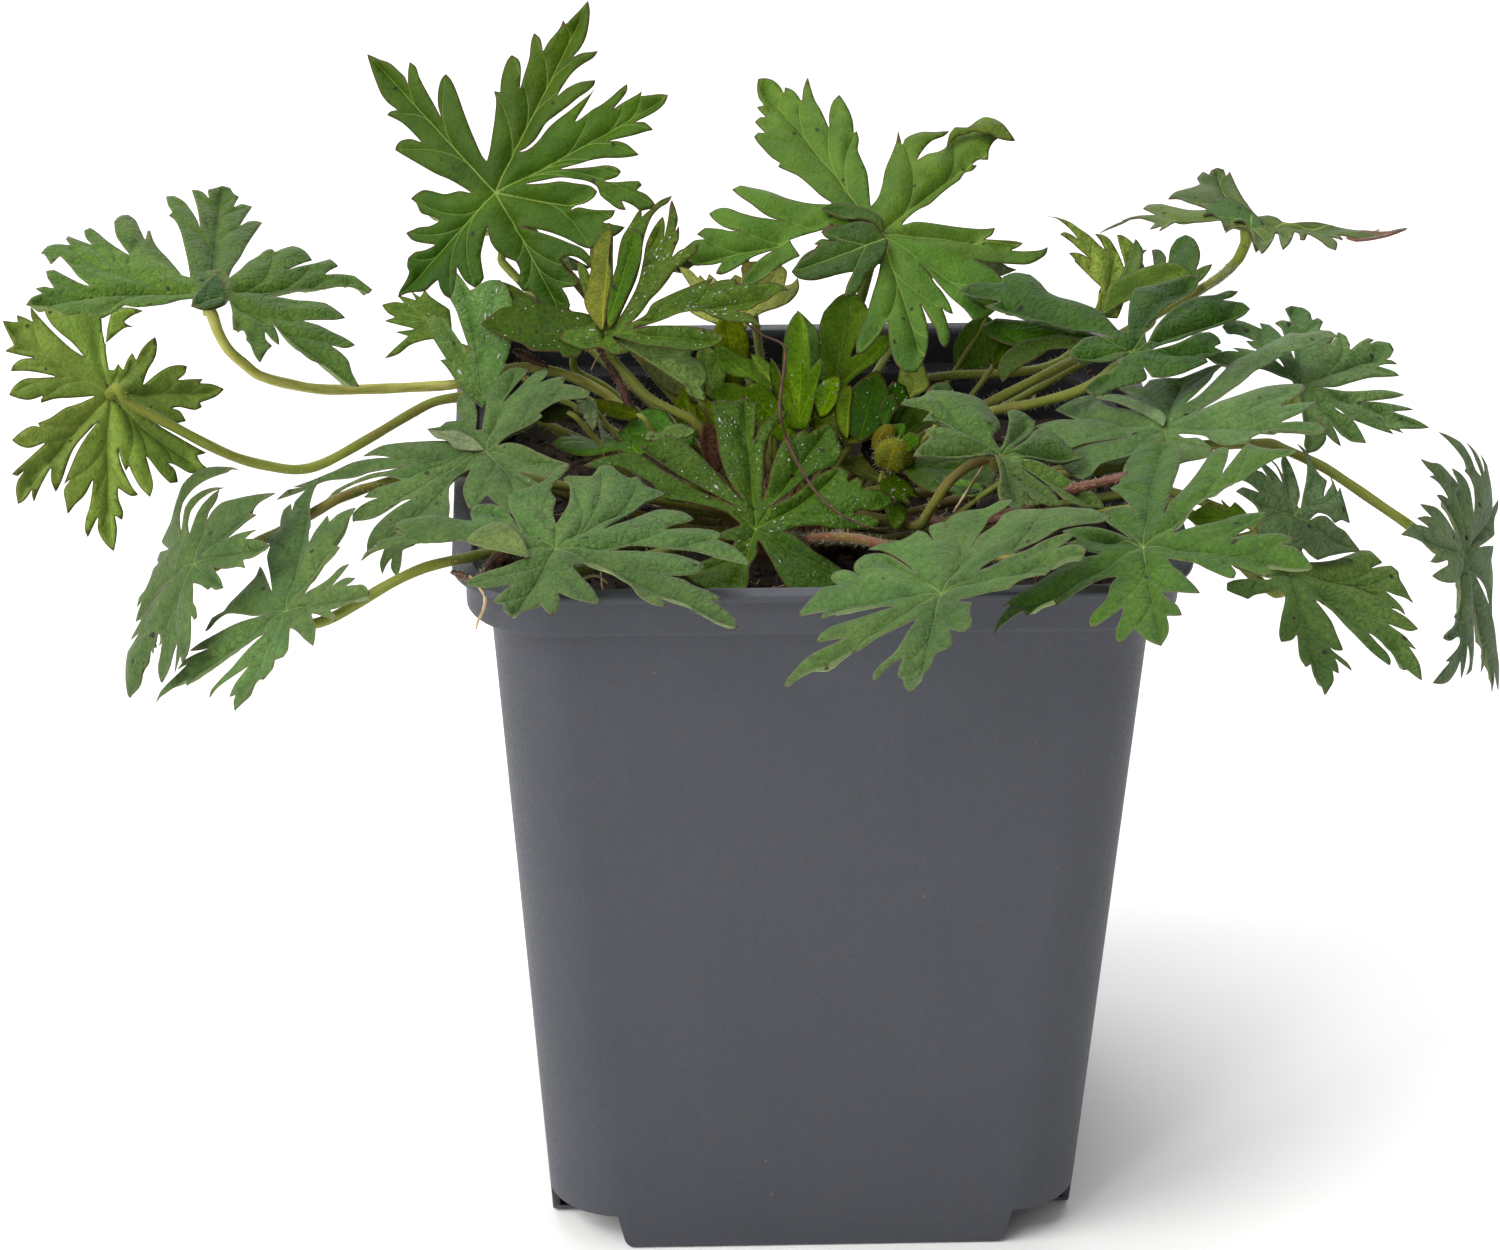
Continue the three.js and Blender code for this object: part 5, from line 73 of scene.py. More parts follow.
     "outline": [-3.64, -0.61, -5.64, 0.14, -8.21, 0.52, -9.97, 0.01, -11.8, -0.42, -13.21, -0.35, -13.09, 0.54, -12.05, 2.23, -13.47, 2.32, -13.3, 3.86, -11.59, 3.73, -10.52, 4.78, -10.15, 6.22, -8.85, 6.25, -9.42, 7.23, -9.02, 8.32, -6.53, 6.91, -9.12, 10.02, -9.42, 10.8, -8.6, 11.97, -8.12, 13.23, -8.29, 15.43, -8.41, 17.41, -8.34, 19.45, -7.28, 20.31, -5.27, 20.01, -3.01, 18.95, -0.36, 17.23, 3.35, 14.39, 5.94, 12.32, 7.29, 10.83, 5.36, 12.37, 4.35, 12.54, 0.76, 14.28, -2.27, 15.49, -4.56, 15.61, -5.84, 14.75, -5.56, 12.3, -3.72, 7.77, -4.09, 10.22, -4.6, 12.83, -3.57, 13.69, -1.14, 13.11, 1.64, 11.75, 4.9, 9.4, 3.34, 10.14, 1.04, 11.09, -0.9, 11.26, -2.4, 10.57, -2.39, 8.56, -1.31, 5.63, -0.91, 7.28, -0.51, 8.77, 0.46, 9.69, 2.18, 10.07, 3.83, 9.79, 3.14, 8.12, 2.27, 6.95, 2.36, 4.96, 3.4, 6.34, 5.04, 6.63, 7.62, 5.63, 10.45, 4.37, 12.6, 3.4, 15.05, 2.13, 14.09, 2.02, 12.45, 1.99, 10.86, 1.27, 12.14, 0.2, 10.98, 0.06, 9.31, -0.1, 7.11, -0.74, 8.52, -0.93, 10.26, -1.46, 12.31, -2.31, 11.48, -2.32, 10.33, -2.61, 11.53, -3.29, 13.21, -4.54, 14.53, -5.88, 13.23, -6.24, 11.57, -6.26, 10.06, -5.73, 10.38, -7.13, 9.2, -6.32, 6.94, -5.35, 4.75, -3.77, 5.31, -4.87, 6.2, -6.61, 6.52, -7.99, 5.08, -7.48, 4.37, -6.61, 3.8, -6.73, 2.29, -5.08, 0.89, -3.91, 0.9, -5, 0.87, -6.8, 1.42, -8.03, 1.52, -9.43, 0.91, -9.51, 0.38, -8.45, 0.21, -10.57, -0.2, -12.51, -0.94, -13.52, -2.08, -14.14, -2.33, -12.7, -3.63, -14.37, -3.14, -12.21, -2.73, -10.41, -4.02, -12.11, -5.08, -13.49, -6.55, -14.18, -6.94, -13.5, -7.21, -11.58, -6.59, -10.05, -6.01, -8.34, -6.74, -8.62, -6.45, -7.45, -7.16, -6.22, -7.92, -7.24, -8.23, -8.84, -8.93, -7.47, -9.74, -8.74, -11.07, -9.51, -12.45, -10.69, -14.36, -11.35, -14.88, -10.56, -15.4, -7.92, -15.48, -5.55, -15.04, -3.82, -13.37, -3.45, -12.02, -2.99, -14.33, -2.43, -11.95, -1.29, -9.36, -0.43, -6.8, -0.33]},
    {"name": "leaf_07_left_low", "key": "L7", "seed": 7, "at": (-65.22, -38, 92.99), "facing": (-0.6698, -0.1916, 0.7174), "across": (0.7416, -0.2214, 0.6333), "span": 13.5, "droop": 0.069, "foot": (0, 0),
     "look": {"mat": "outer", "tint": [0.0585, 0.1117, 0.0262], "wet": 0.0}, "relief": 1.0,
     "tags": "N......t......t..T...t......N..T....t.....T....t.....t....N....t...T...t..N....T....t....t...N........T......N....t....t....T....t......",
     "outline": [-1.95, -2.7, -3.33, -2.57, -5.02, -2.91, -6.52, -3.56, -8.36, -4.49, -10.07, -4.97, -11.77, -5.82, -12.01, -7.05, -10.66, -6.3, -8.91, -6.2, -6.8, -6.36, -5.06, -6.42, -6.38, -7.2, -7.53, -8.1, -8.28, -9.63, -7.21, -10.07, -7.48, -11.07, -7.19, -12.82, -6.06, -11.75, -4.74, -10.99, -3.08, -10.47, -2.37, -10.97, -1.72, -10.58, -0.92, -9.94, -0.66, -8.75, 0.7, -9.2, 1.49, -8.55, 1.55, -6.86, 1.57, -4.76, 2.84, -6.38, 4.29, -8.81, 5.69, -10.83, 5.95, -9.64, 5.82, -7.28, 5, -4.58, 7.42, -7.01, 9.28, -9.02, 9.06, -7.82, 8.18, -6.32, 9.49, -6.89, 11.42, -7.37, 13.33, -7.84, 14.41, -7.54, 13.52, -5.68, 12.05, -4.63, 10.4, -3.63, 11.19, -3.66, 11.96, -3.31, 10.29, -2.12, 8.69, -2.05, 7.6, -2.52, 8.66, -1.66, 9.87, -0.72, 10.76, 0.09, 9.3, 0.43, 7.75, -0.27, 6.14, -0.37, 3.99, -0.06, 2.9, -0.71, 4.1, 0.59, 5.13, 1.85, 6.65, 2.94, 7.89, 3.51, 8.92, 4.62, 7.47, 6.09, 9.08, 7.72, 10.02, 9.5, 10.87, 10.59, 9.49, 11.27, 7.81, 11.61, 6.54, 11.24, 6.01, 12.84, 5.1, 12.19, 4.05, 11.26, 3.24, 9.76, 2.93, 12.15, 2.94, 14.51, 2.27, 18.05, 2.55, 20.85, 3.31, 22.66, 1.92, 22.79, 0.5, 21.93, -0.76, 21.16, -1, 19.34, -1.48, 21.35, -2.66, 21.12, -2.91, 19.3, -2.76, 17.17, -4.21, 17.57, -5.61, 17.53, -4.19, 15.17, -4.42, 13.18, -3.26, 8.74, -2.4, 4.82, -4.24, 9.52, -5.52, 12.31, -6.15, 10.69, -7.47, 10.01, -8.99, 9.51, -10.36, 9.08, -11.33, 8.34, -13.56, 8.81, -14.6, 7.17, -13.84, 6.94, -12.65, 7.5, -10.83, 7.36, -8.02, 5.12, -4.86, 2.25, -2.66, 1.11, -3.72, 1.37, -6.88, 3.09, -9.68, 4.18, -12.47, 4.9, -15.26, 5.44, -17.08, 5.4, -15.06, 3.98, -12.71, 2.68, -15, 3.56, -17.85, 4.33, -19.03, 3.59, -17.12, 3.01, -18.53, 2.65, -20.7, 2.32, -22.1, 1.77, -22.65, 0.37, -21.96, 0.74, -20.1, 0.57, -18.57, 0.11, -17.07, -0.14, -16.75, -1.3, -15.29, -1.34, -13.84, -1.38, -11.64, -1.81, -8.99, -1.69, -6.33, -1.91, -4.05, -2.2]},
    {"name": "leaf_08_left_inner", "key": "L8", "seed": 8, "at": (-41.1, -14.29, 103.71), "facing": (-0.3091, -0.2393, 0.9204), "across": (0.9503, -0.1163, 0.2889), "span": 15.5, "droop": 0.133, "foot": (0, 0),
     "look": {"mat": "outer", "tint": [0.0542, 0.1038, 0.0252], "wet": 0.0}, "relief": 1.0,
     "tags": "N....Tt..N...t....t..T....t....N....T....N..T..t....T...N....T....t...t....T....N...T....t..N...T....N.....T..t......T......N....T.......t....",
     "outline": [-0.45, 3.91, -0.28, 7.76, -0.09, 10.84, 0.74, 14.22, 1.79, 16.14, 2.94, 16.85, 5.03, 15.27, 3.97, 13.33, 2.8, 11.02, 1.9, 8.65, 3.48, 10.75, 4.67, 12.59, 5.88, 14.22, 7.29, 14.62, 7.62, 13.56, 6.69, 11.58, 7.97, 12.04, 9.26, 12.03, 10.07, 11.52, 9.74, 10.27, 11.34, 9.29, 13.34, 7.34, 13.12, 6.31, 11.46, 6.38, 9.54, 6.56, 8.03, 5.75, 7.05, 4.78, 7.47, 3.79, 5.85, 2.64, 3.95, 1.83, 2.69, 1.04, 1.7, -0.02, 3.39, -0.22, 5.36, -1.48, 7.33, -3.47, 9.27, -5.19, 11.19, -6.68, 10.57, -8.01, 9.32, -8.41, 8.05, -8.23, 6.13, -7.11, 4.72, -6.29, 6.15, -7.85, 8.08, -10.08, 8.72, -11.53, 7.47, -12.97, 5.58, -13.84, 3.67, -13.61, 2.37, -11.78, 1.33, -10.36, 0.66, -9.23, -0.22, -10.38, -1.5, -11.2, -2.19, -9.14, -2.5, -7.18, -2.16, -5.43, -1.56, -3.56, -3.24, -4.25, -4.13, -5.43, -4.33, -7.42, -4.13, -9.88, -4.35, -11.97, -6.68, -12.87, -8.61, -14.8, -10.18, -15.07, -10.38, -17.62, -10.86, -19.52, -11.7, -17.63, -11.61, -15.91, -12.25, -16.71, -12.87, -18.22, -13.19, -16.16, -12.84, -14.53, -12.62, -13.19, -13.97, -12.63, -15.01, -13.45, -14.96, -11.3, -14.23, -9.41, -12.82, -7.99, -11.12, -6.86, -9.15, -6.01, -10.89, -6.01, -12.88, -6.45, -14.89, -6.87, -17.19, -6.95, -17.27, -5.39, -16.24, -4.33, -14.77, -3.86, -13.82, -3.92, -15.92, -2.73, -14.48, -1.85, -12.44, -1.82, -10.82, -1.79, -13.23, 0.16, -16, 0.7, -18.73, 0.44, -21.36, -1.25, -20.38, 0.46, -18.1, 1.34, -15.37, 1.61, -12.61, 1.07, -9.35, 0.95, -11.95, 1.36, -15.4, 2.04, -18.88, 2.55, -21.7, 3.39, -25.14, 2.9, -28.35, 2.92, -26.92, 4.24, -24.64, 3.67, -26.1, 4.44, -23.19, 4.58, -20.45, 5.03, -18.13, 5.52, -14.91, 4.7, -12.51, 3.71, -14.95, 5.37, -16.65, 6.03, -15.47, 6.7, -14.12, 7.09, -12.31, 6.59, -9.5, 5.41, -6.03, 3.99, -3.96, 2.85, -2.7, 1.48, -3.99, 3.28, -5.18, 5.31, -5.95, 4.8, -6.83, 5.86, -8.02, 7.52, -7.2, 7.34, -6.24, 7.11, -5.48, 7.85, -4.25, 7.51, -3.31, 7.3, -4.16, 9.93, -4.33, 12.3, -4.01, 13.31, -3.33, 13.23, -2.25, 11.34, -1.37, 8.22, -1.26, 4.24]},
    {"name": "leaf_09_centre_bright", "key": "L12", "seed": 9, "at": (-25.99, -0.4, 113.82), "facing": (-0.2062, -0.5573, 0.8043), "across": (0.978, -0.1428, 0.1518), "span": 11.1, "droop": 0.093, "foot": (0, 0),
     "look": {"mat": "inner", "tint": [0.0407, 0.0789, 0.0079], "wet": 1.0, "warm": [0.25, 0.3, 0.5], "light_grade": [0.3, 1, 0.3, 0.25, 0]}, "relief": 1.0,
     "tags": "N...T....N...t...T....N......t...T........N......t....T...t.....t........N......t.......T......t.......N....T......N..T...t.N",
     "outline": [-1.31, 1.37, -2.14, 4.1, -2.98, 6.87, -3.58, 9.5, -3.76, 11.12, -2.96, 10.69, -2, 8.8, -1.31, 7.12, -0.86, 4.71, -0.29, 1.86, -0.6, 4.67, -1.07, 7.88, -2.06, 10.88, -2.12, 12.82, -1.23, 13.51, -1.15, 15.13, -0.55, 16.51, 0.35, 16.89, 0.8, 14.87, 0.89, 11.62, 0.98, 8.41, 0.8, 5.28, 0.48, 2.22, 1.2, 4.45, 1.37, 8.36, 1.54, 11.54, 1.98, 14.23, 2.96, 16.23, 3.94, 18.24, 4.45, 18.67, 4.48, 17.35, 5.49, 18.38, 6.75, 19.72, 8.28, 20.37, 7.79, 19.27, 6.78, 18.56, 5.78, 17.2, 5.06, 14.84, 4.73, 12.77, 4.54, 10.07, 3.96, 7.27, 2.99, 4.56, 1.89, 1.6, 3.25, 4.22, 4.22, 6.77, 4.79, 10.04, 5.11, 12.73, 5.83, 14.92, 6.57, 16.3, 7.2, 17.04, 7.49, 15.71, 7.4, 13.61, 7.85, 16.48, 8.06, 18.91, 8.3, 19.71, 8.85, 18.01, 9.14, 16.35, 8.8, 14.44, 9.29, 15.36, 9.33, 13.42, 8.85, 11.86, 8.49, 10.46, 9.49, 11.48, 10.76, 11.84, 11.78, 12.22, 11.67, 10.96, 10.16, 9.51, 8.91, 8.36, 8.05, 6.86, 7.05, 5.39, 5.8, 3.96, 4.94, 2.51, 3.81, 1.09, 2.8, 0.44, 5.2, 1.72, 6.07, 3.32, 7.7, 4.25, 9.59, 5.17, 11.48, 5.94, 12.74, 6.46, 13.75, 6.69, 13.13, 5.66, 14.64, 6.31, 16.53, 6.33, 17.29, 5.34, 19.06, 5.53, 20.94, 5.55, 22.2, 5.15, 23.2, 4.17, 21.95, 3.94, 20.69, 2.81, 19.69, 2.42, 18.44, 1.59, 16.55, 1.42, 18.44, 0.84, 19.94, -1.22, 18.44, -0.52, 16.56, -0.24, 14.05, 0.54, 12.15, 1.74, 9.63, 1.63, 7.74, 0.88, 5.85, 0.29, 3.58, -0.24, 5.86, -0.01, 9.65, -0.33, 12.17, -0.83, 14.05, -1.41, 15.18, -2.54, 14.05, -3.5, 12.17, -4.1, 9.66, -3.91, 7.14, -3.4, 5.25, -2.94, 2.7, -1.8, 1.04, -0.87, 2.07, -2.48, 3.35, -3.64, 1.45, -3.88, -0.48, -2.63, -2.4, -2.69, -4.35, -1.68, -5.92, -0.41, -5.04, 0.67, -3.1, 0.7]},
    {"name": "leaf_10_front_left", "key": "L13", "seed": 10, "at": (-32.38, -43.09, 103.05), "facing": (0.006, -0.1669, 0.9859), "across": (0.9992, -0.0377, -0.0125), "span": 18.2, "droop": 0.109, "foot": (0, 0),
     "look": {"mat": "outer", "tint": [0.0504, 0.1025, 0.0219], "wet": 0.0, "light_grade": [0, -1, 0.05, 0.05, 0]}, "relief": 1.0,
     "tags": "N...t......T......N....t...t...t..T.....N.......t......t...T.......N......t.......t.....T...t...t........N...T.....t....T..t.....T....N.........T..t..t.t....Nt.T...",
     "outline": [-4.27, 3.06, -5.08, 5.58, -5.77, 7.94, -6.1, 10.35, -5.93, 12.06, -4.75, 12.79, -3.57, 13.54, -2.4, 14.55, -1.47, 15.84, -0.69, 17.92, 0.12, 19.25, 0.96, 19.8, 0.54, 17.44, -0.02, 15.88, -0.81, 14.08, -0.99, 12.32, -0.33, 10.37, -0.61, 7.95, -0.15, 4.69, 0.5, 6.8, 1.15, 9.21, 1.32, 11.66, 1.12, 14.14, 0.35, 15.64, 0.93, 16.43, 2.39, 16.49, 3.84, 16.58, 4.75, 19.22, 6.21, 19.33, 7.47, 17.36, 8.46, 16.43, 9.3, 17.02, 10.31, 14.85, 11.53, 13.99, 12.88, 13.16, 11.57, 11.78, 10.38, 10.67, 9.21, 8.62, 7.69, 6.58, 6.3, 4.83, 5.61, 3.63, 6.89, 4.88, 8.66, 6.21, 10.43, 7.8, 11.97, 8.93, 13.41, 9.12, 14.86, 8.84, 15.83, 8.03, 16.31, 7.17, 15.24, 6.32, 14.05, 5.7, 12.87, 4.4, 14.66, 4.86, 17.05, 5.2, 18.85, 5.02, 19.69, 4.24, 19.22, 3.05, 20.65, 2.16, 21.85, 0.81, 23.16, -1.79, 21.85, -1.57, 20.07, -1.2, 18.28, -0.6, 16.5, 0.01, 14.71, 0.09, 12.34, 0.33, 8.77, 0.37, 5.96, -1.19, 8.2, -0.77, 10.57, -0.85, 12.94, -0.79, 14.73, -1.1, 16.16, -1.76, 17.35, -2.45, 17.71, -3.66, 16.54, -4.66, 14.78, -5.3, 12.89, -5.52, 14.19, -5.78, 15.38, -6.25, 16.57, -7.32, 17.98, -7.95, 19.75, -9.53, 18.58, -9.88, 17.53, -9.81, 18.94, -10.23, 20.12, -11.47, 21.29, -13.28, 21.65, -14.59, 20.48, -14.55, 18.96, -13.96, 17.55, -12.96, 16.38, -12.51, 16.02, -11.58, 14.84, -10.73, 12.49, -9.8, 13.33, -11.49, 11.93, -11.43, 10.74, -10.57, 9.91, -9.66, 8.93, -7.76, 7.49, -6.27, 6.28, -4.94, 5.09, -4.2, 3.54, -3.67, 2.02, -4.17, 3.02, -6.17, 4, -7.73, 4.87, -9.46, 5.5, -11.57, 3.74, -11.28, 1.97, -10.58, 0.54, -9.66, 0.82, -11.21, 0.64, -12.95, -0.02, -14.11, -0.74, -13.36, -1.24, -12.41, -2.04, -12.81, -3.19, -13.39, -4.89, -14.53, -5.64, -13.19, -5.8, -12.03, -7.11, -11.62, -6.56, -10.66, -5.68, -9.3, -4.9, -8.32, -6.3, -8.5, -8.04, -8.85, -10.54, -7.96, -9.32, -6.39, -7.6, -5.44, -5.87, -4.46, -4.15, -3.23, -3, -2.4, -4.82, -1.11, -6.62, -0.42, -9.04, 0.54, -11.44, 1.11, -13.8, 0.83, -16.19, 1.02, -18.56, 0.79, -20.31, 0.3, -21.8, -0.63, -23.01, -2.23, -22.53, -0.34, -21.2, 1.27, -21.36, 1.94, -19.85, 2.46, -18.07, 2.73, -19.46, 3.98, -18.39, 4.11, -19.64, 5.13, -18.28, 6.37, -16.51, 6.91, -14.12, 6.95, -11.67, 5.85, -10.22, 5.54, -10.55, 7.65, -10.02, 9.05, -8.83, 9.47, -7.62, 9.19, -6.37, 7.96, -5.06, 5.12]},
    {"name": "leaf_11_front_inner", "key": "L14", "seed": 11, "at": (-7.72, -25, 97.42), "facing": (0.1825, -0.4243, 0.8869), "across": (0.9826, 0.047, -0.1797), "span": 14.1, "droop": 0.061, "foot": (0, 0),
     "look": {"mat": "inner", "tint": [0.0367, 0.0806, 0.0072], "wet": 1.0}, "relief": 1.0,
     "tags": "N......t..T........t......N....t......T..t.....N...T...t...t....T.....N.....T........N...T...t....t...N....t.....T........N......T........",
     "outline": [-1.5, 3.7, -2.5, 5.2, -3.62, 7.37, -4.37, 9.97, -4.86, 12.48, -5.1, 15.41, -5.47, 17.99, -5.72, 20.26, -4.31, 20.88, -2.91, 20.79, -1.37, 21.8, -0.09, 20.98, 0.17, 21.75, 0.14, 19.06, -0.14, 16.35, -0.29, 14.56, 0.5, 16.83, 1.54, 18.45, 2.71, 19.94, 4.13, 20.59, 3.73, 19.25, 2.42, 17.21, 1.5, 15.26, 1.09, 13.08, 0.94, 10.45, 0.92, 8.55, 0.64, 4.43, 1.42, 7.11, 1.82, 9.76, 2.62, 13.03, 3.41, 15.12, 4.33, 16.54, 4.69, 15.38, 5.36, 16.93, 6.27, 17.65, 6.77, 17.05, 7.56, 17.93, 8.48, 18.84, 9.52, 19.42, 10.27, 18.34, 10.5, 16.8, 11.11, 15.18, 10.69, 13.69, 9.89, 12.13, 8.33, 11.1, 6.52, 9.34, 4.19, 6.47, 1.64, 3.45, 4.83, 6.26, 7.41, 9.52, 9.36, 11.32, 10.79, 12.15, 11.8, 11.16, 11.64, 9.75, 12.95, 10.9, 13.57, 10.01, 13.42, 8.78, 14.45, 9.18, 15.74, 9.12, 17.51, 7.99, 15.66, 5.72, 13.09, 5.32, 12.31, 4.31, 14.36, 4.59, 15.75, 3.9, 14.96, 2.73, 13.04, 1.98, 10.48, 1.43, 7.95, 1.55, 5.41, 0.87, 3.26, -0.37, 4.14, -0.36, 5.4, -1.26, 7.28, -2.83, 8.53, -3.54, 10.42, -4.76, 11.29, -5.7, 10.65, -7.26, 9.13, -8.5, 7.25, -8.87, 5.38, -9.22, 3.88, -9.5, 2.88, -7.8, 1.88, -5.46, 1, -3.7, 0.13, -2.25, 0.01, -4.68, -0.86, -6.58, -0.97, -8.79, -1.33, -10.41, -3.3, -11.05, -5.76, -11.13, -7.98, -10.23, -8.98, -8.82, -7.04, -6.95, -5.2, -5.71, -3.6, -4.5, -2.74, -2.91, -4.35, -3.18, -4.98, -2.31, -3.87, -1.32, -2.75, -0.65, -2, -0.03, -3.62, 1.5, -5.25, 2.05, -7.74, 2.48, -10.22, 2.59, -12.08, 2.8, -12.47, 3.91, -13.35, 5.11, -15.47, 6.3, -17.09, 7.07, -19.56, 6.37, -21.67, 6.57, -19.96, 8, -18.11, 8.95, -15.88, 9.8, -14.01, 9.24, -12.12, 7.66, -9.62, 6.02, -7.12, 4.58, -4.63, 3.65, -2.5, 2.52, -4.38, 3.86, -6.5, 5.01, -8.38, 6.06, -10.25, 7.28, -12.13, 8.68, -14.01, 10.09, -14.65, 11.02, -13.15, 12.12, -11.91, 13.01, -10.53, 13.41, -9.27, 12.76, -8.14, 11.74, -6.5, 9.94, -4.62, 7.53, -3, 5.44]},
    {"name": "leaf_12_front_centre", "key": "L15", "seed": 12, "at": (12.37, -55.4, 102.12), "facing": (-0.3234, -0.0967, 0.9413), "across": (0.9454, -0.0749, 0.3171), "span": 17.4, "droop": 0.115, "foot": (0, 0),
     "look": {"mat": "outer", "tint": [0.0453, 0.0939, 0.0184], "wet": 0.0, "warm": [0.6, 0.85, 0.9]}, "relief": 1.0,
     "tags": "N..t.....T....N......t.....T.........N......t.....T...t......N.t..T...t.....T..t...t.....N....t..t...T...t....t.....N....t.T.....t..N...T..N...T.....",
     "outline": [-0.47, 12.42, -1.07, 15.49, -0.93, 16.78, 0.45, 17.01, 0.94, 16.43, 1.83, 17.82, 3.46, 18.22, 5.94, 17.58, 7.82, 18.45, 9.53, 17.77, 8.14, 16.06, 6.64, 14.99, 5.59, 12.34, 4.55, 9.76, 3.5, 6.76, 4.28, 8.62, 5.19, 10.71, 7.07, 12.33, 8.1, 14.44, 9.59, 14.99, 11.41, 14.3, 13.21, 13.38, 14.41, 13.05, 15.61, 12.73, 17.38, 11.63, 18.79, 10.72, 20.02, 8.9, 20.92, 7.76, 19.58, 7.34, 18.16, 7.46, 16.61, 7.65, 14.81, 7.71, 13.32, 6.64, 11.72, 5.65, 9.27, 4.83, 7.44, 4.25, 5.58, 2.99, 4.7, 2.01, 6.16, 2.24, 8.01, 3.25, 9.6, 3.95, 11.07, 4.48, 12.31, 5.38, 14.13, 6.02, 16.06, 6.15, 16.12, 4.9, 15.24, 4.07, 14.23, 2.83, 15.44, 3.26, 16.95, 2.62, 17.7, 1.13, 16.83, 0.33, 15.05, 0.37, 13.83, -0.28, 12.9, -2.16, 11.35, -2.18, 10.16, -2.12, 8.94, -2.71, 8.3, -3.54, 5.92, -3.35, 3.51, -3.33, 1.95, -3.24, 2.64, -4.01, 3.7, -4.51, 3.36, -6.5, 3.49, -8.65, 2.93, -10.05, 1.75, -9.71, 0.83, -8.87, 0.95, -11.17, 0.63, -12.63, -0.57, -12.67, -1.2, -13.17, -1.91, -15.2, -2.93, -16.28, -3.74, -17.83, -4.28, -18.92, -5.05, -17.59, -5.31, -15.71, -5.89, -15.23, -5.43, -13.09, -5, -11.71, -6.62, -12.49, -8.67, -14.81, -8.73, -13.39, -7.81, -11.87, -6.29, -10.64, -5.25, -9.14, -4.18, -6.99, -3, -5.06, -5.1, -5.44, -6.96, -5.92, -8.84, -6.77, -10.11, -7.54, -10.85, -7.54, -11.97, -7.53, -13.85, -8.11, -14.35, -8.24, -16.1, -8.26, -17.61, -8.83, -18.88, -9.74, -19.64, -9.92, -19.23, -8.49, -18.2, -7, -17.3, -5.84, -16.66, -5.16, -15.02, -4.65, -13.13, -4.28, -11.87, -3.95, -13.73, -3.26, -15.36, -2.91, -14.96, -1.61, -13.69, -0.61, -11.79, -0.44, -9.92, -0.69, -7.43, -0.83, -5.56, -0.79, -7.4, 0.29, -9.88, 1.58, -11.75, 2.3, -13.01, 2.41, -14.92, 2.01, -14.27, 3.7, -17.57, 4.47, -16.81, 6.35, -15.53, 8.18, -14.63, 9.56, -12.59, 8.92, -13.49, 11.05, -13.24, 12.42, -11.96, 12.31, -10.68, 10.92, -9.67, 8.97, -10.55, 11.35, -10.3, 13.27, -9.16, 14.34, -7.5, 13.75, -5.99, 11.95, -4.14, 8.44, -2.81, 5.62, -4.26, 9.28, -5.62, 11.97, -7.25, 14.38, -8.78, 15.69, -7.25, 16, -5.35, 15.27, -3.71, 15.55, -2.44, 16.37, -1.45, 15.18]},
    {"name": "leaf_13_front_right", "key": "L16", "seed": 13, "at": (36.72, -48.59, 104.85), "facing": (-0.3803, -0.1367, 0.9147), "across": (0.924, -0.0982, 0.3695), "span": 15.5, "droop": 0.247, "foot": (0, 0),
     "look": {"mat": "outer", "tint": [0.0368, 0.0888, 0.008], "wet": 0.0, "warm": [0.35, 0.45, 0.3], "pale": 0.35}, "relief": 1.0,
     "tags": "N..t.....T.....N.......t.....t...T..........N.....t......t.....T....t....t.....N....t.....t....T....t......t.....N....t..t...T...t......N.t.T...N..T..",
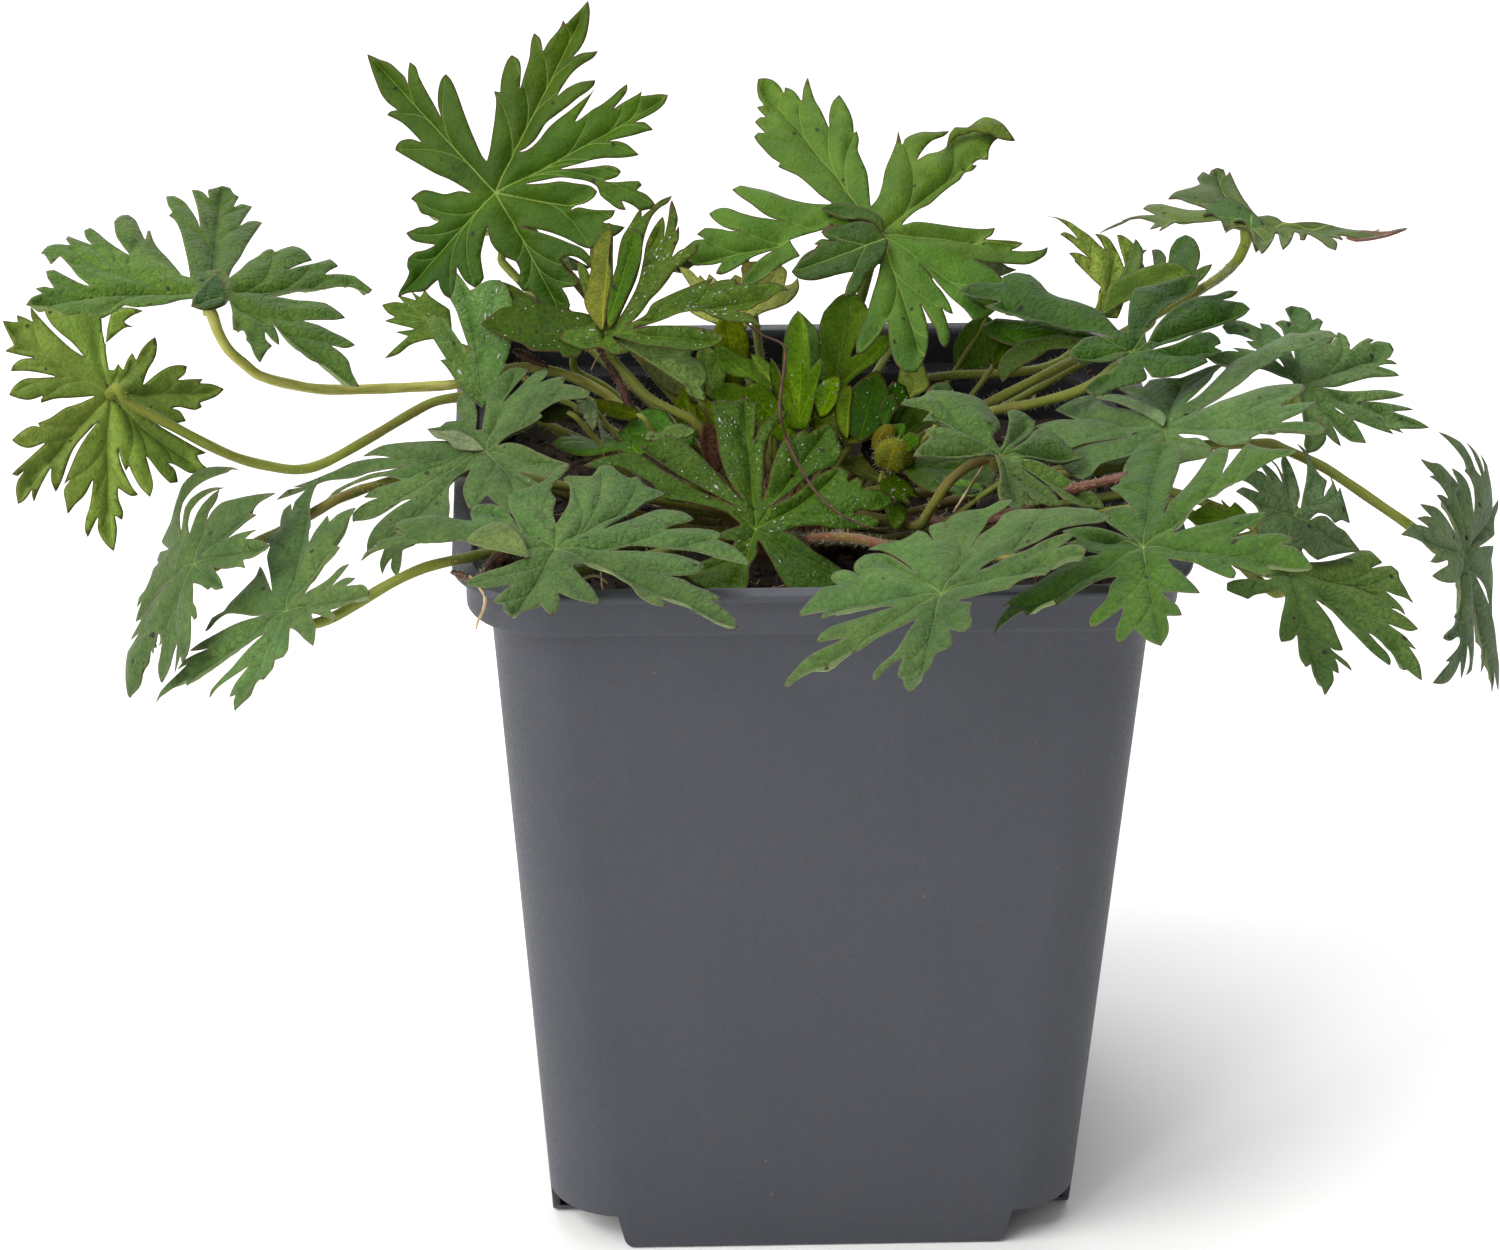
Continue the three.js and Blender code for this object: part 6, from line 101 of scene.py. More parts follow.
     "outline": [-0.41, 7.16, -1.34, 10.82, -2.33, 13.92, -3.62, 17.13, -2.45, 17.36, -2.07, 19.87, -1.69, 22.8, -0.8, 25.36, 0.88, 26.27, 2.81, 26.35, 4.73, 24.81, 5.61, 21.83, 5.31, 17.26, 4.63, 13.2, 3.94, 10.21, 2.88, 4.82, 3.85, 7.3, 5.15, 9.2, 6.44, 11.48, 7.49, 13.74, 8.41, 16.16, 9.44, 18.58, 10.57, 19.13, 11.41, 18.32, 11.23, 16, 10.65, 13.11, 10.36, 11.57, 11.41, 13.85, 12.72, 16.68, 13.75, 18.52, 14.57, 17.48, 16.08, 15.84, 18.09, 14.91, 19.7, 13.67, 18.6, 13.02, 17.15, 12.81, 15.54, 11.6, 13.91, 10.15, 12.42, 8.95, 11.2, 8.46, 9.31, 6.75, 7.46, 5.87, 5.89, 3.71, 4.81, 1.9, 3.84, 0.15, 5.31, 0.32, 7.12, 0.39, 9.51, 0.29, 11.91, 0.71, 13.66, 0.53, 15.16, 0.25, 14.07, -1.55, 12.22, -2.61, 10.47, -3.64, 12.11, -3.8, 14.05, -4.23, 16.11, -4.66, 17.6, -5.9, 17.05, -6.72, 15.9, -6.58, 16.99, -7.28, 18, -8.53, 18.7, -10.42, 19.17, -12.21, 17.61, -11.78, 15.96, -11.12, 14.23, -10.05, 14.33, -11.18, 13.89, -11.94, 12.51, -10.79, 10.93, -9.37, 9.95, -8.67, 10.37, -10.09, 10.02, -11.06, 9.46, -10.86, 8.29, -9.73, 6.93, -8.14, 5.88, -6.8, 4.2, -5.53, 2.84, -4.54, 3.28, -6.27, 4.09, -7.74, 4.66, -9.08, 5.42, -10.81, 5.85, -12.21, 4.71, -11.76, 3, -10.89, 1.5, -10.24, 2.26, -11.98, 3.06, -13.34, 3.33, -14.98, 2.51, -14.81, 1.59, -14.43, 1.63, -15.95, 1.31, -17.47, 0.27, -18.83, -0.91, -17.66, -1.71, -16.31, -2.5, -14.77, -3.48, -15.64, -4.44, -16.33, -4.79, -15.15, -4.48, -13.62, -3.64, -11.81, -3.36, -10.55, -4.82, -11.19, -6.4, -11.74, -7.45, -12.03, -7.7, -10.83, -7.06, -9.59, -5.67, -8.57, -4.93, -7.53, -4.52, -5.89, -3.52, -4.74, -4.99, -4.06, -6.93, -4.22, -8.92, -4.68, -10.54, -5.34, -11.33, -5.39, -11.76, -4.1, -13.48, -4.06, -15.27, -4.74, -15.58, -3.51, -17.21, -3.69, -18.86, -4.23, -19.72, -4.97, -19.06, -3.07, -18.04, -1.81, -17.2, -1.22, -18.12, -0.69, -16.58, 0.2, -14.54, 0.5, -12.51, 1.06, -10.48, 1.68, -8.48, 1.93, -6.55, 1.39, -5.15, 0.85, -7.11, 3.19, -9.5, 6.56, -7.92, 6.49, -9.97, 10.08, -7.59, 9.33, -5.03, 6.95, -2.81, 4.06, -1.4, 1.73, -2.54, 4.36, -3.98, 7.43, -4.96, 10.36, -3.39, 11.03, -1.48, 10.09]},
    {"name": "leaf_14_middle_small", "key": "L17", "seed": 14, "at": (22.54, -22.04, 105.79), "facing": (0.321, -0.1341, 0.9376), "across": (0.9463, 0.0039, -0.3234), "span": 11.8, "droop": 0.161, "foot": (0, -0.15),
     "look": {"mat": "outer", "tint": [0.05, 0.1008, 0.0147], "wet": 0.0, "warm": [0.55, 0.45, 0.4]}, "relief": 1.0,
     "tags": "N........t..T..t..N.t..T....N....T....t..N....T.....N....T.......N...T.....N",
     "outline": [-0.36, 0.79, -1.16, 2.9, -0.03, 6.09, -0.12, 8.37, -0.98, 10.82, -1.46, 13, -2.69, 14.05, -4.7, 13.66, -6.71, 13.02, -9.01, 11.67, -9.93, 9.37, -12.22, 7.1, -12.91, 5.68, -11.02, 5.7, -9.13, 5.47, -10.28, 2.27, -8.6, 3.28, -7.34, 3.07, -6.37, 1.97, -8.03, 1.71, -9.97, 0.37, -9.38, -1.11, -10.69, -3.75, -11.59, -6.35, -9.47, -5.55, -6.95, -4.99, -5.03, -4.17, -3.09, -2.82, -1.1, -1.34, -0.57, -5.83, -0.87, -9.16, -0.62, -11.09, 0.93, -11.76, 1.97, -11.85, 2.64, -9.46, 2.67, -7.35, 3.97, -8.75, 5.95, -8.88, 7.72, -7.62, 6.04, -5.4, 4.08, -3.93, 1.88, -2.26, 4.11, -3.23, 6.07, -4.49, 8.03, -6.35, 10.75, -6.11, 13.57, -4.4, 12.56, -2.58, 10.98, -1.38, 8.93, -1.18, 6.94, -0.18, 4.94, 0.41, 2.23, -0.38, 3.6, 0.5, 5.68, 1.42, 7.77, 2.18, 10.02, 4.72, 11.55, 6.51, 10.21, 7.07, 9.33, 8.04, 8.76, 9.3, 7.74, 10.24, 6.44, 10.97, 5.06, 9.24, 3.2, 4.67, 1.25, 1.25, 1.71, 2.31, 3.71, 6.17, 4.97, 9.77, 4.92, 12.19, 3.94, 13.28, 2.6, 13.49, 1.53, 12.02, 1.44, 9.48, 0.86, 5.55, 0.09, 1.82]},
    {"name": "leaf_15_right_middle", "key": "L18", "seed": 15, "at": (43.38, -12.41, 104.81), "facing": (-0.3029, -0.0197, 0.9528), "across": (0.9522, -0.0488, 0.3016), "span": 16.8, "droop": 0.134, "foot": (0, 0),
     "look": {"mat": "outer", "tint": [0.0619, 0.1188, 0.0312], "wet": 0.0}, "relief": 1.0,
     "tags": "N..t....T..t...N..........T.........N......t....t.....T.....t.....N...T....T..N.....T.....N..T..t....T..t....",
     "outline": [-1.04, 5.57, -2.35, 10.14, -3.73, 14.35, -4.93, 17.4, -3.34, 17.15, -1.7, 15.3, -0.68, 17.21, 1.26, 16.36, 3.15, 14.82, 5.15, 15.63, 7.16, 16.49, 8.95, 15.98, 7.64, 13.78, 6.84, 11.31, 5.08, 8.14, 3.21, 5.24, 4.99, 6.79, 6.72, 9.55, 8.49, 12.81, 10.41, 16.52, 12.42, 17.51, 14.52, 19.69, 16.57, 21.14, 17.95, 22.26, 19.77, 20.66, 22.32, 20.26, 23.99, 17.33, 22.1, 17.66, 20.02, 15.81, 17.4, 15.09, 14.65, 12.61, 12.6, 10.9, 11.14, 8.54, 9.09, 6.62, 7.03, 4.81, 5.67, 3.65, 4.48, 1.49, 5.55, 2.11, 7.55, 3.18, 10.15, 3.98, 12.76, 4.87, 14.66, 4.86, 16.5, 4.24, 18.27, 3.04, 17.71, 1.09, 16.04, -0.6, 14.68, -1.77, 17.15, -2.02, 19.21, -2.64, 17.52, -4.53, 15.65, -5.71, 14.21, -6.46, 16.61, -7.25, 18.68, -8.69, 19.44, -10.65, 17.53, -10.11, 15.2, -8.83, 13.42, -8.04, 11.79, -8.12, 10.23, -8.74, 10.51, -9.67, 8.88, -9.7, 7.07, -9.08, 5.62, -7.27, 4.78, -5.46, 3.13, -3.98, 1.68, -3.13, 2.43, -4.71, 4, -5.59, 4.94, -7.73, 5.54, -9.36, 5.38, -10.85, 3.73, -11.03, 1.86, -10.81, 0.56, -11.12, -0.73, -11.41, -1.4, -8.96, -1.97, -6.75, -2.03, -4.51, -3.37, -5.04, -5.05, -5.03, -7.23, -4.63, -8.55, -4.8, -10, -6.78, -11.32, -6.92, -12.69, -3.95, -13.52, -0.37, -12.09, 1.48, -9.44, 1.47, -6.21, 0.46, -3.64, -0.22, -6.83, 0.94, -10.05, 2.28, -12.29, 2.59, -13.44, 6.19, -14.97, 11.39, -16.37, 13.83, -14.88, 13.84, -12.89, 13.02, -10.81, 11.06, -12.17, 14.18, -13.41, 17.29, -11.61, 18.63, -9.97, 19.01, -8.38, 18.26, -7.42, 15.39, -6.25, 11.65, -4.38, 9.29, -2.31, 6.2]},
    {"name": "leaf_16_right_upper", "key": "L19", "seed": 16, "at": (40.54, -0.95, 110.92), "facing": (0.125, -0.2233, 0.9667), "across": (0.9914, -0.0098, -0.1304), "span": 15.5, "droop": 0.026, "foot": (0, 0),
     "look": {"mat": "outer", "tint": [0.0261, 0.0736, 0.0045], "wet": 0.0}, "relief": 1.0,
     "tags": "N........t...T...t.......N....T...N...T......N.......T.t......N......T....t.......N......T......N",
     "outline": [-1.57, 3.77, -3.67, 7.5, -5.54, 8.75, -7.43, 9.55, -8.96, 9.95, -10.21, 10.88, -11.15, 12.83, -12.36, 14.5, -14.3, 14.59, -15.91, 13.33, -16.37, 11.58, -18.31, 11.68, -20.27, 10.84, -21.63, 8.95, -20.13, 7.83, -18.07, 7.74, -16.54, 7.56, -18.53, 5.8, -16.65, 5, -14.75, 4.42, -13.5, 3.74, -10.94, 3.76, -9.3, 3.15, -7.15, 2.65, -4.59, 2.7, -2.33, 1.79, -3.99, 1.91, -5.96, 1.07, -6.92, -0.25, -8.05, -2.48, -7.86, -3.78, -6.22, -3.91, -4.32, -3.98, -2.76, -3.46, -1.42, -2.3, -2.04, -4.2, -3.41, -6.01, -5.16, -7.87, -6.54, -10.08, -5.97, -11.26, -4.34, -11.38, -3.12, -9.86, -1.4, -8.66, 0.56, -7.62, 1.53, -6.34, 1.18, -3.77, 2.19, -5.98, 3.87, -5.63, 5.85, -4.55, 7.9, -2.78, 9.69, -1.05, 9.15, 0.41, 10.46, 0.7, 11.71, 1.89, 10.73, 2.57, 11.72, 3.71, 11.43, 5.02, 10.47, 5.95, 9.13, 5.41, 7.75, 4.18, 6.07, 2.43, 4.31, 1.14, 2.31, 0.03, 4.36, 1.83, 6.38, 3.19, 9.16, 5.88, 11.22, 7.28, 13.3, 8.93, 15.14, 10.77, 16.22, 12.67, 15.4, 13.9, 13.7, 13.97, 12.65, 13.96, 14.04, 15, 14.95, 16.41, 13.63, 16.34, 11.81, 14.95, 10.19, 14.34, 8.4, 13.21, 6.7, 11.39, 4.8, 8.38, 3.29, 5.26, 2.02, 1.55, 2.05, 4.07, 3.42, 7.14, 5.36, 10.85, 7.35, 13.2, 9.09, 15.52, 9.91, 17.63, 10.15, 19.14, 8.83, 19.07, 6.75, 17.62, 3.31, 15.15, 1.27, 13.98, 0.44, 11.18, -0.05, 7.55, -0.43, 3.55]},
    {"name": "leaf_17_right_outer", "key": "L20", "seed": 17, "at": (63.16, 3.36, 104.22), "facing": (0.2458, -0.3349, 0.9096), "across": (0.9686, 0.0495, -0.2436), "span": 11.1, "droop": 0.161, "foot": (0, 0),
     "look": {"mat": "outer", "tint": [0.0735, 0.1439, 0.0379], "wet": 0.0, "pale": 0.15}, "relief": 1.0,
     "tags": "N.....T...t....N...t...T....t...N...t....tT....t.....N..t.T...t...T...t....t....N.....t......t....T..t..t....N...T.....t...N....T...N",
     "outline": [-1.33, 0.19, -3.04, 0.51, -4.97, 1.21, -6.94, 1.17, -9.56, 1.04, -11.47, 1.47, -12.46, 2.09, -11.35, 3.08, -9.59, 4.03, -8.01, 4.16, -8.87, 4.8, -7.28, 4.94, -5.97, 4.83, -5.05, 4.85, -3.43, 3.61, -2.22, 2.31, -2.98, 4.14, -4.64, 4.95, -5.91, 5.47, -6.99, 6.69, -5.76, 6.99, -7.67, 7.81, -9.24, 7.88, -9.92, 9.02, -9, 10.33, -7.34, 10.97, -5.8, 10.49, -4.52, 9.96, -4.64, 11.27, -3.3, 11.22, -2.25, 9.75, -1.3, 7.41, -0.67, 4.41, -0.73, 7.59, -1.6, 9.51, -1.83, 11.01, -2.54, 11.91, -1.46, 12.96, -0.09, 12.97, 0.51, 12.27, -0.26, 13.83, -0.7, 15.77, 0.26, 16.83, 1.94, 16.99, 2.8, 16.15, 2.87, 14.54, 3.81, 15.38, 4.42, 14.7, 3.72, 12.58, 5.16, 12.93, 5.93, 12.34, 4.74, 9.61, 3.24, 6.4, 1.97, 3.63, 3.81, 7.7, 5.69, 11.56, 6.32, 13.19, 7.38, 12.73, 7.7, 10.85, 7.55, 9.68, 9.3, 12.22, 10.64, 13.72, 11.48, 13.65, 10.59, 12.35, 12.06, 13.69, 13.83, 14.07, 14.22, 12.69, 13.38, 10.77, 12.71, 10.02, 13.6, 10.22, 14.24, 9.65, 12.41, 8.81, 11.29, 7.87, 12.72, 7.88, 13.7, 7.7, 14.2, 7.09, 12.05, 5.9, 9.77, 4.68, 6.7, 2.38, 4.44, 0.71, 2.31, -0.04, 3, 0, 5.81, 0.45, 8.73, 1.62, 10.98, 2.77, 13.18, 3.34, 14.47, 3.32, 13.04, 2.09, 10.76, 0.71, 8.07, -0.78, 9.98, -0.01, 12.16, 0.53, 14.34, 0.89, 15.48, 0.81, 13.51, -0.24, 12.45, -0.89, 14.16, -0.92, 16, -1.08, 17.51, -1.75, 15.4, -2.85, 13.03, -3.83, 13.55, -4.35, 12.13, -4.38, 11.56, -4.42, 12.07, -5.13, 10.24, -5.12, 8.16, -4.83, 6.09, -4.49, 4.78, -3.5, 3.71, -3.13, 4.76, -3.87, 6.36, -4.58, 7.36, -6.19, 8.06, -8.22, 6.53, -8.4, 4.9, -8.07, 3.86, -7.01, 2.84, -5.93, 3.84, -7.37, 4.52, -9.9, 3.33, -9.24, 2.44, -8.14, 1.73, -6.26, 1.21, -3.75, 1.87, -6.22, 2.46, -7.79, 2.51, -9.49, 1.33, -11.5, -0.04, -12.37, -0.52, -11.16, -0.31, -9.42, -0.46, -6.88, -0.65, -3.37]},
    {"name": "leaf_18_right_low", "key": "L22", "seed": 18, "at": (57.83, -28.39, 92.07), "facing": (0.2412, -0.2994, 0.9231), "across": (0.9698, 0.0378, -0.2411), "span": 10.5, "droop": 0.181, "foot": (0, 0),
     "look": {"mat": "outer", "tint": [0.0656, 0.1263, 0.0215], "wet": 0.0}, "relief": 1.0,
     "tags": "N......t....t...T.....t.N..T......t...T..t.......t......N...t.....t...t...T....t....t.....N..t...T......t..N.T.",
     "outline": [2.05, 2.38, 4.12, 3.14, 6.27, 4.41, 8.55, 6.43, 10.11, 7.98, 11.58, 8.66, 12.43, 7.81, 12.99, 6.84, 12.03, 5.78, 11.08, 4.73, 12.59, 5.84, 14.24, 6.82, 15.11, 6.03, 15.19, 4.47, 15.72, 3.16, 16.12, 1.81, 16.55, 0.68, 15.49, 1.14, 14.1, 1.07, 12.74, 1.21, 13.99, 0.08, 14.84, -1.02, 15.14, -2.16, 14.23, -1.65, 13.12, -1.78, 14.05, -2.1, 15.5, -2.73, 16.76, -3.96, 15.58, -4.82, 14.2, -4.88, 12.44, -4.73, 13.48, -5.35, 14.79, -6.03, 15.78, -7.16, 16.15, -7.7, 15.2, -7.57, 15.92, -8.81, 16.49, -10.26, 16.58, -12.7, 15.67, -12.23, 14.64, -11.47, 14.34, -11.91, 13.47, -10.76, 12.49, -9.31, 11.22, -8.12, 9.53, -7.24, 10.91, -8.73, 12.05, -9.8, 12.51, -10.95, 12.32, -11.83, 11.02, -11.16, 9.48, -10.07, 7.84, -8.51, 6.59, -7.29, 5.35, -5.87, 4.1, -4.76, 2.81, -4.32, 4.02, -5.97, 4.86, -7.37, 5.31, -8.87, 6.09, -11.53, 5.03, -11.86, 4.26, -11.45, 4.88, -12.22, 5.9, -12.86, 6.66, -13.42, 7.14, -14.37, 5.98, -13.78, 4.97, -13.14, 5.32, -14.14, 5.39, -15.37, 4.62, -15.12, 4.69, -16.66, 4.12, -18.05, 3.43, -19.3, 2.97, -17.9, 2.23, -17.02, 1.88, -15.87, 1.79, -14.97, 1.12, -15.6, 0.4, -14.39, 0.21, -12.4, 0.15, -10.83, -0.53, -11.79, -1.95, -12.45, -2.16, -11.07, -1.8, -8.57, -1.32, -6.32, -1.12, -5.09, -1.33, -4.29, -1.96, -4.1, -3.65, -4.83, -4.94, -5.44, -5.86, -6.29, -6.48, -6.07, -7.46, -5.73, -8.42, -5.21, -8.36, -3.99, -7.33, -3.29, -5.42, -2.76, -3.52, -2.54, -2.2, -1.87, -4.11, -1.95, -5.97, -1.61, -7.42, -0.78, -5.81, 0.64, -3.59, 1.51, -1.23, 2.12, -0.4, 3.96, 1.04, 5.25, 1.97, 4.15]},
    {"name": "leaf_19_far_right", "key": "L23", "seed": 19, "at": (82.23, -15, 88.33), "facing": (0.8275, -0.4876, 0.2782), "across": (0.5612, 0.704, -0.4353), "span": 13.9, "droop": 0.243, "foot": (0, 0),
     "look": {"mat": "outer", "tint": [0.0805, 0.1356, 0.0556], "wet": 0.0}, "relief": 1.0,
     "tags": "N....t...t.....T.....t....t...N...t..t....t..T....t.....t...N...t....T...t.....N...T.....N.t..T...N......t....T.......T...t...N....t......T..t....t...",
     "outline": [-2, 1.04, -4.04, 2.46, -5.91, 3.9, -7.73, 4.84, -9.82, 4.99, -11.64, 4.91, -10.6, 4.27, -9.08, 3.55, -10.69, 3.51, -12.51, 3.06, -11, 2.59, -9.68, 2.1, -11.92, 2.25, -13.67, 2.06, -14.99, 1.3, -16.08, 0.57, -14.18, 0.51, -12.02, 0.23, -9.81, -0.42, -7.96, -0.6, -9.13, -1.6, -9.8, -2.17, -8.18, -2.13, -5.52, -1.48, -5.51, -2.11, -7.91, -3.1, -9.27, -3.86, -7.35, -4.3, -4.86, -4.3, -3.04, -3.99, -2.55, -3.18, -1.82, -4.86, -1.81, -6.75, -2.17, -7.79, -3.16, -8.38, -1.98, -8.64, -3.39, -9.78, -5.44, -11.22, -3.52, -11.41, -1.46, -10.72, -0.49, -11, -1.06, -12.06, -3.89, -13.94, -2.77, -13.96, -4.34, -15.1, -6.43, -16.89, -3.79, -16.79, -2.04, -16.14, -0.47, -14.75, 0.29, -13.43, 1.37, -15.58, 1.85, -14.29, 1.91, -12.65, 1.74, -11.16, 2.87, -12.56, 3.31, -13.78, 2.8, -15.08, 4.2, -14.32, 3.98, -11.82, 3.2, -9.38, 2.19, -6.72, 4.04, -8.67, 5.66, -10.4, 7.41, -12.12, 7.47, -14.26, 8.5, -12.9, 8.34, -11.39, 9.83, -13.15, 11.81, -14.86, 12.86, -16.29, 13.08, -14.74, 12.48, -13.27, 13.95, -14.65, 15.37, -15.79, 14.8, -13.29, 12.98, -10.92, 10.68, -7.97, 7.51, -5.51, 4.89, -3.9, 2.26, -2.41, 5.2, -3.23, 7.34, -4.51, 8.46, -6.05, 9.55, -7.07, 9.12, -4.95, 9.29, -2.38, 8.41, 0.08, 9.52, 2.01, 6.05, 1.59, 3.73, 1.19, 6.53, 2.16, 10.26, 3.53, 10.8, 5.54, 13.37, 7.43, 13.8, 8.53, 10.86, 7.1, 8.15, 5.59, 4.9, 3.89, 2.88, 2.75, 5.75, 4.25, 8.68, 5.91, 10.43, 7.18, 11.08, 8.82, 11.04, 10.77, 10.65, 12.68, 8.67, 13.71, 9.28, 12.49, 9.06, 11.16, 7.89, 12.95, 6.12, 14.02, 3.91, 14.63, 5.52, 13.54, 6.94, 11.78, 7.63, 10.7, 5.6, 11.34, 4.43, 12.75, 2.06, 14.25, -1.4, 14.82, -4.45, 14.94, -1.73, 14, 0.78, 12.78, 2.49, 11.45, 1.52, 10.68, 2.95, 10.09, 3.88, 8.92, 3.63, 7.21, 2.69, 5.16, 2.55, 7.07, 2.3, 8.33, 1.4, 9.5, -0.22, 10.2, -2.44, 10.56, -1.39, 9.41, -0.85, 8.32, -2.07, 9.07, -3.77, 9.89, -5.64, 10.68, -8.17, 10.63, -10.28, 10.76, -8.87, 9.78, -7.35, 9.07, -8.63, 8.79, -6.81, 8.24, -5.5, 7.38, -4.44, 6.36, -6.17, 6.66, -7.43, 6.52, -5.47, 5.09, -4.1, 3.98, -2.96, 2.59]},
    {"name": "leaf_20_bright_right", "key": "L25", "seed": 20, "at": (39.43, 12, 109.46), "facing": (0.5586, -0.5245, 0.6426), "across": (0.829, 0.3262, -0.4544), "span": 5.7, "droop": 0.051, "foot": (-0.45, 1.8),
     "look": {"mat": "inner", "tint": [0.1497, 0.2245, 0.0349], "wet": 1.0}, "relief": 1.0,
     "tags": "N......T.....t.....T.......t.....N...T...t...N.T.....",
     "outline": [-1.47, 0.39, -2.92, 0.64, -2.19, 2.25, -1.92, 4.01, -1.55, 4.75, -3.29, 5.67, -4.83, 6.96, -6.52, 8.21, -5.03, 8.73, -3.9, 8.68, -3.09, 8.5, -4.67, 9.33, -6.23, 10.15, -7.82, 10.67, -6.97, 11.28, -5.84, 11.22, -4.72, 10.85, -6.1, 12.06, -7.99, 12.93, -9.61, 12.81, -7.65, 13.2, -6.02, 13.17, -4.43, 12.66, -2.82, 12.16, -1.56, 11.38, -0.43, 10.86, -1.16, 12.15, -1.94, 12.79, -0.59, 13.14, 0.55, 12.78, 1.32, 11.82, 2.05, 10.54, 2.73, 8.46, 1.84, 5.51, 2.88, 8.21, 2.7, 10.16, 2.18, 12.14, 1.83, 14.04, 2.87, 14.27, 4.03, 13.93, 5.32, 13.01, 6.91, 13.61, 6.15, 12.7, 5.32, 10.98, 4.32, 9.21, 3.46, 6.88, 5.03, 9.47, 5.86, 11.34, 6.58, 9.59, 5.23, 7.69, 3.02, 5.49, 2.02, 3.29, 1.04, 0.97]},
    {"name": "leaf_21_right_small", "key": "L21", "seed": 21, "at": (58.95, -23.63, 97.64), "facing": (0.3499, -0.5948, 0.7238), "across": (0.9364, 0.1986, -0.2894), "span": 6.9, "droop": 0.197, "foot": (0, 0),
     "look": {"mat": "outer", "tint": [0.0746, 0.131, 0.0506], "wet": 0.0}, "relief": 0.8,
     "tags": "N....T....t....t..t..T.....N......T..t.N.T....t....T...N..T.t.t....t...T....",
     "outline": [0.62, 0.97, 1.06, 2.94, 1.75, 5.32, 2.19, 7.69, 2.11, 9.2, 1.19, 10.68, 2.1, 10.12, 2.71, 9.35, 3.08, 7.91, 3.93, 6.61, 4.87, 5.96, 4.4, 4.49, 4.13, 3.4, 4.85, 4.61, 5.59, 5.85, 5.31, 7.13, 5.9, 5.94, 6.35, 4.72, 6.75, 5.57, 7.04, 4.18, 7.36, 2.81, 7.78, 0.64, 6.58, 0.74, 5.48, 0.03, 4.78, 0.69, 4.06, 0.93, 3.03, 0.82, 1.8, -0.45, 3, 0.39, 4.19, 0.68, 4.9, 0.3, 5.76, -0.32, 6.94, -0.7, 7.95, -1.68, 9.11, -2.88, 6.82, -3.74, 4.58, -4.69, 2.85, -5.6, 1.71, -5.18, 0.72, -4.46, 0.32, -6.11, -0.35, -7.27, -1.99, -6.78, -3.35, -5.43, -4.01, -3.82, -4.79, -3.8, -5.69, -2.85, -4.77, -2.18, -4.99, -0.98, -5.58, 0.32, -6.82, 1.27, -7.94, 1.98, -6.99, 2.68, -5.08, 2.24, -3.52, 1.91, -2.79, 1.03, -4.57, 2.03, -6.04, 3.25, -7.54, 3.9, -5.85, 5.47, -4.28, 5.29, -3.55, 4.67, -4.66, 6.71, -3.63, 6.45, -2.41, 5.33, -1.6, 4, -2.16, 6.27, -3.23, 7.58, -2.23, 6.86, -1.45, 5.36, -1.49, 7.31, -0.91, 8.66, -0.05, 6.71, 0.41, 4.71, 0.63, 2.84, 0.22, 1.32]},
    {"name": "young_leaf_01", "key": "L9", "seed": 22, "at": (-40.81, 1, 104.23), "facing": (-0.3512, -0.8029, 0.4817), "across": (0.9361, -0.31, 0.166), "span": 7.2, "droop": 0.046, "foot": (-0.6, 0.15),
     "look": {"mat": "outer", "tint": [0.0627, 0.1304, 0.025], "wet": 1.0}, "relief": 0.6,
     "tags": "N....t.....T...N...t..T.....T......N",
     "outline": [-0.54, -1.25, -2.04, -0.15, -3.42, 1.2, -4.39, 2.53, -5.51, 4.13, -6.49, 5.22, -5.67, 5.3, -6.94, 7.18, -7.94, 8.91, -8.38, 10.23, -7.85, 10.98, -6.88, 11.05, -5.9, 10.35, -4.77, 8.86, -3.5, 7.11, -2.11, 5.49, -2.97, 7.6, -3.69, 9.57, -4.42, 11.55, -5.27, 13.03, -4.88, 13.78, -4.63, 14.8, -4.39, 16.35, -3.54, 15.39, -2.56, 14.04, -1.88, 14.26, -1.21, 14.74, 0.14, 15.18, 1.5, 15.1, 2.33, 14.28, 2.9, 13.09, 3.21, 11.14, 3.26, 8.56, 3.16, 6.64, 2.52, 4.48, 1.74, 1.58]},
    {"name": "young_leaf_02", "key": "L10", "seed": 23, "at": (-27.4, 11.16, 108.01), "facing": (0.3566, -0.1443, 0.923), "across": (0.9334, 0.0131, -0.3586), "span": 6.5, "droop": 0.094, "foot": (-1.65, -0.45),
     "look": {"mat": "young", "tint": [0.054, 0.0943, 0.0046], "wet": 0.0}, "relief": 0.6,
     "tags": "N.....T...t..T....T..N",
     "outline": [-1.01, 2.58, -2.41, 5.65, -3.78, 7.09, -5.82, 7.52, -8.51, 7.28, -10.69, 8.59, -12.57, 8.92, -13.81, 5.59, -14.23, 2.59, -12.35, 1.97, -14.2, -1.12, -13.42, -3.54, -12.01, -5.32, -10.01, -6.02, -8.06, -5.51, -7.6, -6.71, -5.38, -6.04, -3.45, -4.77, -3.77, -6.36, -2.06, -5.66, -1.12, -2.97, -0.49, -1.6]},
    {"name": "young_leaf_03", "key": "L11", "seed": 24, "at": (-44.9, 20, 107.25), "facing": (-0.1144, -0.5183, 0.8475), "across": (0.9929, -0.087, 0.0808), "span": 3.8, "droop": 0.116, "foot": (-1.65, 0),
     "look": {"mat": "young", "tint": [0.0724, 0.1271, 0.0225], "wet": 1.0}, "relief": 0.5,
     "tags": "N..T.t..T..T..T..t..T....N",
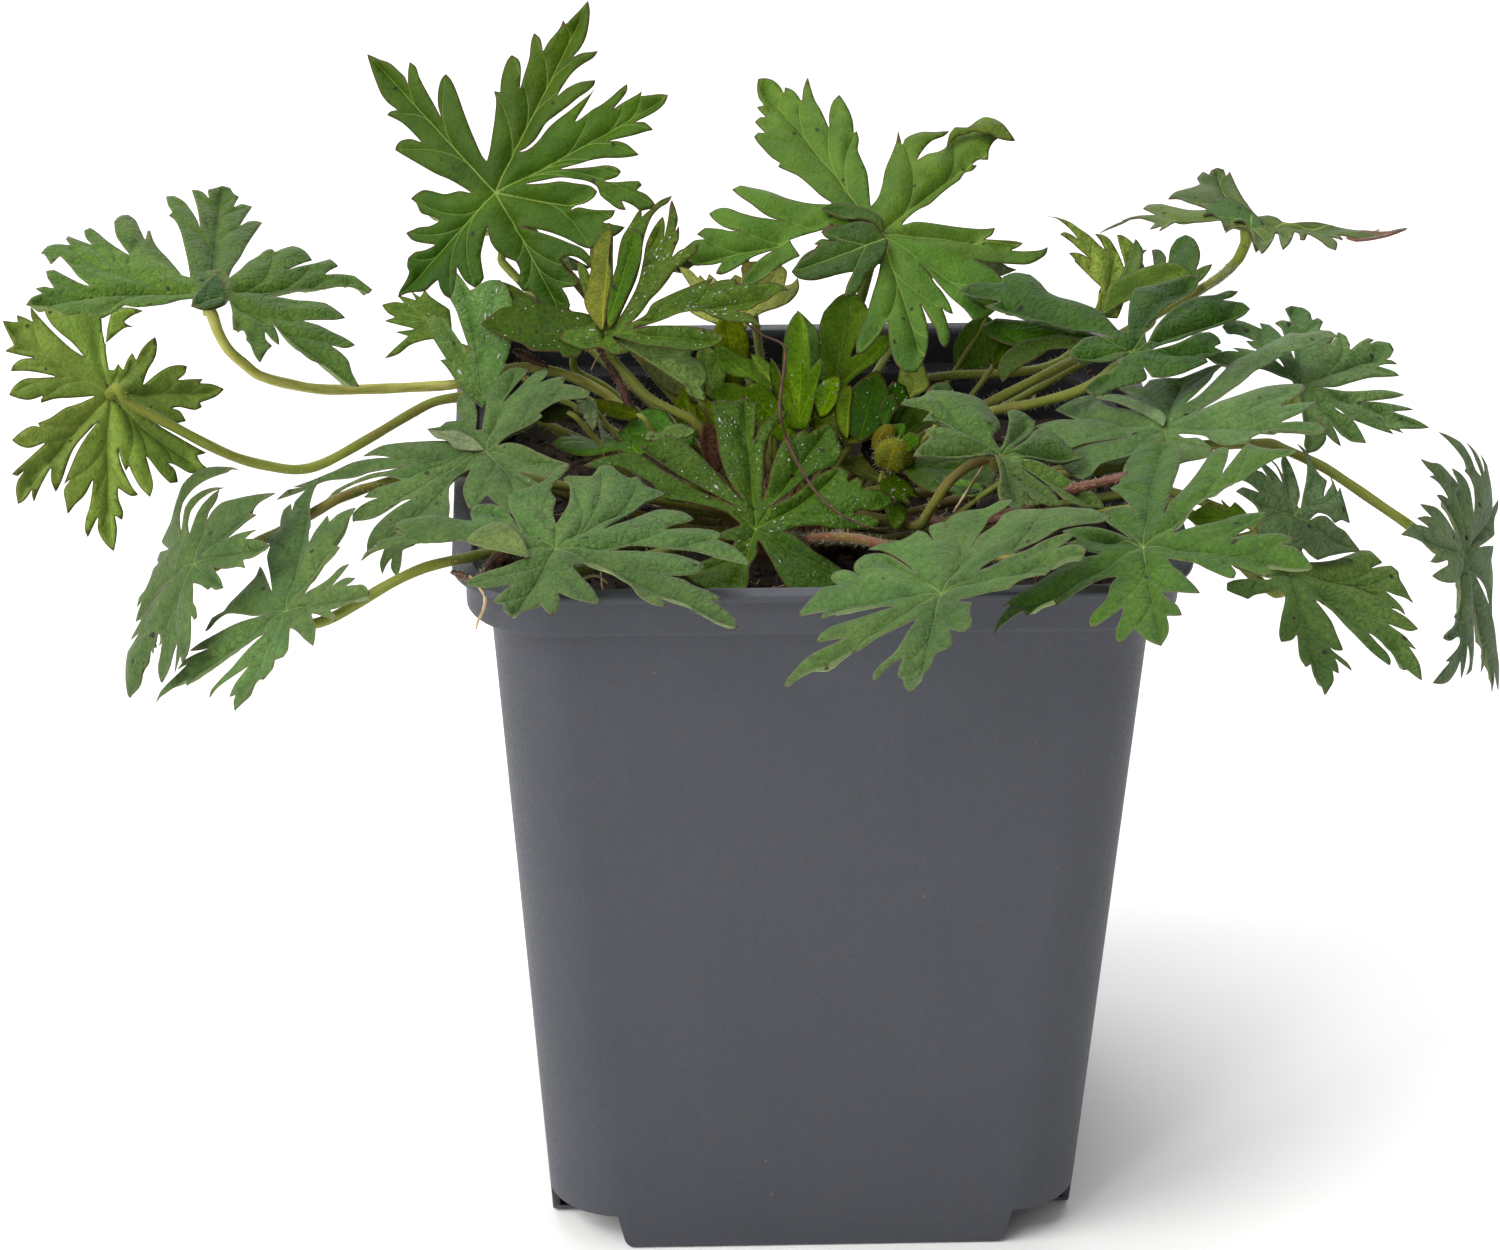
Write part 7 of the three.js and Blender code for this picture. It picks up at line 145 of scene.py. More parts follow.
     "outline": [-0.86, 2.07, -2.24, 3.41, -3.62, 4.79, -4.34, 5.92, -4.94, 4.78, -6.2, 5.99, -5.45, 4.33, -6.95, 5.05, -7.9, 5.36, -7.04, 4.04, -8.25, 4.38, -9.97, 4.13, -9.1, 2.65, -8.13, 1.84, -9.45, 1.37, -7.41, 0.41, -5.38, -0.53, -7.9, -0.65, -6.28, -1.53, -7.56, -2.78, -9.22, -4.59, -7.51, -4.19, -5.96, -2.99, -4, -2.46, -2.03, -2.36, -0.47, -1.88]},
    {"name": "young_leaf_04", "key": "L28", "seed": 25, "at": (-7.84, 20, 107.43), "facing": (0.0385, -0.2503, 0.9674), "across": (0.9985, -0.0273, -0.0468), "span": 6.3, "droop": 0.091, "foot": (0, 0),
     "look": {"mat": "young", "tint": [0.2681, 0.2927, 0.0703], "wet": 1.0}, "relief": 0.6,
     "tags": "N...T..t.t.N...T...N..T...t....N..T.t..",
     "outline": [-0.91, 2.94, -3.52, 5.25, -6.14, 6.44, -7.47, 9.42, -8.28, 12.21, -6.82, 11.46, -5.76, 9.44, -5.5, 10.21, -4.71, 8.71, -4.32, 10.5, -3.14, 8.51, -2.09, 6.55, -1.83, 8.33, -0.91, 10.44, 0.01, 9.74, -0.11, 12.32, 0.82, 13.98, 2.41, 14.14, 1.73, 10.68, 1.32, 6.81, 2.38, 9.47, 3.72, 12.21, 5.05, 13.68, 5.96, 12, 5.66, 8.39, 6.59, 9.04, 7.4, 10.68, 7.5, 7.69, 6.29, 4.56, 4.7, 2.87, 3, 1.69, 1.3, 0.12, 0.39, -2.58, -1.55, -2.06, -3.49, -1.47, -5.45, -0.15, -6.75, 1.22, -4.16, 1.43, -1.82, 0.8]},
    {"name": "young_leaf_05", "key": "L29", "seed": 26, "at": (-21.6, -10, 101.18), "facing": (-0.0542, -0.0384, 0.9978), "across": (0.9977, -0.0426, 0.0526), "span": 7.8, "droop": 0.186, "foot": (-0.45, 0.45),
     "look": {"mat": "inner", "tint": [0.034, 0.1005, 0.0008], "wet": 0.0}, "relief": 0.6,
     "tags": "N.....T..t....T.....T..T..N",
     "outline": [-0.6, -1.37, -2.65, 1.07, -4.53, 0.66, -6.41, 0.39, -8.34, 1.44, -10.33, 3.95, -11.46, 6.98, -10.52, 8.8, -8.96, 8.06, -9.54, 9.93, -7.92, 7.59, -6.32, 5.38, -4.97, 2.74, -5.37, 7.34, -5.87, 14.52, -4.92, 9.25, -3.8, 5.99, -2.72, 3.43, -1.5, 4.98, -0.57, 8.05, -0.44, 12.54, 0.99, 16.17, 3.07, 14.53, 4.06, 9.92, 3.27, 5.73, 1.69, 3.12, 0.86, 0.53]},
    {"name": "young_leaf_06", "key": "L19b", "seed": 27, "at": (44.3, 26, 106.85), "facing": (-0.5257, -0.2152, 0.823), "across": (0.8498, -0.1758, 0.4969), "span": 4.9, "droop": 0.056, "foot": (1.05, 0.9),
     "look": {"mat": "inner", "tint": [0.0304, 0.0649, 0.0119], "wet": 0.0}, "relief": 0.5,
     "tags": "N....T...N...T...N.T.....",
     "outline": [-1.2, 2.41, -0.08, 3.88, 1.75, 4.89, 2.81, 5.53, 2.78, 8.13, 2.71, 10.08, 3.86, 9.24, 4.65, 7.04, 4.57, 5.47, 4.83, 4.83, 5.06, 6.52, 5.46, 8.59, 6.41, 10.04, 7.73, 10.05, 8.94, 8.04, 9.48, 4.91, 9.2, 2.82, 8.67, 1.38, 9.83, 1.52, 10.96, 1.24, 10.29, -0.09, 9.05, -1.28, 6.15, -1.62, 3.27, -1.51, 1.38, -1.36]},
    {"name": "young_leaf_07", "key": "Y1", "seed": 28, "at": (-1.69, -4, 101.47), "facing": (-0.9157, -0.3675, 0.1629), "across": (0.4018, -0.8475, 0.3469), "span": 6.5, "droop": 0, "foot": (0, 1.2),
     "look": {"mat": "young", "tint": [0.0613, 0.1306, 0.0038], "wet": 1.0}, "relief": 0.5,
     "tags": "N...T.N...T..N.T...N",
     "outline": [-2.55, 0.27, -5.12, 1.93, -6.55, 4.48, -7.99, 7.04, -7.7, 9.2, -5.69, 7.89, -4.55, 6.1, -4.26, 10.15, -3.41, 12.41, -1.71, 14.13, 0.27, 14.96, 2.24, 13.16, 3.08, 10.63, 3.36, 7.5, 4.2, 7.99, 6.42, 8.95, 6.15, 7.21, 5.04, 4.97, 3.93, 2.48, 2.25, -0.01]},
    {"name": "young_leaf_08", "key": "Y2", "seed": 29, "at": (3.39, 5.7, 101.32), "facing": (-0.7536, -0.542, 0.372), "across": (0.6571, -0.6364, 0.404), "span": 5.8, "droop": 0.002, "foot": (0, 1.8),
     "look": {"mat": "young", "tint": [0.0693, 0.1441, 0.0059], "wet": 1.0}, "relief": 0.5,
     "tags": "N...t..T.t...N...T.....N",
     "outline": [-1.65, 1.16, -2.57, 3.91, -2.93, 7.24, -2.56, 10.46, -1.81, 12.05, -0.71, 12.79, 0.77, 13.6, 2.6, 13.95, 4.43, 13.26, 5.87, 11.72, 6.41, 10.6, 5.14, 8.59, 3.86, 6.84, 2.94, 5.29, 5.13, 5.99, 7.12, 6.98, 9.29, 7.42, 10.9, 7.29, 10.72, 6.16, 9.46, 5.06, 7.65, 4.05, 5.12, 3.14, 2.93, 2.17, 1.47, 0.56]},
    {"name": "young_leaf_09", "key": "Y3", "seed": 30, "at": (4.16, -7.4, 101.71), "facing": (-0.1651, -0.4954, 0.8528), "across": (0.9857, -0.1113, 0.1262), "span": 5.1, "droop": 0, "foot": (0.15, 0.45),
     "look": {"mat": "young", "tint": [0.0266, 0.0456, 0.0001], "wet": 1.0}, "relief": 0.5,
     "tags": "N......T..N...T...t...N",
     "outline": [-1.01, -0.21, -2.27, 0.56, -3.78, 1.67, -4.28, 3.3, -3.88, 5.64, -2.97, 7.93, -1.68, 9.39, -0.66, 9.92, -0.42, 8.45, -0.95, 6.12, -0.98, 3.26, -0.06, 6.02, 1.24, 8.27, 2.91, 9.69, 4.07, 10.37, 5.06, 8.66, 5.65, 6.2, 6.53, 5.31, 6.62, 3.4, 5.59, 2.24, 4.31, 0.8, 2.77, -0.61, 0.75, -1.02]},
    {"name": "young_leaf_10", "key": "M1", "seed": 31, "at": (11.44, -10, 99.45), "facing": (0.0597, -0.0298, 0.9978), "across": (0.9974, -0.0389, -0.0608), "span": 5.1, "droop": 0.091, "foot": (0.75, 0),
     "look": {"mat": "young", "tint": [0.0179, 0.0626, 0.0011], "wet": 1.0}, "relief": 0.5,
     "tags": "N....T......N",
     "outline": [-0.19, 2.21, 1.95, 1.96, 5.13, 2.51, 8.33, 3.21, 10.21, 2.54, 11.01, 0.61, 9.99, -2.7, 8.61, -5.9, 6.05, -7.6, 4.18, -7.48, 2.33, -6.78, 0.76, -4.41, -0.31, -2.38]},
    {"name": "back_leaf_01", "key": "B1", "seed": 32, "at": (-38, 42, 111.5), "facing": (0.3482, 0.3482, 0.8704), "across": (0.9366, -0.1686, -0.3072), "span": 13.5, "droop": 0.16, "foot": (0.15, 0),
     "look": {"mat": "upper", "tint": [0.0441, 0.0848, 0.0159], "wet": 0.0}, "relief": 1.0,
     "tags": "N..t.t.T.t.t..N..t.t.T.t.t..N..t.t.T.t.t..N..t.t.T.t.t..N..t.t.T.t.t..N..t.t.T.t.t..N..t.t.T.t.t..",
     "outline": [-0.27, 0.81, -2.28, 5.5, -2.77, 7.5, -3.8, 8.6, -4.26, 8.01, -5.33, 8.66, -5.84, 8.16, -7.23, 8.78, -7.27, 7.2, -7.68, 7.06, -7.09, 5.5, -7.87, 5.21, -6.84, 4.12, -5.08, 3.46, -4.13, 2.2, -5.87, 2.79, -7.76, 3.73, -9.44, 3.94, -9.02, 2.94, -10.65, 2.85, -10.76, 2.13, -12.26, 1.29, -10.85, 0.29, -11.38, -0.45, -9.84, -1.08, -10.2, -1.81, -8.5, -1.67, -6.3, -1.08, -4.94, -1.51, -6.47, -2.74, -8.74, -3.38, -9.85, -4.25, -8.94, -4.73, -10.15, -6.23, -9.64, -6.78, -10.19, -8.62, -8.39, -8.33, -8.13, -8.78, -6.61, -8.11, -5.91, -9.17, -4.71, -7.75, -3.82, -5.87, -1.94, -4.17, -1.99, -5.84, -2.81, -8.02, -2.84, -9.45, -2.03, -9.25, -1.61, -10.84, -0.71, -10.8, -0.13, -12.33, 0.91, -10.89, 1.54, -11.14, 1.89, -9.37, 2.97, -9.73, 2.67, -8.03, 1.97, -6.08, 1.89, -4.26, 3.59, -5.84, 4.41, -8.04, 5.57, -9.23, 5.91, -8.32, 7.32, -8.75, 7.94, -8.48, 9.67, -8.8, 9.17, -7.05, 10.02, -6.72, 8.86, -5.09, 9.69, -4.57, 8.35, -3.73, 6.01, -2.82, 4.62, -1.59, 6.09, -1.31, 7.97, -2.06, 9.52, -2.16, 9.26, -1.28, 10.49, -0.66, 10.48, -0.16, 11.9, 0.87, 10.47, 1.57, 10.59, 2.33, 8.96, 2.55, 9.19, 3.39, 7.93, 3.18, 5.67, 2.39, 4.09, 1.99, 4.56, 2.81, 6.21, 3.41, 7.1, 4.28, 6.44, 4.48, 6.89, 5.88, 6.55, 6.34, 6.91, 7.61, 5.67, 7.12, 5.21, 7.57, 4.02, 6.99, 3.58, 7.57, 2.77, 6.41, 2.23, 4.9]},
    {"name": "back_leaf_02", "key": "B2", "seed": 33, "at": (-8, 38, 112), "facing": (-0.3482, 0.3482, 0.8704), "across": (0.9366, 0.0895, 0.3388), "span": 14, "droop": 0.16, "foot": (0, 0.15),
     "look": {"mat": "upper", "tint": [0.0441, 0.0848, 0.0159], "wet": 0.0}, "relief": 1.0,
     "tags": "N..t.t.T.t.t..N..t.t.T.t.t..N..t.t.T.t.t..N..t.t.T.t.t..N..t.t.T.t.t..N..t.t.T.t.t..N..t.t.T.t.t..",
     "outline": [-0.18, -0.87, -0.68, -5.73, -1.14, -7.44, -1.02, -8.84, -0.43, -8.55, 0.28, -9.76, 0.96, -9.81, 1.82, -10.8, 2.46, -9.46, 3.23, -9.33, 3.34, -8.01, 4.21, -7.94, 3.55, -6.59, 2.63, -5.14, 2.29, -3.67, 4.01, -5.28, 5.42, -7.41, 6.39, -8.29, 6.62, -7.38, 8.13, -7.91, 8.72, -7.43, 10.5, -7.47, 9.86, -5.94, 10.31, -5.73, 9.27, -4.17, 10.02, -3.43, 8.48, -2.58, 6.46, -2.18, 5.64, -1.3, 6.74, -0.84, 8.81, -1.36, 10.32, -1.13, 9.96, -0.39, 11.64, 0.54, 11.41, 1.17, 12.69, 2.32, 11.17, 2.79, 11.18, 3.71, 9.41, 3.64, 9.49, 4.57, 7.85, 4.15, 6.22, 3.07, 3.75, 2.62, 5.63, 5.23, 7.59, 6.67, 8.65, 8.08, 7.58, 8.47, 7.93, 10.07, 7.27, 10.48, 7.22, 12.66, 5.62, 11.73, 5.06, 12.34, 3.61, 10.8, 2.74, 11.64, 2.1, 10.1, 1.62, 7.2, 0.48, 4.59, -0.27, 7.08, 0.09, 9.3, -0.27, 10.91, -1.07, 10.58, -2.09, 11.61, -2.8, 11.65, -4.12, 12.9, -4.63, 10.84, -5.2, 10.98, -5.32, 9.02, -6.38, 9.1, -5.51, 7.63, -3.93, 5.66, -3.09, 3.55, -4.36, 4.22, -5.72, 5.74, -6.96, 6.36, -7.27, 5.51, -8.56, 5.77, -8.85, 5.18, -10.53, 5.2, -9.69, 3.86, -10.01, 3.25, -8.85, 2.16, -9.31, 1.51, -7.95, 1.14, -5.97, 1.07, -5.04, 0.35, -5.28, -0.03, -7.16, -0.08, -8.43, -0.33, -7.92, -0.97, -9, -1.55, -8.8, -2.07, -9.89, -3.16, -8.47, -3.47, -8.4, -4.03, -6.89, -4.09, -6.84, -4.74, -5.76, -4.34, -4.39, -3.08]},
    {"name": "back_leaf_03", "key": "B3", "seed": 34, "at": (19, 48, 106), "facing": (0.169, 0.5071, 0.8452), "across": (0.9849, -0.1197, -0.1252), "span": 13, "droop": 0.16, "foot": (0, 0.15),
     "look": {"mat": "upper", "tint": [0.0441, 0.0848, 0.0159], "wet": 0.0}, "relief": 1.0,
     "tags": "N..t.t.T.t.t..N..t.t.T.t.t..N..t.t.T.t.t..N..t.t.T.t.t..N..t.t.T.t.t..N..t.t.T.t.t..N..t.t.T.t.t..",
     "outline": [0.33, -0.75, 2.5, -4.75, 3.1, -6.54, 3.96, -7.45, 4.3, -6.91, 5.56, -7.26, 5.96, -7.23, 7.31, -7.42, 6.93, -6.01, 7.55, -5.6, 6.86, -4.51, 7.53, -4.01, 6.49, -3.17, 4.76, -2.49, 4.28, -1.82, 5.72, -1.86, 7.57, -2.6, 8.92, -2.72, 8.68, -2.09, 10.11, -1.58, 10.19, -0.92, 11.61, -0.16, 10.22, 0.62, 10.51, 1.28, 8.77, 1.62, 9.09, 2.71, 7.63, 2.61, 5.84, 1.69, 4.23, 1.71, 6.65, 3.51, 8.74, 4.33, 10.06, 5.55, 9.47, 5.72, 10.26, 7.46, 9.58, 8.37, 10.06, 9.87, 8.02, 9.56, 7.78, 10.19, 5.91, 9.45, 5.47, 10.39, 4.38, 8.94, 3.59, 6.58, 1.58, 4.34, 1.5, 6.5, 2.18, 8.81, 2.2, 10.24, 1.18, 9.84, 0.67, 11.35, -0.09, 11.45, -1.14, 12.87, -1.94, 11.12, -2.71, 11.41, -3.16, 9.56, -4.02, 9.7, -3.5, 8.2, -2.52, 6.31, -1.95, 3.52, -3.85, 5.33, -5.11, 7.65, -6.26, 8.3, -6.53, 7.62, -7.81, 8.12, -8.39, 7.57, -9.94, 7.71, -9.64, 6.2, -10.08, 5.65, -9.1, 4.17, -10.19, 3.57, -8.55, 2.82, -6.54, 2.22, -4.94, 1.23, -6.67, 0.99, -8.5, 1.44, -10.18, 1.4, -9.74, 0.7, -11.35, -0.25, -11.07, -0.83, -12.49, -2.03, -11.18, -2.66, -10.85, -3.32, -9.21, -3.56, -9.39, -4.59, -7.73, -4.08, -5.87, -2.96, -3.94, -2.37, -3.92, -2.84, -5.32, -3.72, -6.19, -4.59, -5.56, -4.79, -5.75, -5.83, -5.49, -6.23, -5.66, -7.49, -4.58, -7.04, -4.13, -7.5, -3.22, -6.63, -2.64, -7.29, -2.09, -6.33, -1.74, -4.62]},
]

# Each stalk's line from the blade down to the crown.
STALKS = {
    "leaf_01_tall_left": {"radius": 0.72, "path": [(-39.46, 23.09, 123.71), (-38.24, 25.3, 121.92), (-8.98, 2.55, 92.76), (-7.8, 1.25, 90.06)]},
    "leaf_02_tall_centre": {"radius": 0.72, "path": [(9.7, 16.28, 119.8), (8.97, 17.58, 116.85), (3.19, 7.8, 100.9), (-0.63, 2.17, 94.04), (-1.07, 1.06, 90.92)]},
    "leaf_03_back_right": {"radius": 0.72, "path": [(54.75, 2.06, 125.75), (54.74, 1.78, 124.25), (54.84, 2.48, 123.72), (54.23, 3.57, 121.28), (53.93, 5.68, 119.64), (53.56, 10.69, 116.57), (52.55, 15.55, 113.37), (51.87, 17.58, 111.96), (50.58, 18.68, 110.69), (36.17, 12.35, 104.99), (3.98, -0.96, 93.13), (2.62, -1.28, 90.39)]},
    "leaf_04_far_left": {"radius": 0.72, "path": [(-74.33, -9.86, 122.08), (-74.7, -10.22, 120.51), (-74.28, -10.71, 120.6), (-73.52, -10.77, 118.05), (-72.35, -10.19, 115.44), (-70.62, -9.1, 113.19), (-68.76, -7.86, 111.06), (-63.98, -4.77, 108.36), (-61.51, -3.15, 107.32), (-58.99, -1.53, 106.56), (-56.2, -0.08, 106.02), (-53.33, 1.27, 105.56), (-47.57, 3.86, 104.79), (-44.73, 5.2, 104.51), (-42.19, 6.79, 104.77), (-39.41, 8.03, 105.13), (-36.37, 8.74, 105.29), (-33.25, 8.95, 104.83), (-30.26, 8.95, 103.93), (-27.46, 8.72, 102.58), (-24.95, 8.14, 101.11), (-12.18, -2.39, 91.8), (-10.22, -2.38, 89.42)]},
    "leaf_05_left_under": {"radius": 0.72, "path": [(-87.62, 1.41, 105.5), (-87.08, 0.39, 106.3), (-86.17, 0.69, 104.51), (-81, 0.87, 101.18), (-73.09, 1.72, 96.32), (-67.13, 2.09, 94.46), (-64.14, 2.56, 94.14), (-61.3, 3.34, 94.8), (-55.83, 5.01, 97.32), (-50.45, 6.68, 100.02), (-47.68, 7.36, 101.21), (-44.63, 7.61, 101.74), (-41.57, 7.62, 102.16), (-38.64, 7.06, 101.94), (-14.61, -1.4, 88.23), (-11.64, -1.62, 87.36)]},
    "leaf_06_left_hanging": {"radius": 0.72, "path": [(-76.44, -23.77, 92.47), (-75.41, -23.44, 91.68), (-69.1, -18.58, 93.26), (-66.72, -18.3, 94.3), (-64.37, -18.58, 95.77), (-61.95, -18.69, 97.25), (-59.44, -17.94, 98.48), (-57.61, -16.06, 98.51), (-56.17, -13.57, 98.09), (-54.49, -11.49, 97.67), (-52.57, -9.97, 97.57), (-43.73, -8.79, 98.24), (-40.78, -8.4, 98.04), (-14.24, -4.86, 87.98), (-11.34, -3.89, 87.27)]},
    "leaf_07_left_low": {"radius": 0.72, "path": [(-64.58, -37.82, 92.31), (-62.65, -38.1, 90.99), (-61.09, -40.08, 91.88), (-58.71, -41.14, 93.33), (-56.15, -41.48, 95.01), (-53.56, -41.21, 96.63), (-50.84, -40.36, 97.84), (-48.15, -39.08, 98.52), (-45.44, -37.64, 98.65), (-42.75, -36.04, 98.53), (-40.56, -34.18, 98.22), (-38.52, -32.01, 97.51), (-12.22, -8.18, 87.92), (-9.97, -6.11, 87.26)]},
    "leaf_08_left_inner": {"radius": 0.72, "path": [(-40.8, -14.06, 102.84), (-39.45, -13.24, 99.88), (-12.05, -5.79, 91.39), (-9.93, -4.54, 89.06)]},
    "leaf_09_centre_bright": {"radius": 0.62, "path": [(-25.8, 0.13, 113.05), (-25.52, 2.34, 110.57), (-24.81, 2.51, 108.8), (-22.7, 1.55, 106.56), (-20.43, 0.35, 104.4), (-17.51, -0.44, 102.91), (-14.57, -0.95, 101.34), (-9.65, -1.63, 93.67), (-8.45, -1.69, 90.49)]},
    "leaf_10_front_left": {"radius": 0.72, "path": [(-32.39, -42.93, 102.11), (-32.09, -41.99, 98.91), (-9.22, -10.04, 89.82), (-7.75, -7.38, 88.24)]},
    "leaf_11_front_inner": {"radius": 0.72, "path": [(-7.89, -24.6, 96.58), (-8.3, -23.66, 94.61), (-4.84, -9.93, 90.03), (-4.56, -8.13, 88.78)]},
    "leaf_12_front_centre": {"radius": 0.72, "path": [(12.68, -55.31, 101.23), (13.11, -54.2, 99.19), (7.57, -38.93, 100.1), (5.88, -36.49, 100.03), (2.94, -31.34, 98.41), (1.55, -28.7, 97.37), (-2.32, -20.94, 93.81), (-2.96, -18.36, 93.14), (-0.27, -11.07, 89.28), (-0.72, -8.41, 88.02)]},
    "leaf_13_front_right": {"radius": 0.72, "path": [(37.08, -48.46, 103.98), (37.8, -47.59, 101.03), (3.66, -10.1, 88.95), (2.08, -7.42, 87.8)]},
    "leaf_14_middle_small": {"radius": 0.72, "path": [(22.23, -22.06, 104.88), (21.82, -20.66, 103.01), (21.62, -19.09, 103.64), (18.84, -19.02, 102.68), (16.35, -19.23, 100.7), (14.85, -18.87, 98.13), (13.83, -17.52, 95.61), (13.01, -15.75, 93.33), (11.55, -13.51, 92.32), (4.48, -7.33, 91.45), (2.66, -5.74, 89.3)]},
    "leaf_15_right_middle": {"radius": 0.72, "path": [(43.67, -12.39, 103.9), (44.03, -12.24, 100.65), (6.12, -4.99, 91.73), (3.99, -4.01, 89.25)]},
    "leaf_16_right_upper": {"radius": 0.72, "path": [(40.42, -0.74, 110), (39.95, 0.71, 107.57), (39.09, 2.59, 107.01), (36.86, 2.75, 105.11), (34.08, 2.47, 103.7), (30.99, 2.13, 102.85), (27.84, 1.74, 102.25), (21.47, 1.06, 101.37), (18.36, 0.79, 100.62), (6.57, -1.73, 91.7), (4.42, -1.85, 89.26)]},
    "leaf_17_right_outer": {"radius": 0.72, "path": [(62.92, 3.68, 103.35), (61.65, 4.64, 100.6), (42.78, 3.25, 98.23), (8.17, 0.68, 88.87), (5.26, -0.28, 87.71)]},
    "leaf_18_right_low": {"radius": 0.72, "path": [(57.6, -28.11, 91.19), (56.37, -27.1, 88.53), (50.46, -24.9, 93.21), (44.54, -22.71, 98.5), (41.59, -21.61, 98.37), (38.63, -20.51, 97.17), (35.67, -19.42, 96.27), (6.1, -8.44, 87.9), (3.85, -6.24, 87.26)]},
    "leaf_19_far_right": {"radius": 0.72, "path": [(81.45, -14.54, 88.07), (78.92, -13.66, 88.09), (76.71, -14.2, 90.18), (74.43, -14.5, 92.17), (71.86, -14.25, 93.95), (66.7, -12.33, 97.12), (64.13, -11.15, 98.53), (61.51, -9.59, 99.36), (59.56, -7.7, 99.63), (57.58, -6.05, 99.82), (40.33, -4.84, 98.15), (8.71, -2.66, 88.08), (5.65, -2.48, 87.27)]},
    "leaf_20_bright_right": {"radius": 0.62, "path": [(38.58, 13.77, 110.17), (36.58, 14.43, 107.6), (34.25, 13.1, 104.56), (31.31, 12.85, 103.08), (28.05, 12.77, 102.44), (24.71, 12.57, 102.25), (21.43, 12.12, 102.41), (18.15, 11.45, 102.48), (14.95, 10.55, 102.34), (12.18, 9.27, 101.77), (5.62, 1.22, 91.92), (3.8, 0.15, 89.35)]},
    "leaf_21_right_small": {"radius": 0.62, "path": [(58.62, -23.07, 96.95), (57.12, -21.21, 94.79), (44.82, -17.4, 97.98), (41.75, -16.45, 97.95), (7.94, -5.96, 87.97), (5.07, -4.53, 87.27)]},
    "young_leaf_01": {"radius": 0.5, "path": [(-41.04, 2.03, 103.81), (-39.62, 2.82, 102.79), (-36.61, 2.38, 101.59), (-12.99, 0.06, 90.97), (-10.61, -0.51, 88.85)]},
    "young_leaf_02": {"radius": 0.5, "path": [(-29.29, 10.83, 107.66), (-29.72, 11.25, 104.19), (-25.99, 10.1, 102.18), (-23.35, 8.62, 100.54), (-11.02, 0.96, 92.64), (-9.24, 0.04, 89.79)]},
    "young_leaf_03": {"radius": 0.5, "path": [(-46.42, 20.64, 106.31), (-45.12, 22, 103.51), (-41.34, 20.3, 102.51), (-12.29, 2.7, 90.5), (-10.04, 1.11, 88.57)]},
    "young_leaf_04": {"radius": 0.5, "path": [(-7.87, 20.24, 106.51), (-7.94, 20.75, 103.59), (-4.77, 4.2, 92.74), (-4.45, 2.6, 90.23)]},
    "young_leaf_05": {"radius": 0.5, "path": [(-21.98, -9.5, 100.23), (-21.73, -9.55, 98), (-19.71, -9.1, 97.17), (-9.39, -4.44, 92.22), (-8.46, -3.91, 90.25)]},
    "young_leaf_06": {"radius": 0.62, "path": [(45.72, 26.88, 106.84), (46.54, 27.07, 103.75), (43.23, 25.07, 102.3), (6.04, 3.76, 89.54), (3.84, 1.82, 88.09)]},
    "young_leaf_07": {"radius": 0.5, "path": [(-0.81, -3.19, 102.43), (0.54, -2.79, 101.85), (0.14, -3.1, 99.92), (-2.2, -3.02, 92.96), (-2.27, -2.89, 91.49)]},
    "young_leaf_08": {"radius": 0.5, "path": [(4.14, 7.2, 102.47), (5.47, 7.87, 101.36), (4.85, 6.35, 99.15), (1.23, 1.38, 92.24), (0.75, 0.81, 90.62)]},
    "young_leaf_09": {"radius": 0.5, "path": [(4.48, -6.56, 101.15), (4.65, -6.01, 99.95), (4, -6, 98.69), (0.75, -4.38, 92.17), (0.44, -4.08, 90.92)]},
    "young_leaf_10": {"radius": 0.5, "path": [(12.13, -10, 98.46), (11.8, -9.94, 96.7), (10.1, -9.14, 96.03), (3.04, -4.47, 91.85), (2.33, -4.03, 90.28)]},
    "back_leaf_01": {"radius": 0.62, "path": [(-38.19, 41.64, 110.63), (-38.92, 40.2, 107.85), (-9.29, 5.29, 90.62), (-7.87, 2.98, 88.71)]},
    "back_leaf_02": {"radius": 0.62, "path": [(-7.66, 37.81, 111.12), (-6.54, 36.31, 108.23), (-3.97, 6.62, 91.33), (-3.76, 3.96, 89.12)]},
    "back_leaf_03": {"radius": 0.62, "path": [(18.85, 47.65, 105.12), (18.19, 45.79, 102.62), (1.16, 6.64, 89.89), (0.25, 3.97, 88.36)]},
}

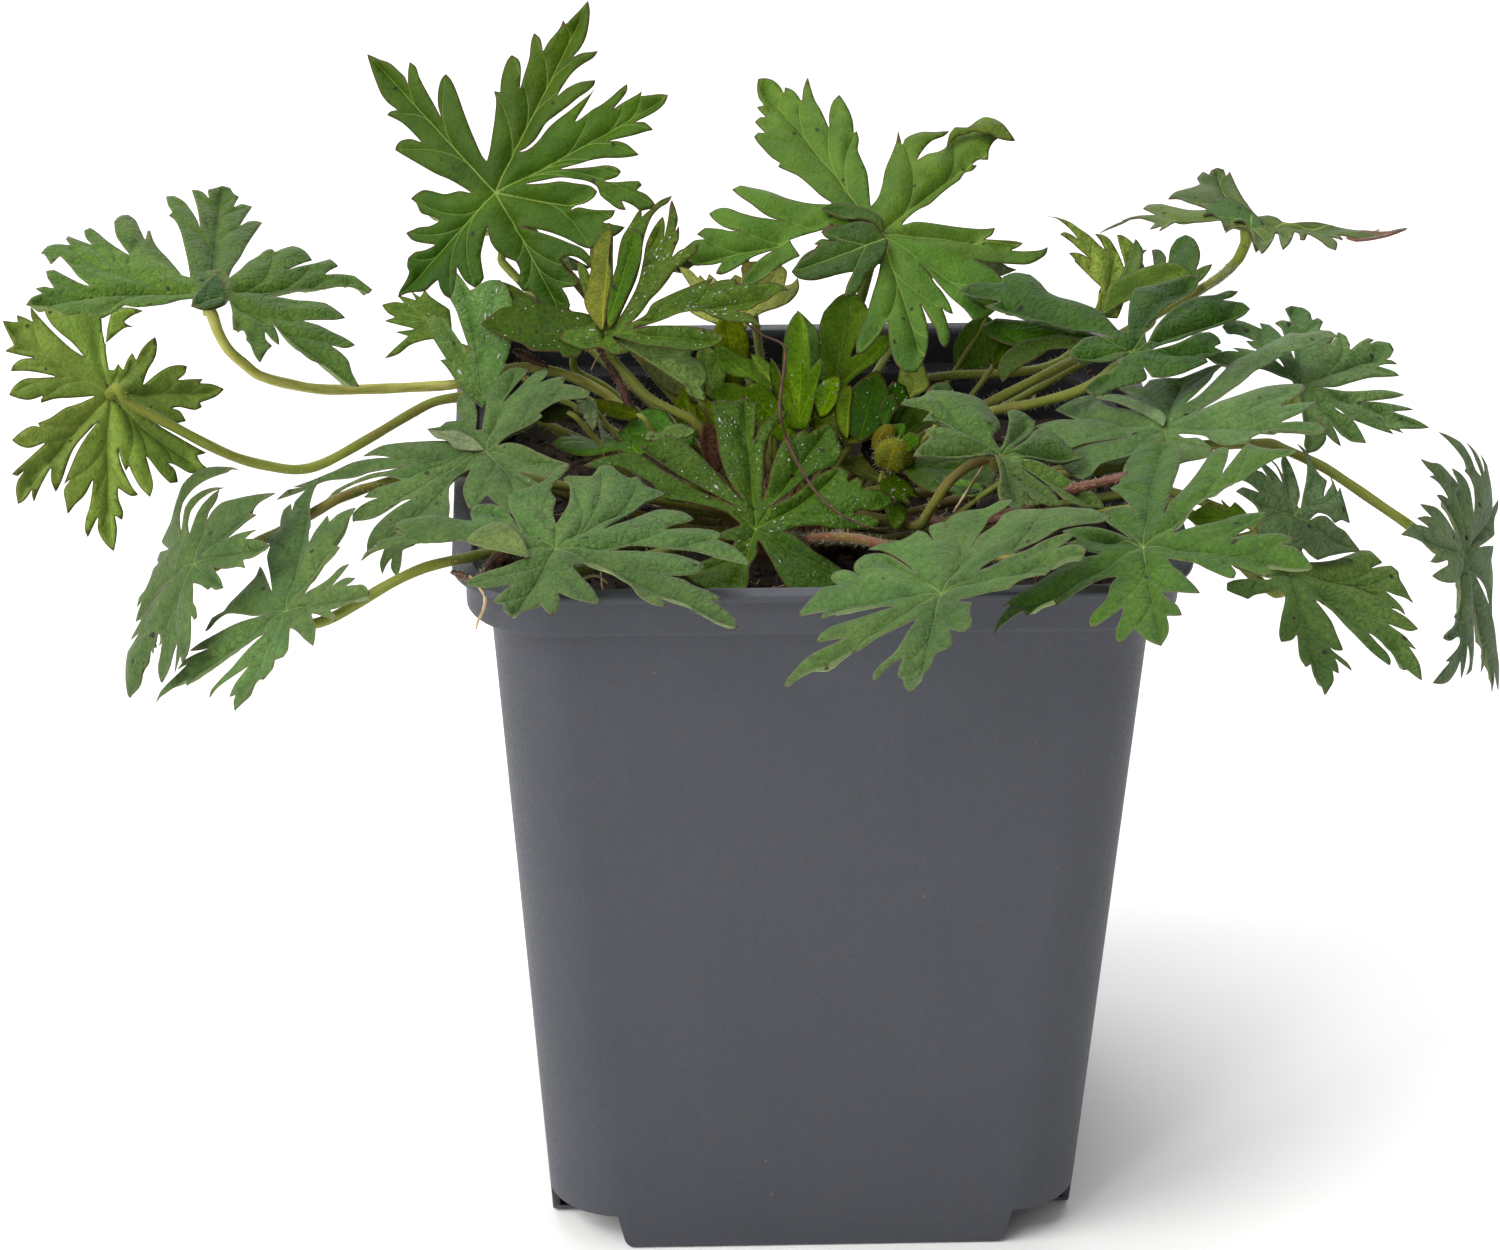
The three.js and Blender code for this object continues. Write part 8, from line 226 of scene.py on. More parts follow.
# Leaflets and lobes about the crown, too small to be pieces of the frame. "carrier" is the blade a lobe grows from.
LEAFLETS = [
    {"name": "leaflet_01", "key": "E1", "seed": 60, "at": (-9.02, 12, 100.17), "facing": (0.199, -0.8955, 0.398), "across": (0.9762, 0.2169, 0), "span": 5, "droop": 0.04, "foot": (0, 0),
     "look": {"mat": "young", "tint": [0.1505, 0.2298, 0.0044], "wet": 0.6}, "relief": 0.5, "radius": 0.38, "carrier": None,
     "path": [(-9.02, 12, 100.17), (-8.98, 11.64, 99.03), (-7.56, 8.65, 93.7), (-6.33, 5.2, 90.4), (-5.17, 1.86, 88.9)],
     "tags": "N...T....", "outline": [-0.03, -0.26, -1.45, 2.85, -2.19, 6.02, -1.63, 8.94, -0.17, 10.23, 1.63, 9.56, 2.47, 7.29, 2.33, 4.58, 1.38, 1.82]},
    {"name": "leaflet_02", "key": "E3", "seed": 61, "at": (-4.95, 8, 102), "facing": (0.0995, -0.796, 0.597), "across": (0.9923, 0.124, 0), "span": 5, "droop": 0.04, "foot": (0, 0),
     "look": {"mat": "young", "tint": [0.1319, 0.2467, 0.0243], "wet": 0.6}, "relief": 0.5, "radius": 0.38, "carrier": None,
     "path": [(-4.95, 8, 102), (-4.35, 7.65, 101.14), (-4.61, 6.27, 95.01), (-4.32, 4.19, 91.1), (-4.05, 2.12, 88.9)],
     "tags": "N...T.....", "outline": [-0.03, -0.26, -1.93, 1.57, -4.46, 2.25, -5.91, 3.39, -6.41, 6.35, -5.12, 6.27, -2.92, 4.82, -0.93, 3.91, 0.47, 2.23, 0.84, 0.62]},
    {"name": "leaflet_03", "key": "E4", "seed": 62, "at": (-4.23, 7, 103.22), "facing": (0.0995, -0.796, 0.597), "across": (0.9923, 0.124, 0), "span": 5, "droop": 0.04, "foot": (0, 0),
     "look": {"mat": "young", "tint": [0.2069, 0.3446, 0.0389], "wet": 0.6}, "relief": 0.5, "radius": 0.38, "carrier": None,
     "path": [(-4.23, 7, 103.22), (-3.84, 6.55, 102.25), (-4.05, 5.66, 95.66), (-3.89, 3.91, 91.38), (-3.75, 2.16, 88.9)],
     "tags": "N..T...", "outline": [-0.03, -0.26, -1.2, 1, -2.11, 2.37, -2.69, 4.4, -1.45, 3.8, -0.25, 2.8, 0.51, 1.3]},
    {"name": "leaflet_04", "key": "E6", "seed": 63, "at": (-0.31, 3, 99.43), "facing": (-0.1048, -0.9435, 0.3145), "across": (0.9939, -0.1104, 0), "span": 5, "droop": 0.04, "foot": (0, 0),
     "look": {"mat": "young", "tint": [0.0895, 0.2031, 0.0334], "wet": 0.6}, "relief": 0.5, "radius": 0.38, "carrier": None,
     "path": [(-0.31, 3, 99.43), (-0.35, 2.72, 98.36), (-0.34, 3, 93.94), (-0.37, 2.39, 90.78), (-0.39, 1.7, 88.9)],
     "tags": "N....T......", "outline": [0.01, -0.26, 0.17, 3.07, -0.16, 5.61, -0.77, 9.15, -1.37, 12.44, -1.56, 14.47, -0.12, 13.24, 1.19, 11.76, 1.51, 9.48, 1.34, 6.67, 0.92, 3.6, 0.62, 0.79]},
    {"name": "leaflet_05", "key": "E7", "seed": 64, "at": (-2, -3, 99.16), "facing": (0.2049, -0.7172, 0.666), "across": (0.9615, 0.2747, 0), "span": 5, "droop": 0.04, "foot": (0, 0),
     "look": {"mat": "young", "tint": [0.0642, 0.1293, 0.0018], "wet": 0.6}, "relief": 0.5, "radius": 0.38, "carrier": None,
     "path": [(-2, -3, 99.16), (-1.5, -3.43, 98.33), (-0.9, -3.25, 93.74), (0.02, -4.08, 90.68), (0.89, -4.97, 88.9)],
     "tags": "N....T.....", "outline": [-0.09, -0.4, -2.09, 0.8, -3.49, 2.33, -4.66, 4.91, -5.24, 7.16, -4.64, 8.72, -3.02, 8.8, -1.69, 7.55, -0.74, 5.8, -0.16, 3.55, 0.75, 0.99]},
    {"name": "leaflet_06", "key": "E12", "seed": 65, "at": (-14.67, 0, 98.89), "facing": (0.0995, -0.796, 0.597), "across": (0.9923, 0.124, 0), "span": 5, "droop": 0.04, "foot": (0, 0),
     "look": {"mat": "young", "tint": [0.089, 0.1411, 0.0014], "wet": 0.6}, "relief": 0.5, "radius": 0.38, "carrier": None,
     "path": [(-14.67, 0, 98.89), (-14.48, -0.51, 97.94), (-12.3, 0.01, 93.43), (-10.3, -0.6, 90.47), (-8.42, -1.29, 88.9)],
     "tags": "N..t.T..t..", "outline": [-0.02, -0.26, -1.46, 0.87, -2.18, 2.75, -2.27, 4.6, -1.23, 6.12, -0.6, 7.4, 0.05, 6.04, -0.08, 4.73, 0.85, 3.63, 0.3, 1.82, 0.66, 0.22]},
    {"name": "leaflet_07", "key": "E13", "seed": 66, "at": (-11.87, 4, 97.22), "facing": (0.1005, -0.7035, 0.7035), "across": (0.9899, 0.1414, 0), "span": 5, "droop": 0.04, "foot": (0, 0),
     "look": {"mat": "young", "tint": [0.1743, 0.2757, 0.0009], "wet": 0.6}, "relief": 0.5, "radius": 0.38, "carrier": None,
     "path": [(-11.87, 4, 97.22), (-11.54, 3.43, 96.4), (-10.23, 3.11, 92.65), (-8.85, 1.75, 90.19), (-7.56, 0.35, 88.9)],
     "tags": "N...T...", "outline": [-0.03, -0.27, -1.25, 1.47, -2.55, 3.51, -3.35, 5.51, -2.46, 6.42, -0.72, 5.75, 0.45, 4.69, 0.82, 2.44]},
    {"name": "leaflet_08", "key": "E8", "seed": 67, "at": (-24.99, -0.4, 112.57), "facing": (0.1205, -0.6226, 0.7732), "across": (0.9818, 0.19, 0), "span": 5, "droop": 0.04, "foot": (0, 0),
     "look": {"mat": "inner", "tint": [0.116, 0.1806, 0.0538], "wet": 0.6}, "relief": 0.5, "radius": 0.38, "carrier": "L12",
     "path": [],
     "tags": "N..t..t.T.t....", "outline": [0.14, 0.89, 3.49, -0.58, 6.94, -1.47, 10.14, -2.34, 9.61, -3.16, 11.09, -4.31, 11.32, -6.65, 10.41, -7.43, 10.52, -9.74, 8.52, -8.69, 7.99, -7.35, 6.23, -5.6, 4, -3.66, 1.96, -2.03, 0.23, -0.14]},
    {"name": "leaflet_09", "key": "E9", "seed": 68, "at": (-28.12, -6, 106.9), "facing": (0, -0.8619, 0.507), "across": (1, 0, 0), "span": 5, "droop": 0.04, "foot": (0, 0),
     "look": {"mat": "outer", "tint": [0.0859, 0.1309, 0.0583], "wet": 0.0}, "relief": 0.5, "radius": 0.3, "carrier": None,
     "path": [(-28.12, -6, 106.9), (-28.22, -5.55, 106.52), (-20.64, -4.23, 96.3), (-14.34, -3.36, 91.07), (-8.43, -2.66, 88.9)],
     "tags": "N...T...", "outline": [-0.12, 0.38, -1.5, -0.24, -1.15, -1.76, -0.29, -3.03, 0.7, -4.17, 1.21, -2.79, 1.23, -1.53, 0.75, -0.13]},
    {"name": "leaflet_10", "key": "E10", "seed": 69, "at": (-21.84, -4, 103.87), "facing": (0, -0.6, 0.8), "across": (1, 0, 0), "span": 5, "droop": 0.04, "foot": (0, 0),
     "look": {"mat": "young", "tint": [0.034, 0.0504, 0.0003], "wet": 0.6}, "relief": 0.5, "radius": 0.38, "carrier": None,
     "path": [(-21.84, -4, 103.87), (-21, -4.25, 103.28), (-16.76, -2.91, 95.36), (-12.48, -2.61, 90.97), (-8.47, -2.44, 88.9)],
     "tags": "N...T...", "outline": [0.37, -0.44, -1.65, -0.86, -4.02, -0.25, -5.51, 0.95, -6.75, 2.43, -4.49, 2.26, -1.98, 1.64, -0.11, 0.73]},
    {"name": "leaflet_11", "key": "E11", "seed": 70, "at": (-17.37, -6, 99.48), "facing": (0.0499, -0.5993, 0.799), "across": (0.9965, 0.083, 0), "span": 5, "droop": 0.04, "foot": (0, 0),
     "look": {"mat": "inner", "tint": [0.0521, 0.1416, 0.0166], "wet": 0.6}, "relief": 0.5, "radius": 0.38, "carrier": None,
     "path": [(-17.37, -6, 99.48), (-16.93, -6.61, 98.71), (-13.93, -4.41, 93.47), (-11.02, -3.69, 90.37), (-8.3, -3.13, 88.9)],
     "tags": "N..t.t...T..", "outline": [-0.05, -0.58, -3.01, 0.29, -5.2, 1.28, -7.35, 2.7, -5.57, 4.38, -4.55, 5.95, -2.46, 6.58, -0.48, 6.04, 0.49, 4.08, 2.48, 3.69, 2.8, 1.62, 1.5, -0.22]},
    {"name": "leaflet_12", "key": "E11b", "seed": 71, "at": (-17.2, -9, 101.66), "facing": (0.3042, -0.4056, 0.8619), "across": (0.8, 0.6, 0), "span": 5, "droop": 0.04, "foot": (0, 0),
     "look": {"mat": "inner", "tint": [0.0935, 0.17, 0.0416], "wet": 0.6}, "relief": 0.5, "radius": 0.3, "carrier": None,
     "path": [(-17.2, -9, 101.66), (-16.93, -9.73, 100.89), (-13.68, -6.55, 94.49), (-10.71, -5.1, 90.74), (-7.93, -3.86, 88.9)],
     "tags": "N.t....T...", "outline": [-0.16, -0.46, -1.8, 1.1, -3.68, 2.06, -2.21, 3.3, -0.93, 2.37, 0.79, 3.02, 2.91, 2.85, 4.2, 1.22, 2.47, 0.57, 1.2, 0.82, 0.95, -0.48]},
    {"name": "leaflet_13", "key": "E14", "seed": 72, "at": (-12.55, -5, 96.15), "facing": (0.6189, -0.722, 0.3094), "across": (0.7593, 0.6508, 0), "span": 5, "droop": 0.04, "foot": (0, 0),
     "look": {"mat": "young", "tint": [0.016, 0.1324, 0.0003], "wet": 0.6, "dry": 1}, "relief": 0.5, "radius": 0.38, "carrier": None,
     "path": [(-12.55, -5, 96.15), (-12.51, -5.31, 95.17), (-10.92, -3.84, 92.19), (-9.54, -3.48, 90.04), (-8.25, -3.26, 88.9)],
     "tags": "N..T...", "outline": [0.06, -0.41, -0.69, 2.4, -0.65, 4.99, 0.47, 6.52, 1.85, 5.38, 2.39, 3.02, 1.99, 0.38]},
    {"name": "leaflet_14", "key": "E16", "seed": 73, "at": (12.33, 2, 102.98), "facing": (-0.303, -0.8081, 0.5051), "across": (0.9363, -0.3511, 0), "span": 5, "droop": 0.04, "foot": (0, 0),
     "look": {"mat": "young", "tint": [0.1716, 0.2202, 0.0369], "wet": 0.6}, "relief": 0.5, "radius": 0.38, "carrier": None,
     "path": [(12.33, 2, 102.98), (12.11, 1.6, 101.86), (8.53, 1.38, 95.18), (5.32, 0.24, 91.02), (2.32, -0.94, 88.9)],
     "tags": "N..t..t.T..", "outline": [-0.04, -0.52, -1.25, 1.14, -1.55, 3.7, -1.63, 5.77, -0.78, 6.26, 0.08, 5.07, 0.52, 6.42, 1.62, 4.61, 2.82, 2.16, 1.93, 1.15, 0.87, 0.37]},
    {"name": "leaflet_15", "key": "E16b", "seed": 74, "at": (9.85, -5, 101.75), "facing": (0.2981, -0.7454, 0.5963), "across": (0.9285, 0.3714, 0), "span": 5, "droop": 0.04, "foot": (0, 0),
     "look": {"mat": "young", "tint": [0.0169, 0.0604, 0.0001], "wet": 0.6}, "relief": 0.5, "radius": 0.38, "carrier": None,
     "path": [(9.85, -5, 101.75), (9.65, -5.6, 100.81), (7, -3.72, 94.77), (4.6, -3.27, 90.95), (2.36, -2.95, 88.9)],
     "tags": "N..T....", "outline": [-0.14, -0.51, -0.42, 2.05, 0.53, 4.56, 2.09, 6.18, 3.56, 5.42, 3.79, 3.65, 2.36, 2.01, 1.11, 0.49]},
    {"name": "leaflet_16", "key": "E17", "seed": 75, "at": (9.94, -11, 102.45), "facing": (0.1009, -0.5044, 0.8575), "across": (0.9806, 0.1961, 0), "span": 5, "droop": 0.04, "foot": (0, 0),
     "look": {"mat": "young", "tint": [0.0216, 0.0806, 0.0], "wet": 0.6}, "relief": 0.5, "radius": 0.3, "carrier": None,
     "path": [(9.94, -11, 102.45), (9.67, -10.86, 100.68), (9.33, -10, 98.39)],
     "tags": "N...T..", "outline": [-0.01, -0.63, -1, 0.74, -1.01, 1.84, 0.36, 2.8, 2.2, 2.92, 1.93, 1.68, 1.02, 0.52]},
    {"name": "leaflet_17", "key": "E18", "seed": 76, "at": (10.29, -11.5, 101.98), "facing": (-0.1988, -0.4969, 0.8447), "across": (0.9285, -0.3714, 0), "span": 5, "droop": 0.04, "foot": (0, 0),
     "look": {"mat": "young", "tint": [0.0298, 0.0719, 0.0001], "wet": 0.6}, "relief": 0.5, "radius": 0.3, "carrier": None,
     "path": [(10.29, -11.5, 101.98), (9.65, -10.99, 100.43), (9.33, -10, 98.39)],
     "tags": "N..T..", "outline": [-0.04, -0.32, 0.04, 1.26, 0.83, 2.64, 2.58, 2.46, 2.67, 0.75, 1.54, -0.37]},
    # painted shade: this leaflet's tint is near black, for the deep shade among the crown's leaflets
    {"name": "leaflet_18", "key": "E20a", "seed": 77, "at": (8.87, -9.5, 97.78), "facing": (-0.4082, -0.8165, 0.4082), "across": (0.8944, -0.4472, 0), "span": 5, "droop": 0.04, "foot": (0, 0),
     "look": {"mat": "young", "tint": [0.0008, 0.0012, 0.0001], "wet": 0.6}, "relief": 0.5, "radius": 0.38, "carrier": None,
     "path": [(8.87, -9.5, 97.78), (9.16, -9.87, 97.8), (9.33, -10, 98.39)],
     "tags": "N..T...", "outline": [0.22, -0.47, -1.72, 0.48, -3.53, 2.09, -3.59, 3.87, -2.06, 3.73, -0.36, 2.61, 0.63, 0.99]},
    {"name": "leaflet_19", "key": "E20b", "seed": 78, "at": (8.61, -8, 96.48), "facing": (0, -0.507, 0.8619), "across": (1, 0, 0), "span": 5, "droop": 0.04, "foot": (0, 0),
     "look": {"mat": "young", "tint": [0.0809, 0.1093, 0.0177], "wet": 0.6}, "relief": 0.5, "radius": 0.38, "carrier": None,
     "path": [(8.61, -8, 96.48), (9.12, -8.97, 97.14), (9.33, -10, 98.39)],
     "tags": "N..T...", "outline": [0.35, -0.63, -1.89, 0.03, -3.86, 0.99, -5.56, 2.59, -3.49, 3.67, -1.49, 3.33, 0.08, 1.73]},
    {"name": "leaflet_20", "key": "E21", "seed": 79, "at": (8.33, -12, 97.89), "facing": (0.1009, -0.5044, 0.8575), "across": (0.9806, 0.1961, 0), "span": 5, "droop": 0.04, "foot": (0, 0),
     "look": {"mat": "young", "tint": [0.0271, 0.0567, 0.0012], "wet": 0.6}, "relief": 0.5, "radius": 0.3, "carrier": None,
     "path": [(8.33, -12, 97.89), (8.46, -11.11, 98.18), (9.33, -10, 98.39)],
     "tags": "N...T.T.t..", "outline": [-0.35, -0.43, 0.88, 1.63, 2.39, 0.84, 3.56, -0.86, 4.31, -3.28, 2.9, -2.66, 3.06, -4.23, 1.47, -3.28, 0.76, -4.14, 0.41, -2.23, -0.28, -1.84]},
    {"name": "leaflet_21", "key": "E22", "seed": 80, "at": (9.42, -13, 95.99), "facing": (0.1961, -0.5883, 0.7845), "across": (0.9487, 0.3162, 0), "span": 5, "droop": 0.04, "foot": (0, 0),
     "look": {"mat": "young", "tint": [0.0526, 0.1099, 0.0045], "wet": 0.6}, "relief": 0.5, "radius": 0.3, "carrier": None,
     "path": [(9.42, -13, 95.99), (9.3, -11.58, 97.14), (9.33, -10, 98.39)],
     "tags": "N...T..", "outline": [0, 0.44, 1.03, -0.16, 1.72, -1.87, 0.9, -3.62, -0.68, -4.82, -1.33, -3.42, -1.11, -1.42]},
    {"name": "leaflet_22", "key": "E24", "seed": 81, "at": (23.65, 20, 107.25), "facing": (0.103, -0.927, 0.3605), "across": (0.9939, 0.1104, 0), "span": 5, "droop": 0.04, "foot": (0, 0),
     "look": {"mat": "young", "tint": [0.0546, 0.1139, 0.0109], "wet": 0.6}, "relief": 0.5, "radius": 0.38, "carrier": None,
     "path": [(23.65, 20, 107.25), (23.87, 20.34, 106.72), (15.14, 13.16, 95.4), (7.96, 6.77, 90.23), (1.24, 0.67, 88.9)],
     "tags": "N...t.T...", "outline": [-0.11, 0.4, -2.15, -0.67, -3.69, -2.55, -4.31, -4.33, -4.15, -6.55, -1.91, -6.79, 0.35, -6.65, 0.99, -4.34, 1.61, -2.29, 1.17, -0.45]},
    {"name": "leaflet_23", "key": "E25", "seed": 82, "at": (40.28, -1, 110.24), "facing": (-0.1998, -0.3397, 0.9191), "across": (0.8619, -0.507, 0), "span": 5, "droop": 0.04, "foot": (0, 0),
     "look": {"mat": "inner", "tint": [0.0227, 0.0686, 0.0003], "wet": 0.6}, "relief": 0.5, "radius": 0.38, "carrier": "L19",
     "path": [],
     "tags": "N....t.T.t...", "outline": [-0.5, 1.24, -4.98, 1.97, -8.26, 2.45, -12.38, 2.9, -17.11, 2.43, -19.8, 2.11, -20.94, 0.25, -19.06, -1.39, -16.5, -2.06, -14.05, -2.18, -12.18, -0.72, -8.9, -0.23, -3.93, -0.44]},
    {"name": "leaflet_24", "key": "E26", "seed": 83, "at": (40.23, -1.5, 110.16), "facing": (-0.2001, -0.4501, 0.8703), "across": (0.9138, -0.4061, 0), "span": 5, "droop": 0.04, "foot": (0, 0),
     "look": {"mat": "outer", "tint": [0.0262, 0.051, 0.0068], "wet": 0.0}, "relief": 0.5, "radius": 0.38, "carrier": "L19",
     "path": [],
     "tags": "N......T.t....", "outline": [-0.27, 0.99, -5.77, 1.65, -9.8, 1.76, -13.45, 0.58, -15.33, -1.12, -16.23, -2.97, -16.09, -5.13, -14.86, -6.91, -14.2, -5.62, -12.92, -3.7, -11.5, -2.26, -10.5, -0.73, -7.85, -0.25, -3.79, -0.5]},
    {"name": "leaflet_25", "key": "E27", "seed": 84, "at": (26.38, 10, 108.72), "facing": (0, -0.8, 0.6), "across": (1, 0, 0), "span": 5, "droop": 0.04, "foot": (0, 0),
     "look": {"mat": "young", "tint": [0.0286, 0.064, 0.0002], "wet": 0.6}, "relief": 0.5, "radius": 0.38, "carrier": None,
     "path": [(26.38, 10, 108.72), (26.83, 10.47, 108.18), (17.15, 6.54, 96.56), (9.38, 3.01, 90.88), (2.09, -0.41, 88.9)],
     "tags": "N..T..", "outline": [0.01, 0.4, -1.81, -0.51, -2.76, -2.1, -2.58, -4.49, -1, -3.18, 0.21, -1.6]},
    {"name": "leaflet_26", "key": "E30", "seed": 85, "at": (17.05, -8, 108.02), "facing": (0.1005, -0.7035, 0.7035), "across": (0.9899, 0.1414, 0), "span": 5, "droop": 0.04, "foot": (0, 0),
     "look": {"mat": "young", "tint": [0.0398, 0.0731, 0.0232], "wet": 0.6}, "relief": 0.5, "radius": 0.38, "carrier": None,
     "path": [(17.05, -8, 108.02), (17.75, -8.35, 107.08), (11.44, -5.68, 97.3), (6.7, -4.34, 91.68), (2.27, -3.2, 88.9)],
     "tags": "N.T...", "outline": [0.16, -0.69, -1.58, -0.3, -3.02, 0.34, -1.6, 1.33, -0.06, 1.37, 0.54, 0.24]},
    {"name": "leaflet_27", "key": "E31", "seed": 86, "at": (23.02, -22, 101.64), "facing": (0.101, -0.4041, 0.9091), "across": (0.9701, 0.2425, 0), "span": 5, "droop": 0.04, "foot": (0, 0),
     "look": {"mat": "outer", "tint": [0.283, 0.3918, 0.127], "wet": 0.0}, "relief": 0.5, "radius": 0.38, "carrier": None,
     "path": [(23.02, -22, 101.64), (22.22, -21.66, 101.27), (14.79, -14.87, 92.52), (7.86, -9.49, 89.05), (1.36, -4.56, 88.9)],
     "tags": "N..T.t..", "outline": [-0.28, 0.38, 1.99, -0.29, 4.24, -0.61, 6.33, -2.27, 4.76, -3.57, 2.42, -4.41, 0.56, -3.3, -0.14, -1.34]},
    {"name": "leaflet_28", "key": "E34", "seed": 87, "at": (-30.64, -8, 105.85), "facing": (0, -0.8, 0.6), "across": (1, 0, 0), "span": 5, "droop": 0.04, "foot": (0, 0),
     "look": {"mat": "young", "tint": [0.013, 0.0204, 0.0035], "wet": 0.6}, "relief": 0.5, "radius": 0.38, "carrier": None,
     "path": [(-30.64, -8, 105.85), (-29.75, -8.04, 105.24), (-22.18, -5.56, 95.43), (-15.06, -4.12, 90.57), (-8.37, -2.89, 88.9)],
     "tags": "N..T...", "outline": [0.87, -0.4, -0.76, -1.15, -2.76, -1.39, -4, -0.86, -2.86, 0.42, -0.98, 1.04, 0.51, 0.64]},
    {"name": "leaflet_29", "key": "F1", "seed": 88, "at": (9.98, 13.4, 120.69), "facing": (0.1501, -0.5204, 0.8406), "across": (0.9608, 0.2772, 0), "span": 5, "droop": 0.04, "foot": (0, 0),
     "look": {"mat": "upper", "tint": [0.0234, 0.0597, 0.0049], "wet": 0.6}, "relief": 0.5, "radius": 0.38, "carrier": "L2",
     "path": [],
     "tags": "N....T...t..T.....T....", "outline": [0.43, -0.38, -0.66, 2.36, -2.62, 3.11, -4.89, 2.76, -6.24, 2.77, -7.8, 2, -7.29, 0.96, -6.08, 0.48, -7.69, 0.53, -9.03, 0.06, -9.99, -0.94, -11.89, -1.98, -13.36, -3.39, -12.64, -4.61, -10.79, -5.17, -8.42, -4.85, -5.53, -4.6, -6.88, -6.5, -7.68, -8.31, -5.95, -7.91, -3.94, -5.61, -1.62, -3.67, -0.38, -2.22]},
    {"name": "leaflet_30", "key": "F2", "seed": 89, "at": (10.21, 15.09, 121.16), "facing": (0.1894, -0.4785, 0.8574), "across": (0.9298, 0.368, 0), "span": 5, "droop": 0.04, "foot": (0, 0),
     "look": {"mat": "upper", "tint": [0.0288, 0.0642, 0.0057], "wet": 0.6}, "relief": 0.5, "radius": 0.38, "carrier": "L2",
     "path": [],
     "tags": "N....T.....", "outline": [-0.13, -0.32, -1.22, 1.57, -2.88, 2.37, -4.59, 2.68, -5.8, 3.57, -6.95, 4.96, -5.58, 5.57, -3.6, 5.22, -2.07, 4.44, -0.73, 3.52, 0.29, 1.81]},
    {"name": "leaflet_31", "key": "F3", "seed": 90, "at": (19.08, 30.44, 126.55), "facing": (0.1894, -0.4785, 0.8574), "across": (0.9298, 0.368, 0), "span": 5, "droop": 0.04, "foot": (0, 0),
     "look": {"mat": "upper", "tint": [0.0703, 0.1132, 0.008], "wet": 0.6}, "relief": 0.5, "radius": 0.38, "carrier": "L2",
     "path": [],
     "tags": "N.......T.......", "outline": [-0.13, -0.33, 1, 1.05, 2.56, 2.01, 3.78, 2.15, 5.07, 2.46, 6.16, 1.92, 7.32, 1.55, 8.14, 0.7, 9.92, 0.05, 9.92, 2.16, 9.09, 3.71, 7.38, 3.82, 5.54, 3.25, 3.97, 3.35, 2.75, 3.55, 1.4, 2.38]},
    {"name": "leaflet_32", "key": "E35", "seed": 91, "at": (-35.47, -45.83, 103.12), "facing": (0.01, -0.1692, 0.9855), "across": (0.9983, 0.0587, 0), "span": 5, "droop": 0.04, "foot": (0, 0),
     "look": {"mat": "outer", "tint": [0.0796, 0.1222, 0.0283], "wet": 0.0}, "relief": 0.5, "radius": 0.38, "carrier": "L13",
     "path": [],
     "tags": "N....T..", "outline": [-0.03, -0.43, -0.73, 3.51, -1.98, 6.64, -3.71, 7.63, -5.82, 6.01, -7.5, 3.5, -5.78, 2.31, -2.92, 0.62]},
    {"name": "leaflet_33", "key": "E36", "seed": 92, "at": (43.02, -12.19, 105.12), "facing": (-0.3011, -0.0201, 0.9534), "across": (0.0665, -0.9978, 0), "span": 5, "droop": 0.04, "foot": (0, 0),
     "look": {"mat": "outer", "tint": [0.1202, 0.1909, 0.0743], "wet": 0.0}, "relief": 0.5, "radius": 0.38, "carrier": "L18",
     "path": [],
     "tags": "N..T....", "outline": [0.57, 0.28, -5.36, -1.62, -11.3, -3.85, -15.34, -6.19, -14.95, -4.52, -11.81, -2.02, -6.74, -0.05, -2.11, 1.06]},
    {"name": "leaflet_34", "key": "E37", "seed": 93, "at": (-72.8, -11.79, 123.13), "facing": (0.2187, -0.1491, 0.9643), "across": (0.5633, 0.8262, 0), "span": 5, "droop": 0.04, "foot": (0, 0),
     "look": {"mat": "outer", "tint": [0.0183, 0.0657, 0.0018], "wet": 0.0}, "relief": 0.5, "radius": 0.38, "carrier": "L4",
     "path": [],
     "tags": "N.t..T..", "outline": [0.04, -0.59, 2.31, 1.81, 4, 4.07, 0.88, 3.36, -3.47, 1.82, -4.9, 0.85, -4.1, -0.55, -2.15, -1.05]},
    {"name": "leaflet_35", "key": "E38", "seed": 94, "at": (-41.09, -14.54, 104.08), "facing": (-0.31, -0.24, 0.92), "across": (0.6122, -0.7907, 0), "span": 5, "droop": 0.04, "foot": (0, 0),
     "look": {"mat": "outer", "tint": [0.1256, 0.1591, 0.0846], "wet": 0.0}, "relief": 0.5, "radius": 0.38, "carrier": "L8",
     "path": [],
     "tags": "N...T....", "outline": [0.31, -0.26, -3.37, 0.42, -6.25, 0.26, -8.18, -0.71, -10.18, -1.29, -7.57, -1.9, -5.67, -1.59, -3.37, -2.13, -1.15, -1.42]},
    {"name": "leaflet_36", "key": "E50", "seed": 95, "at": (-26.26, -1.2, 112.89), "facing": (-0.2102, -0.5606, 0.8009), "across": (0.9363, -0.3511, 0), "span": 5, "droop": 0.04, "foot": (0, 0),
     "look": {"mat": "inner", "tint": [0.0248, 0.0553, 0.001], "wet": 0.6}, "relief": 0.5, "radius": 0.38, "carrier": "L12",
     "path": [],
     "tags": "N.....T..T...t..t...", "outline": [0.04, 0.79, -1.22, 2.42, -2.84, 3.41, -5.32, 3.66, -7.9, 4.21, -11.08, 4.99, -14.28, 5.76, -13.25, 4.08, -14.72, 2.65, -16.45, 0.28, -14.81, -0.7, -12.57, -1.45, -10.42, -1.9, -8.67, -2.85, -6.83, -2.74, -4.86, -2.61, -4.27, -3.28, -2.35, -3.01, -1.77, -1.27, -0.36, -0.62]},
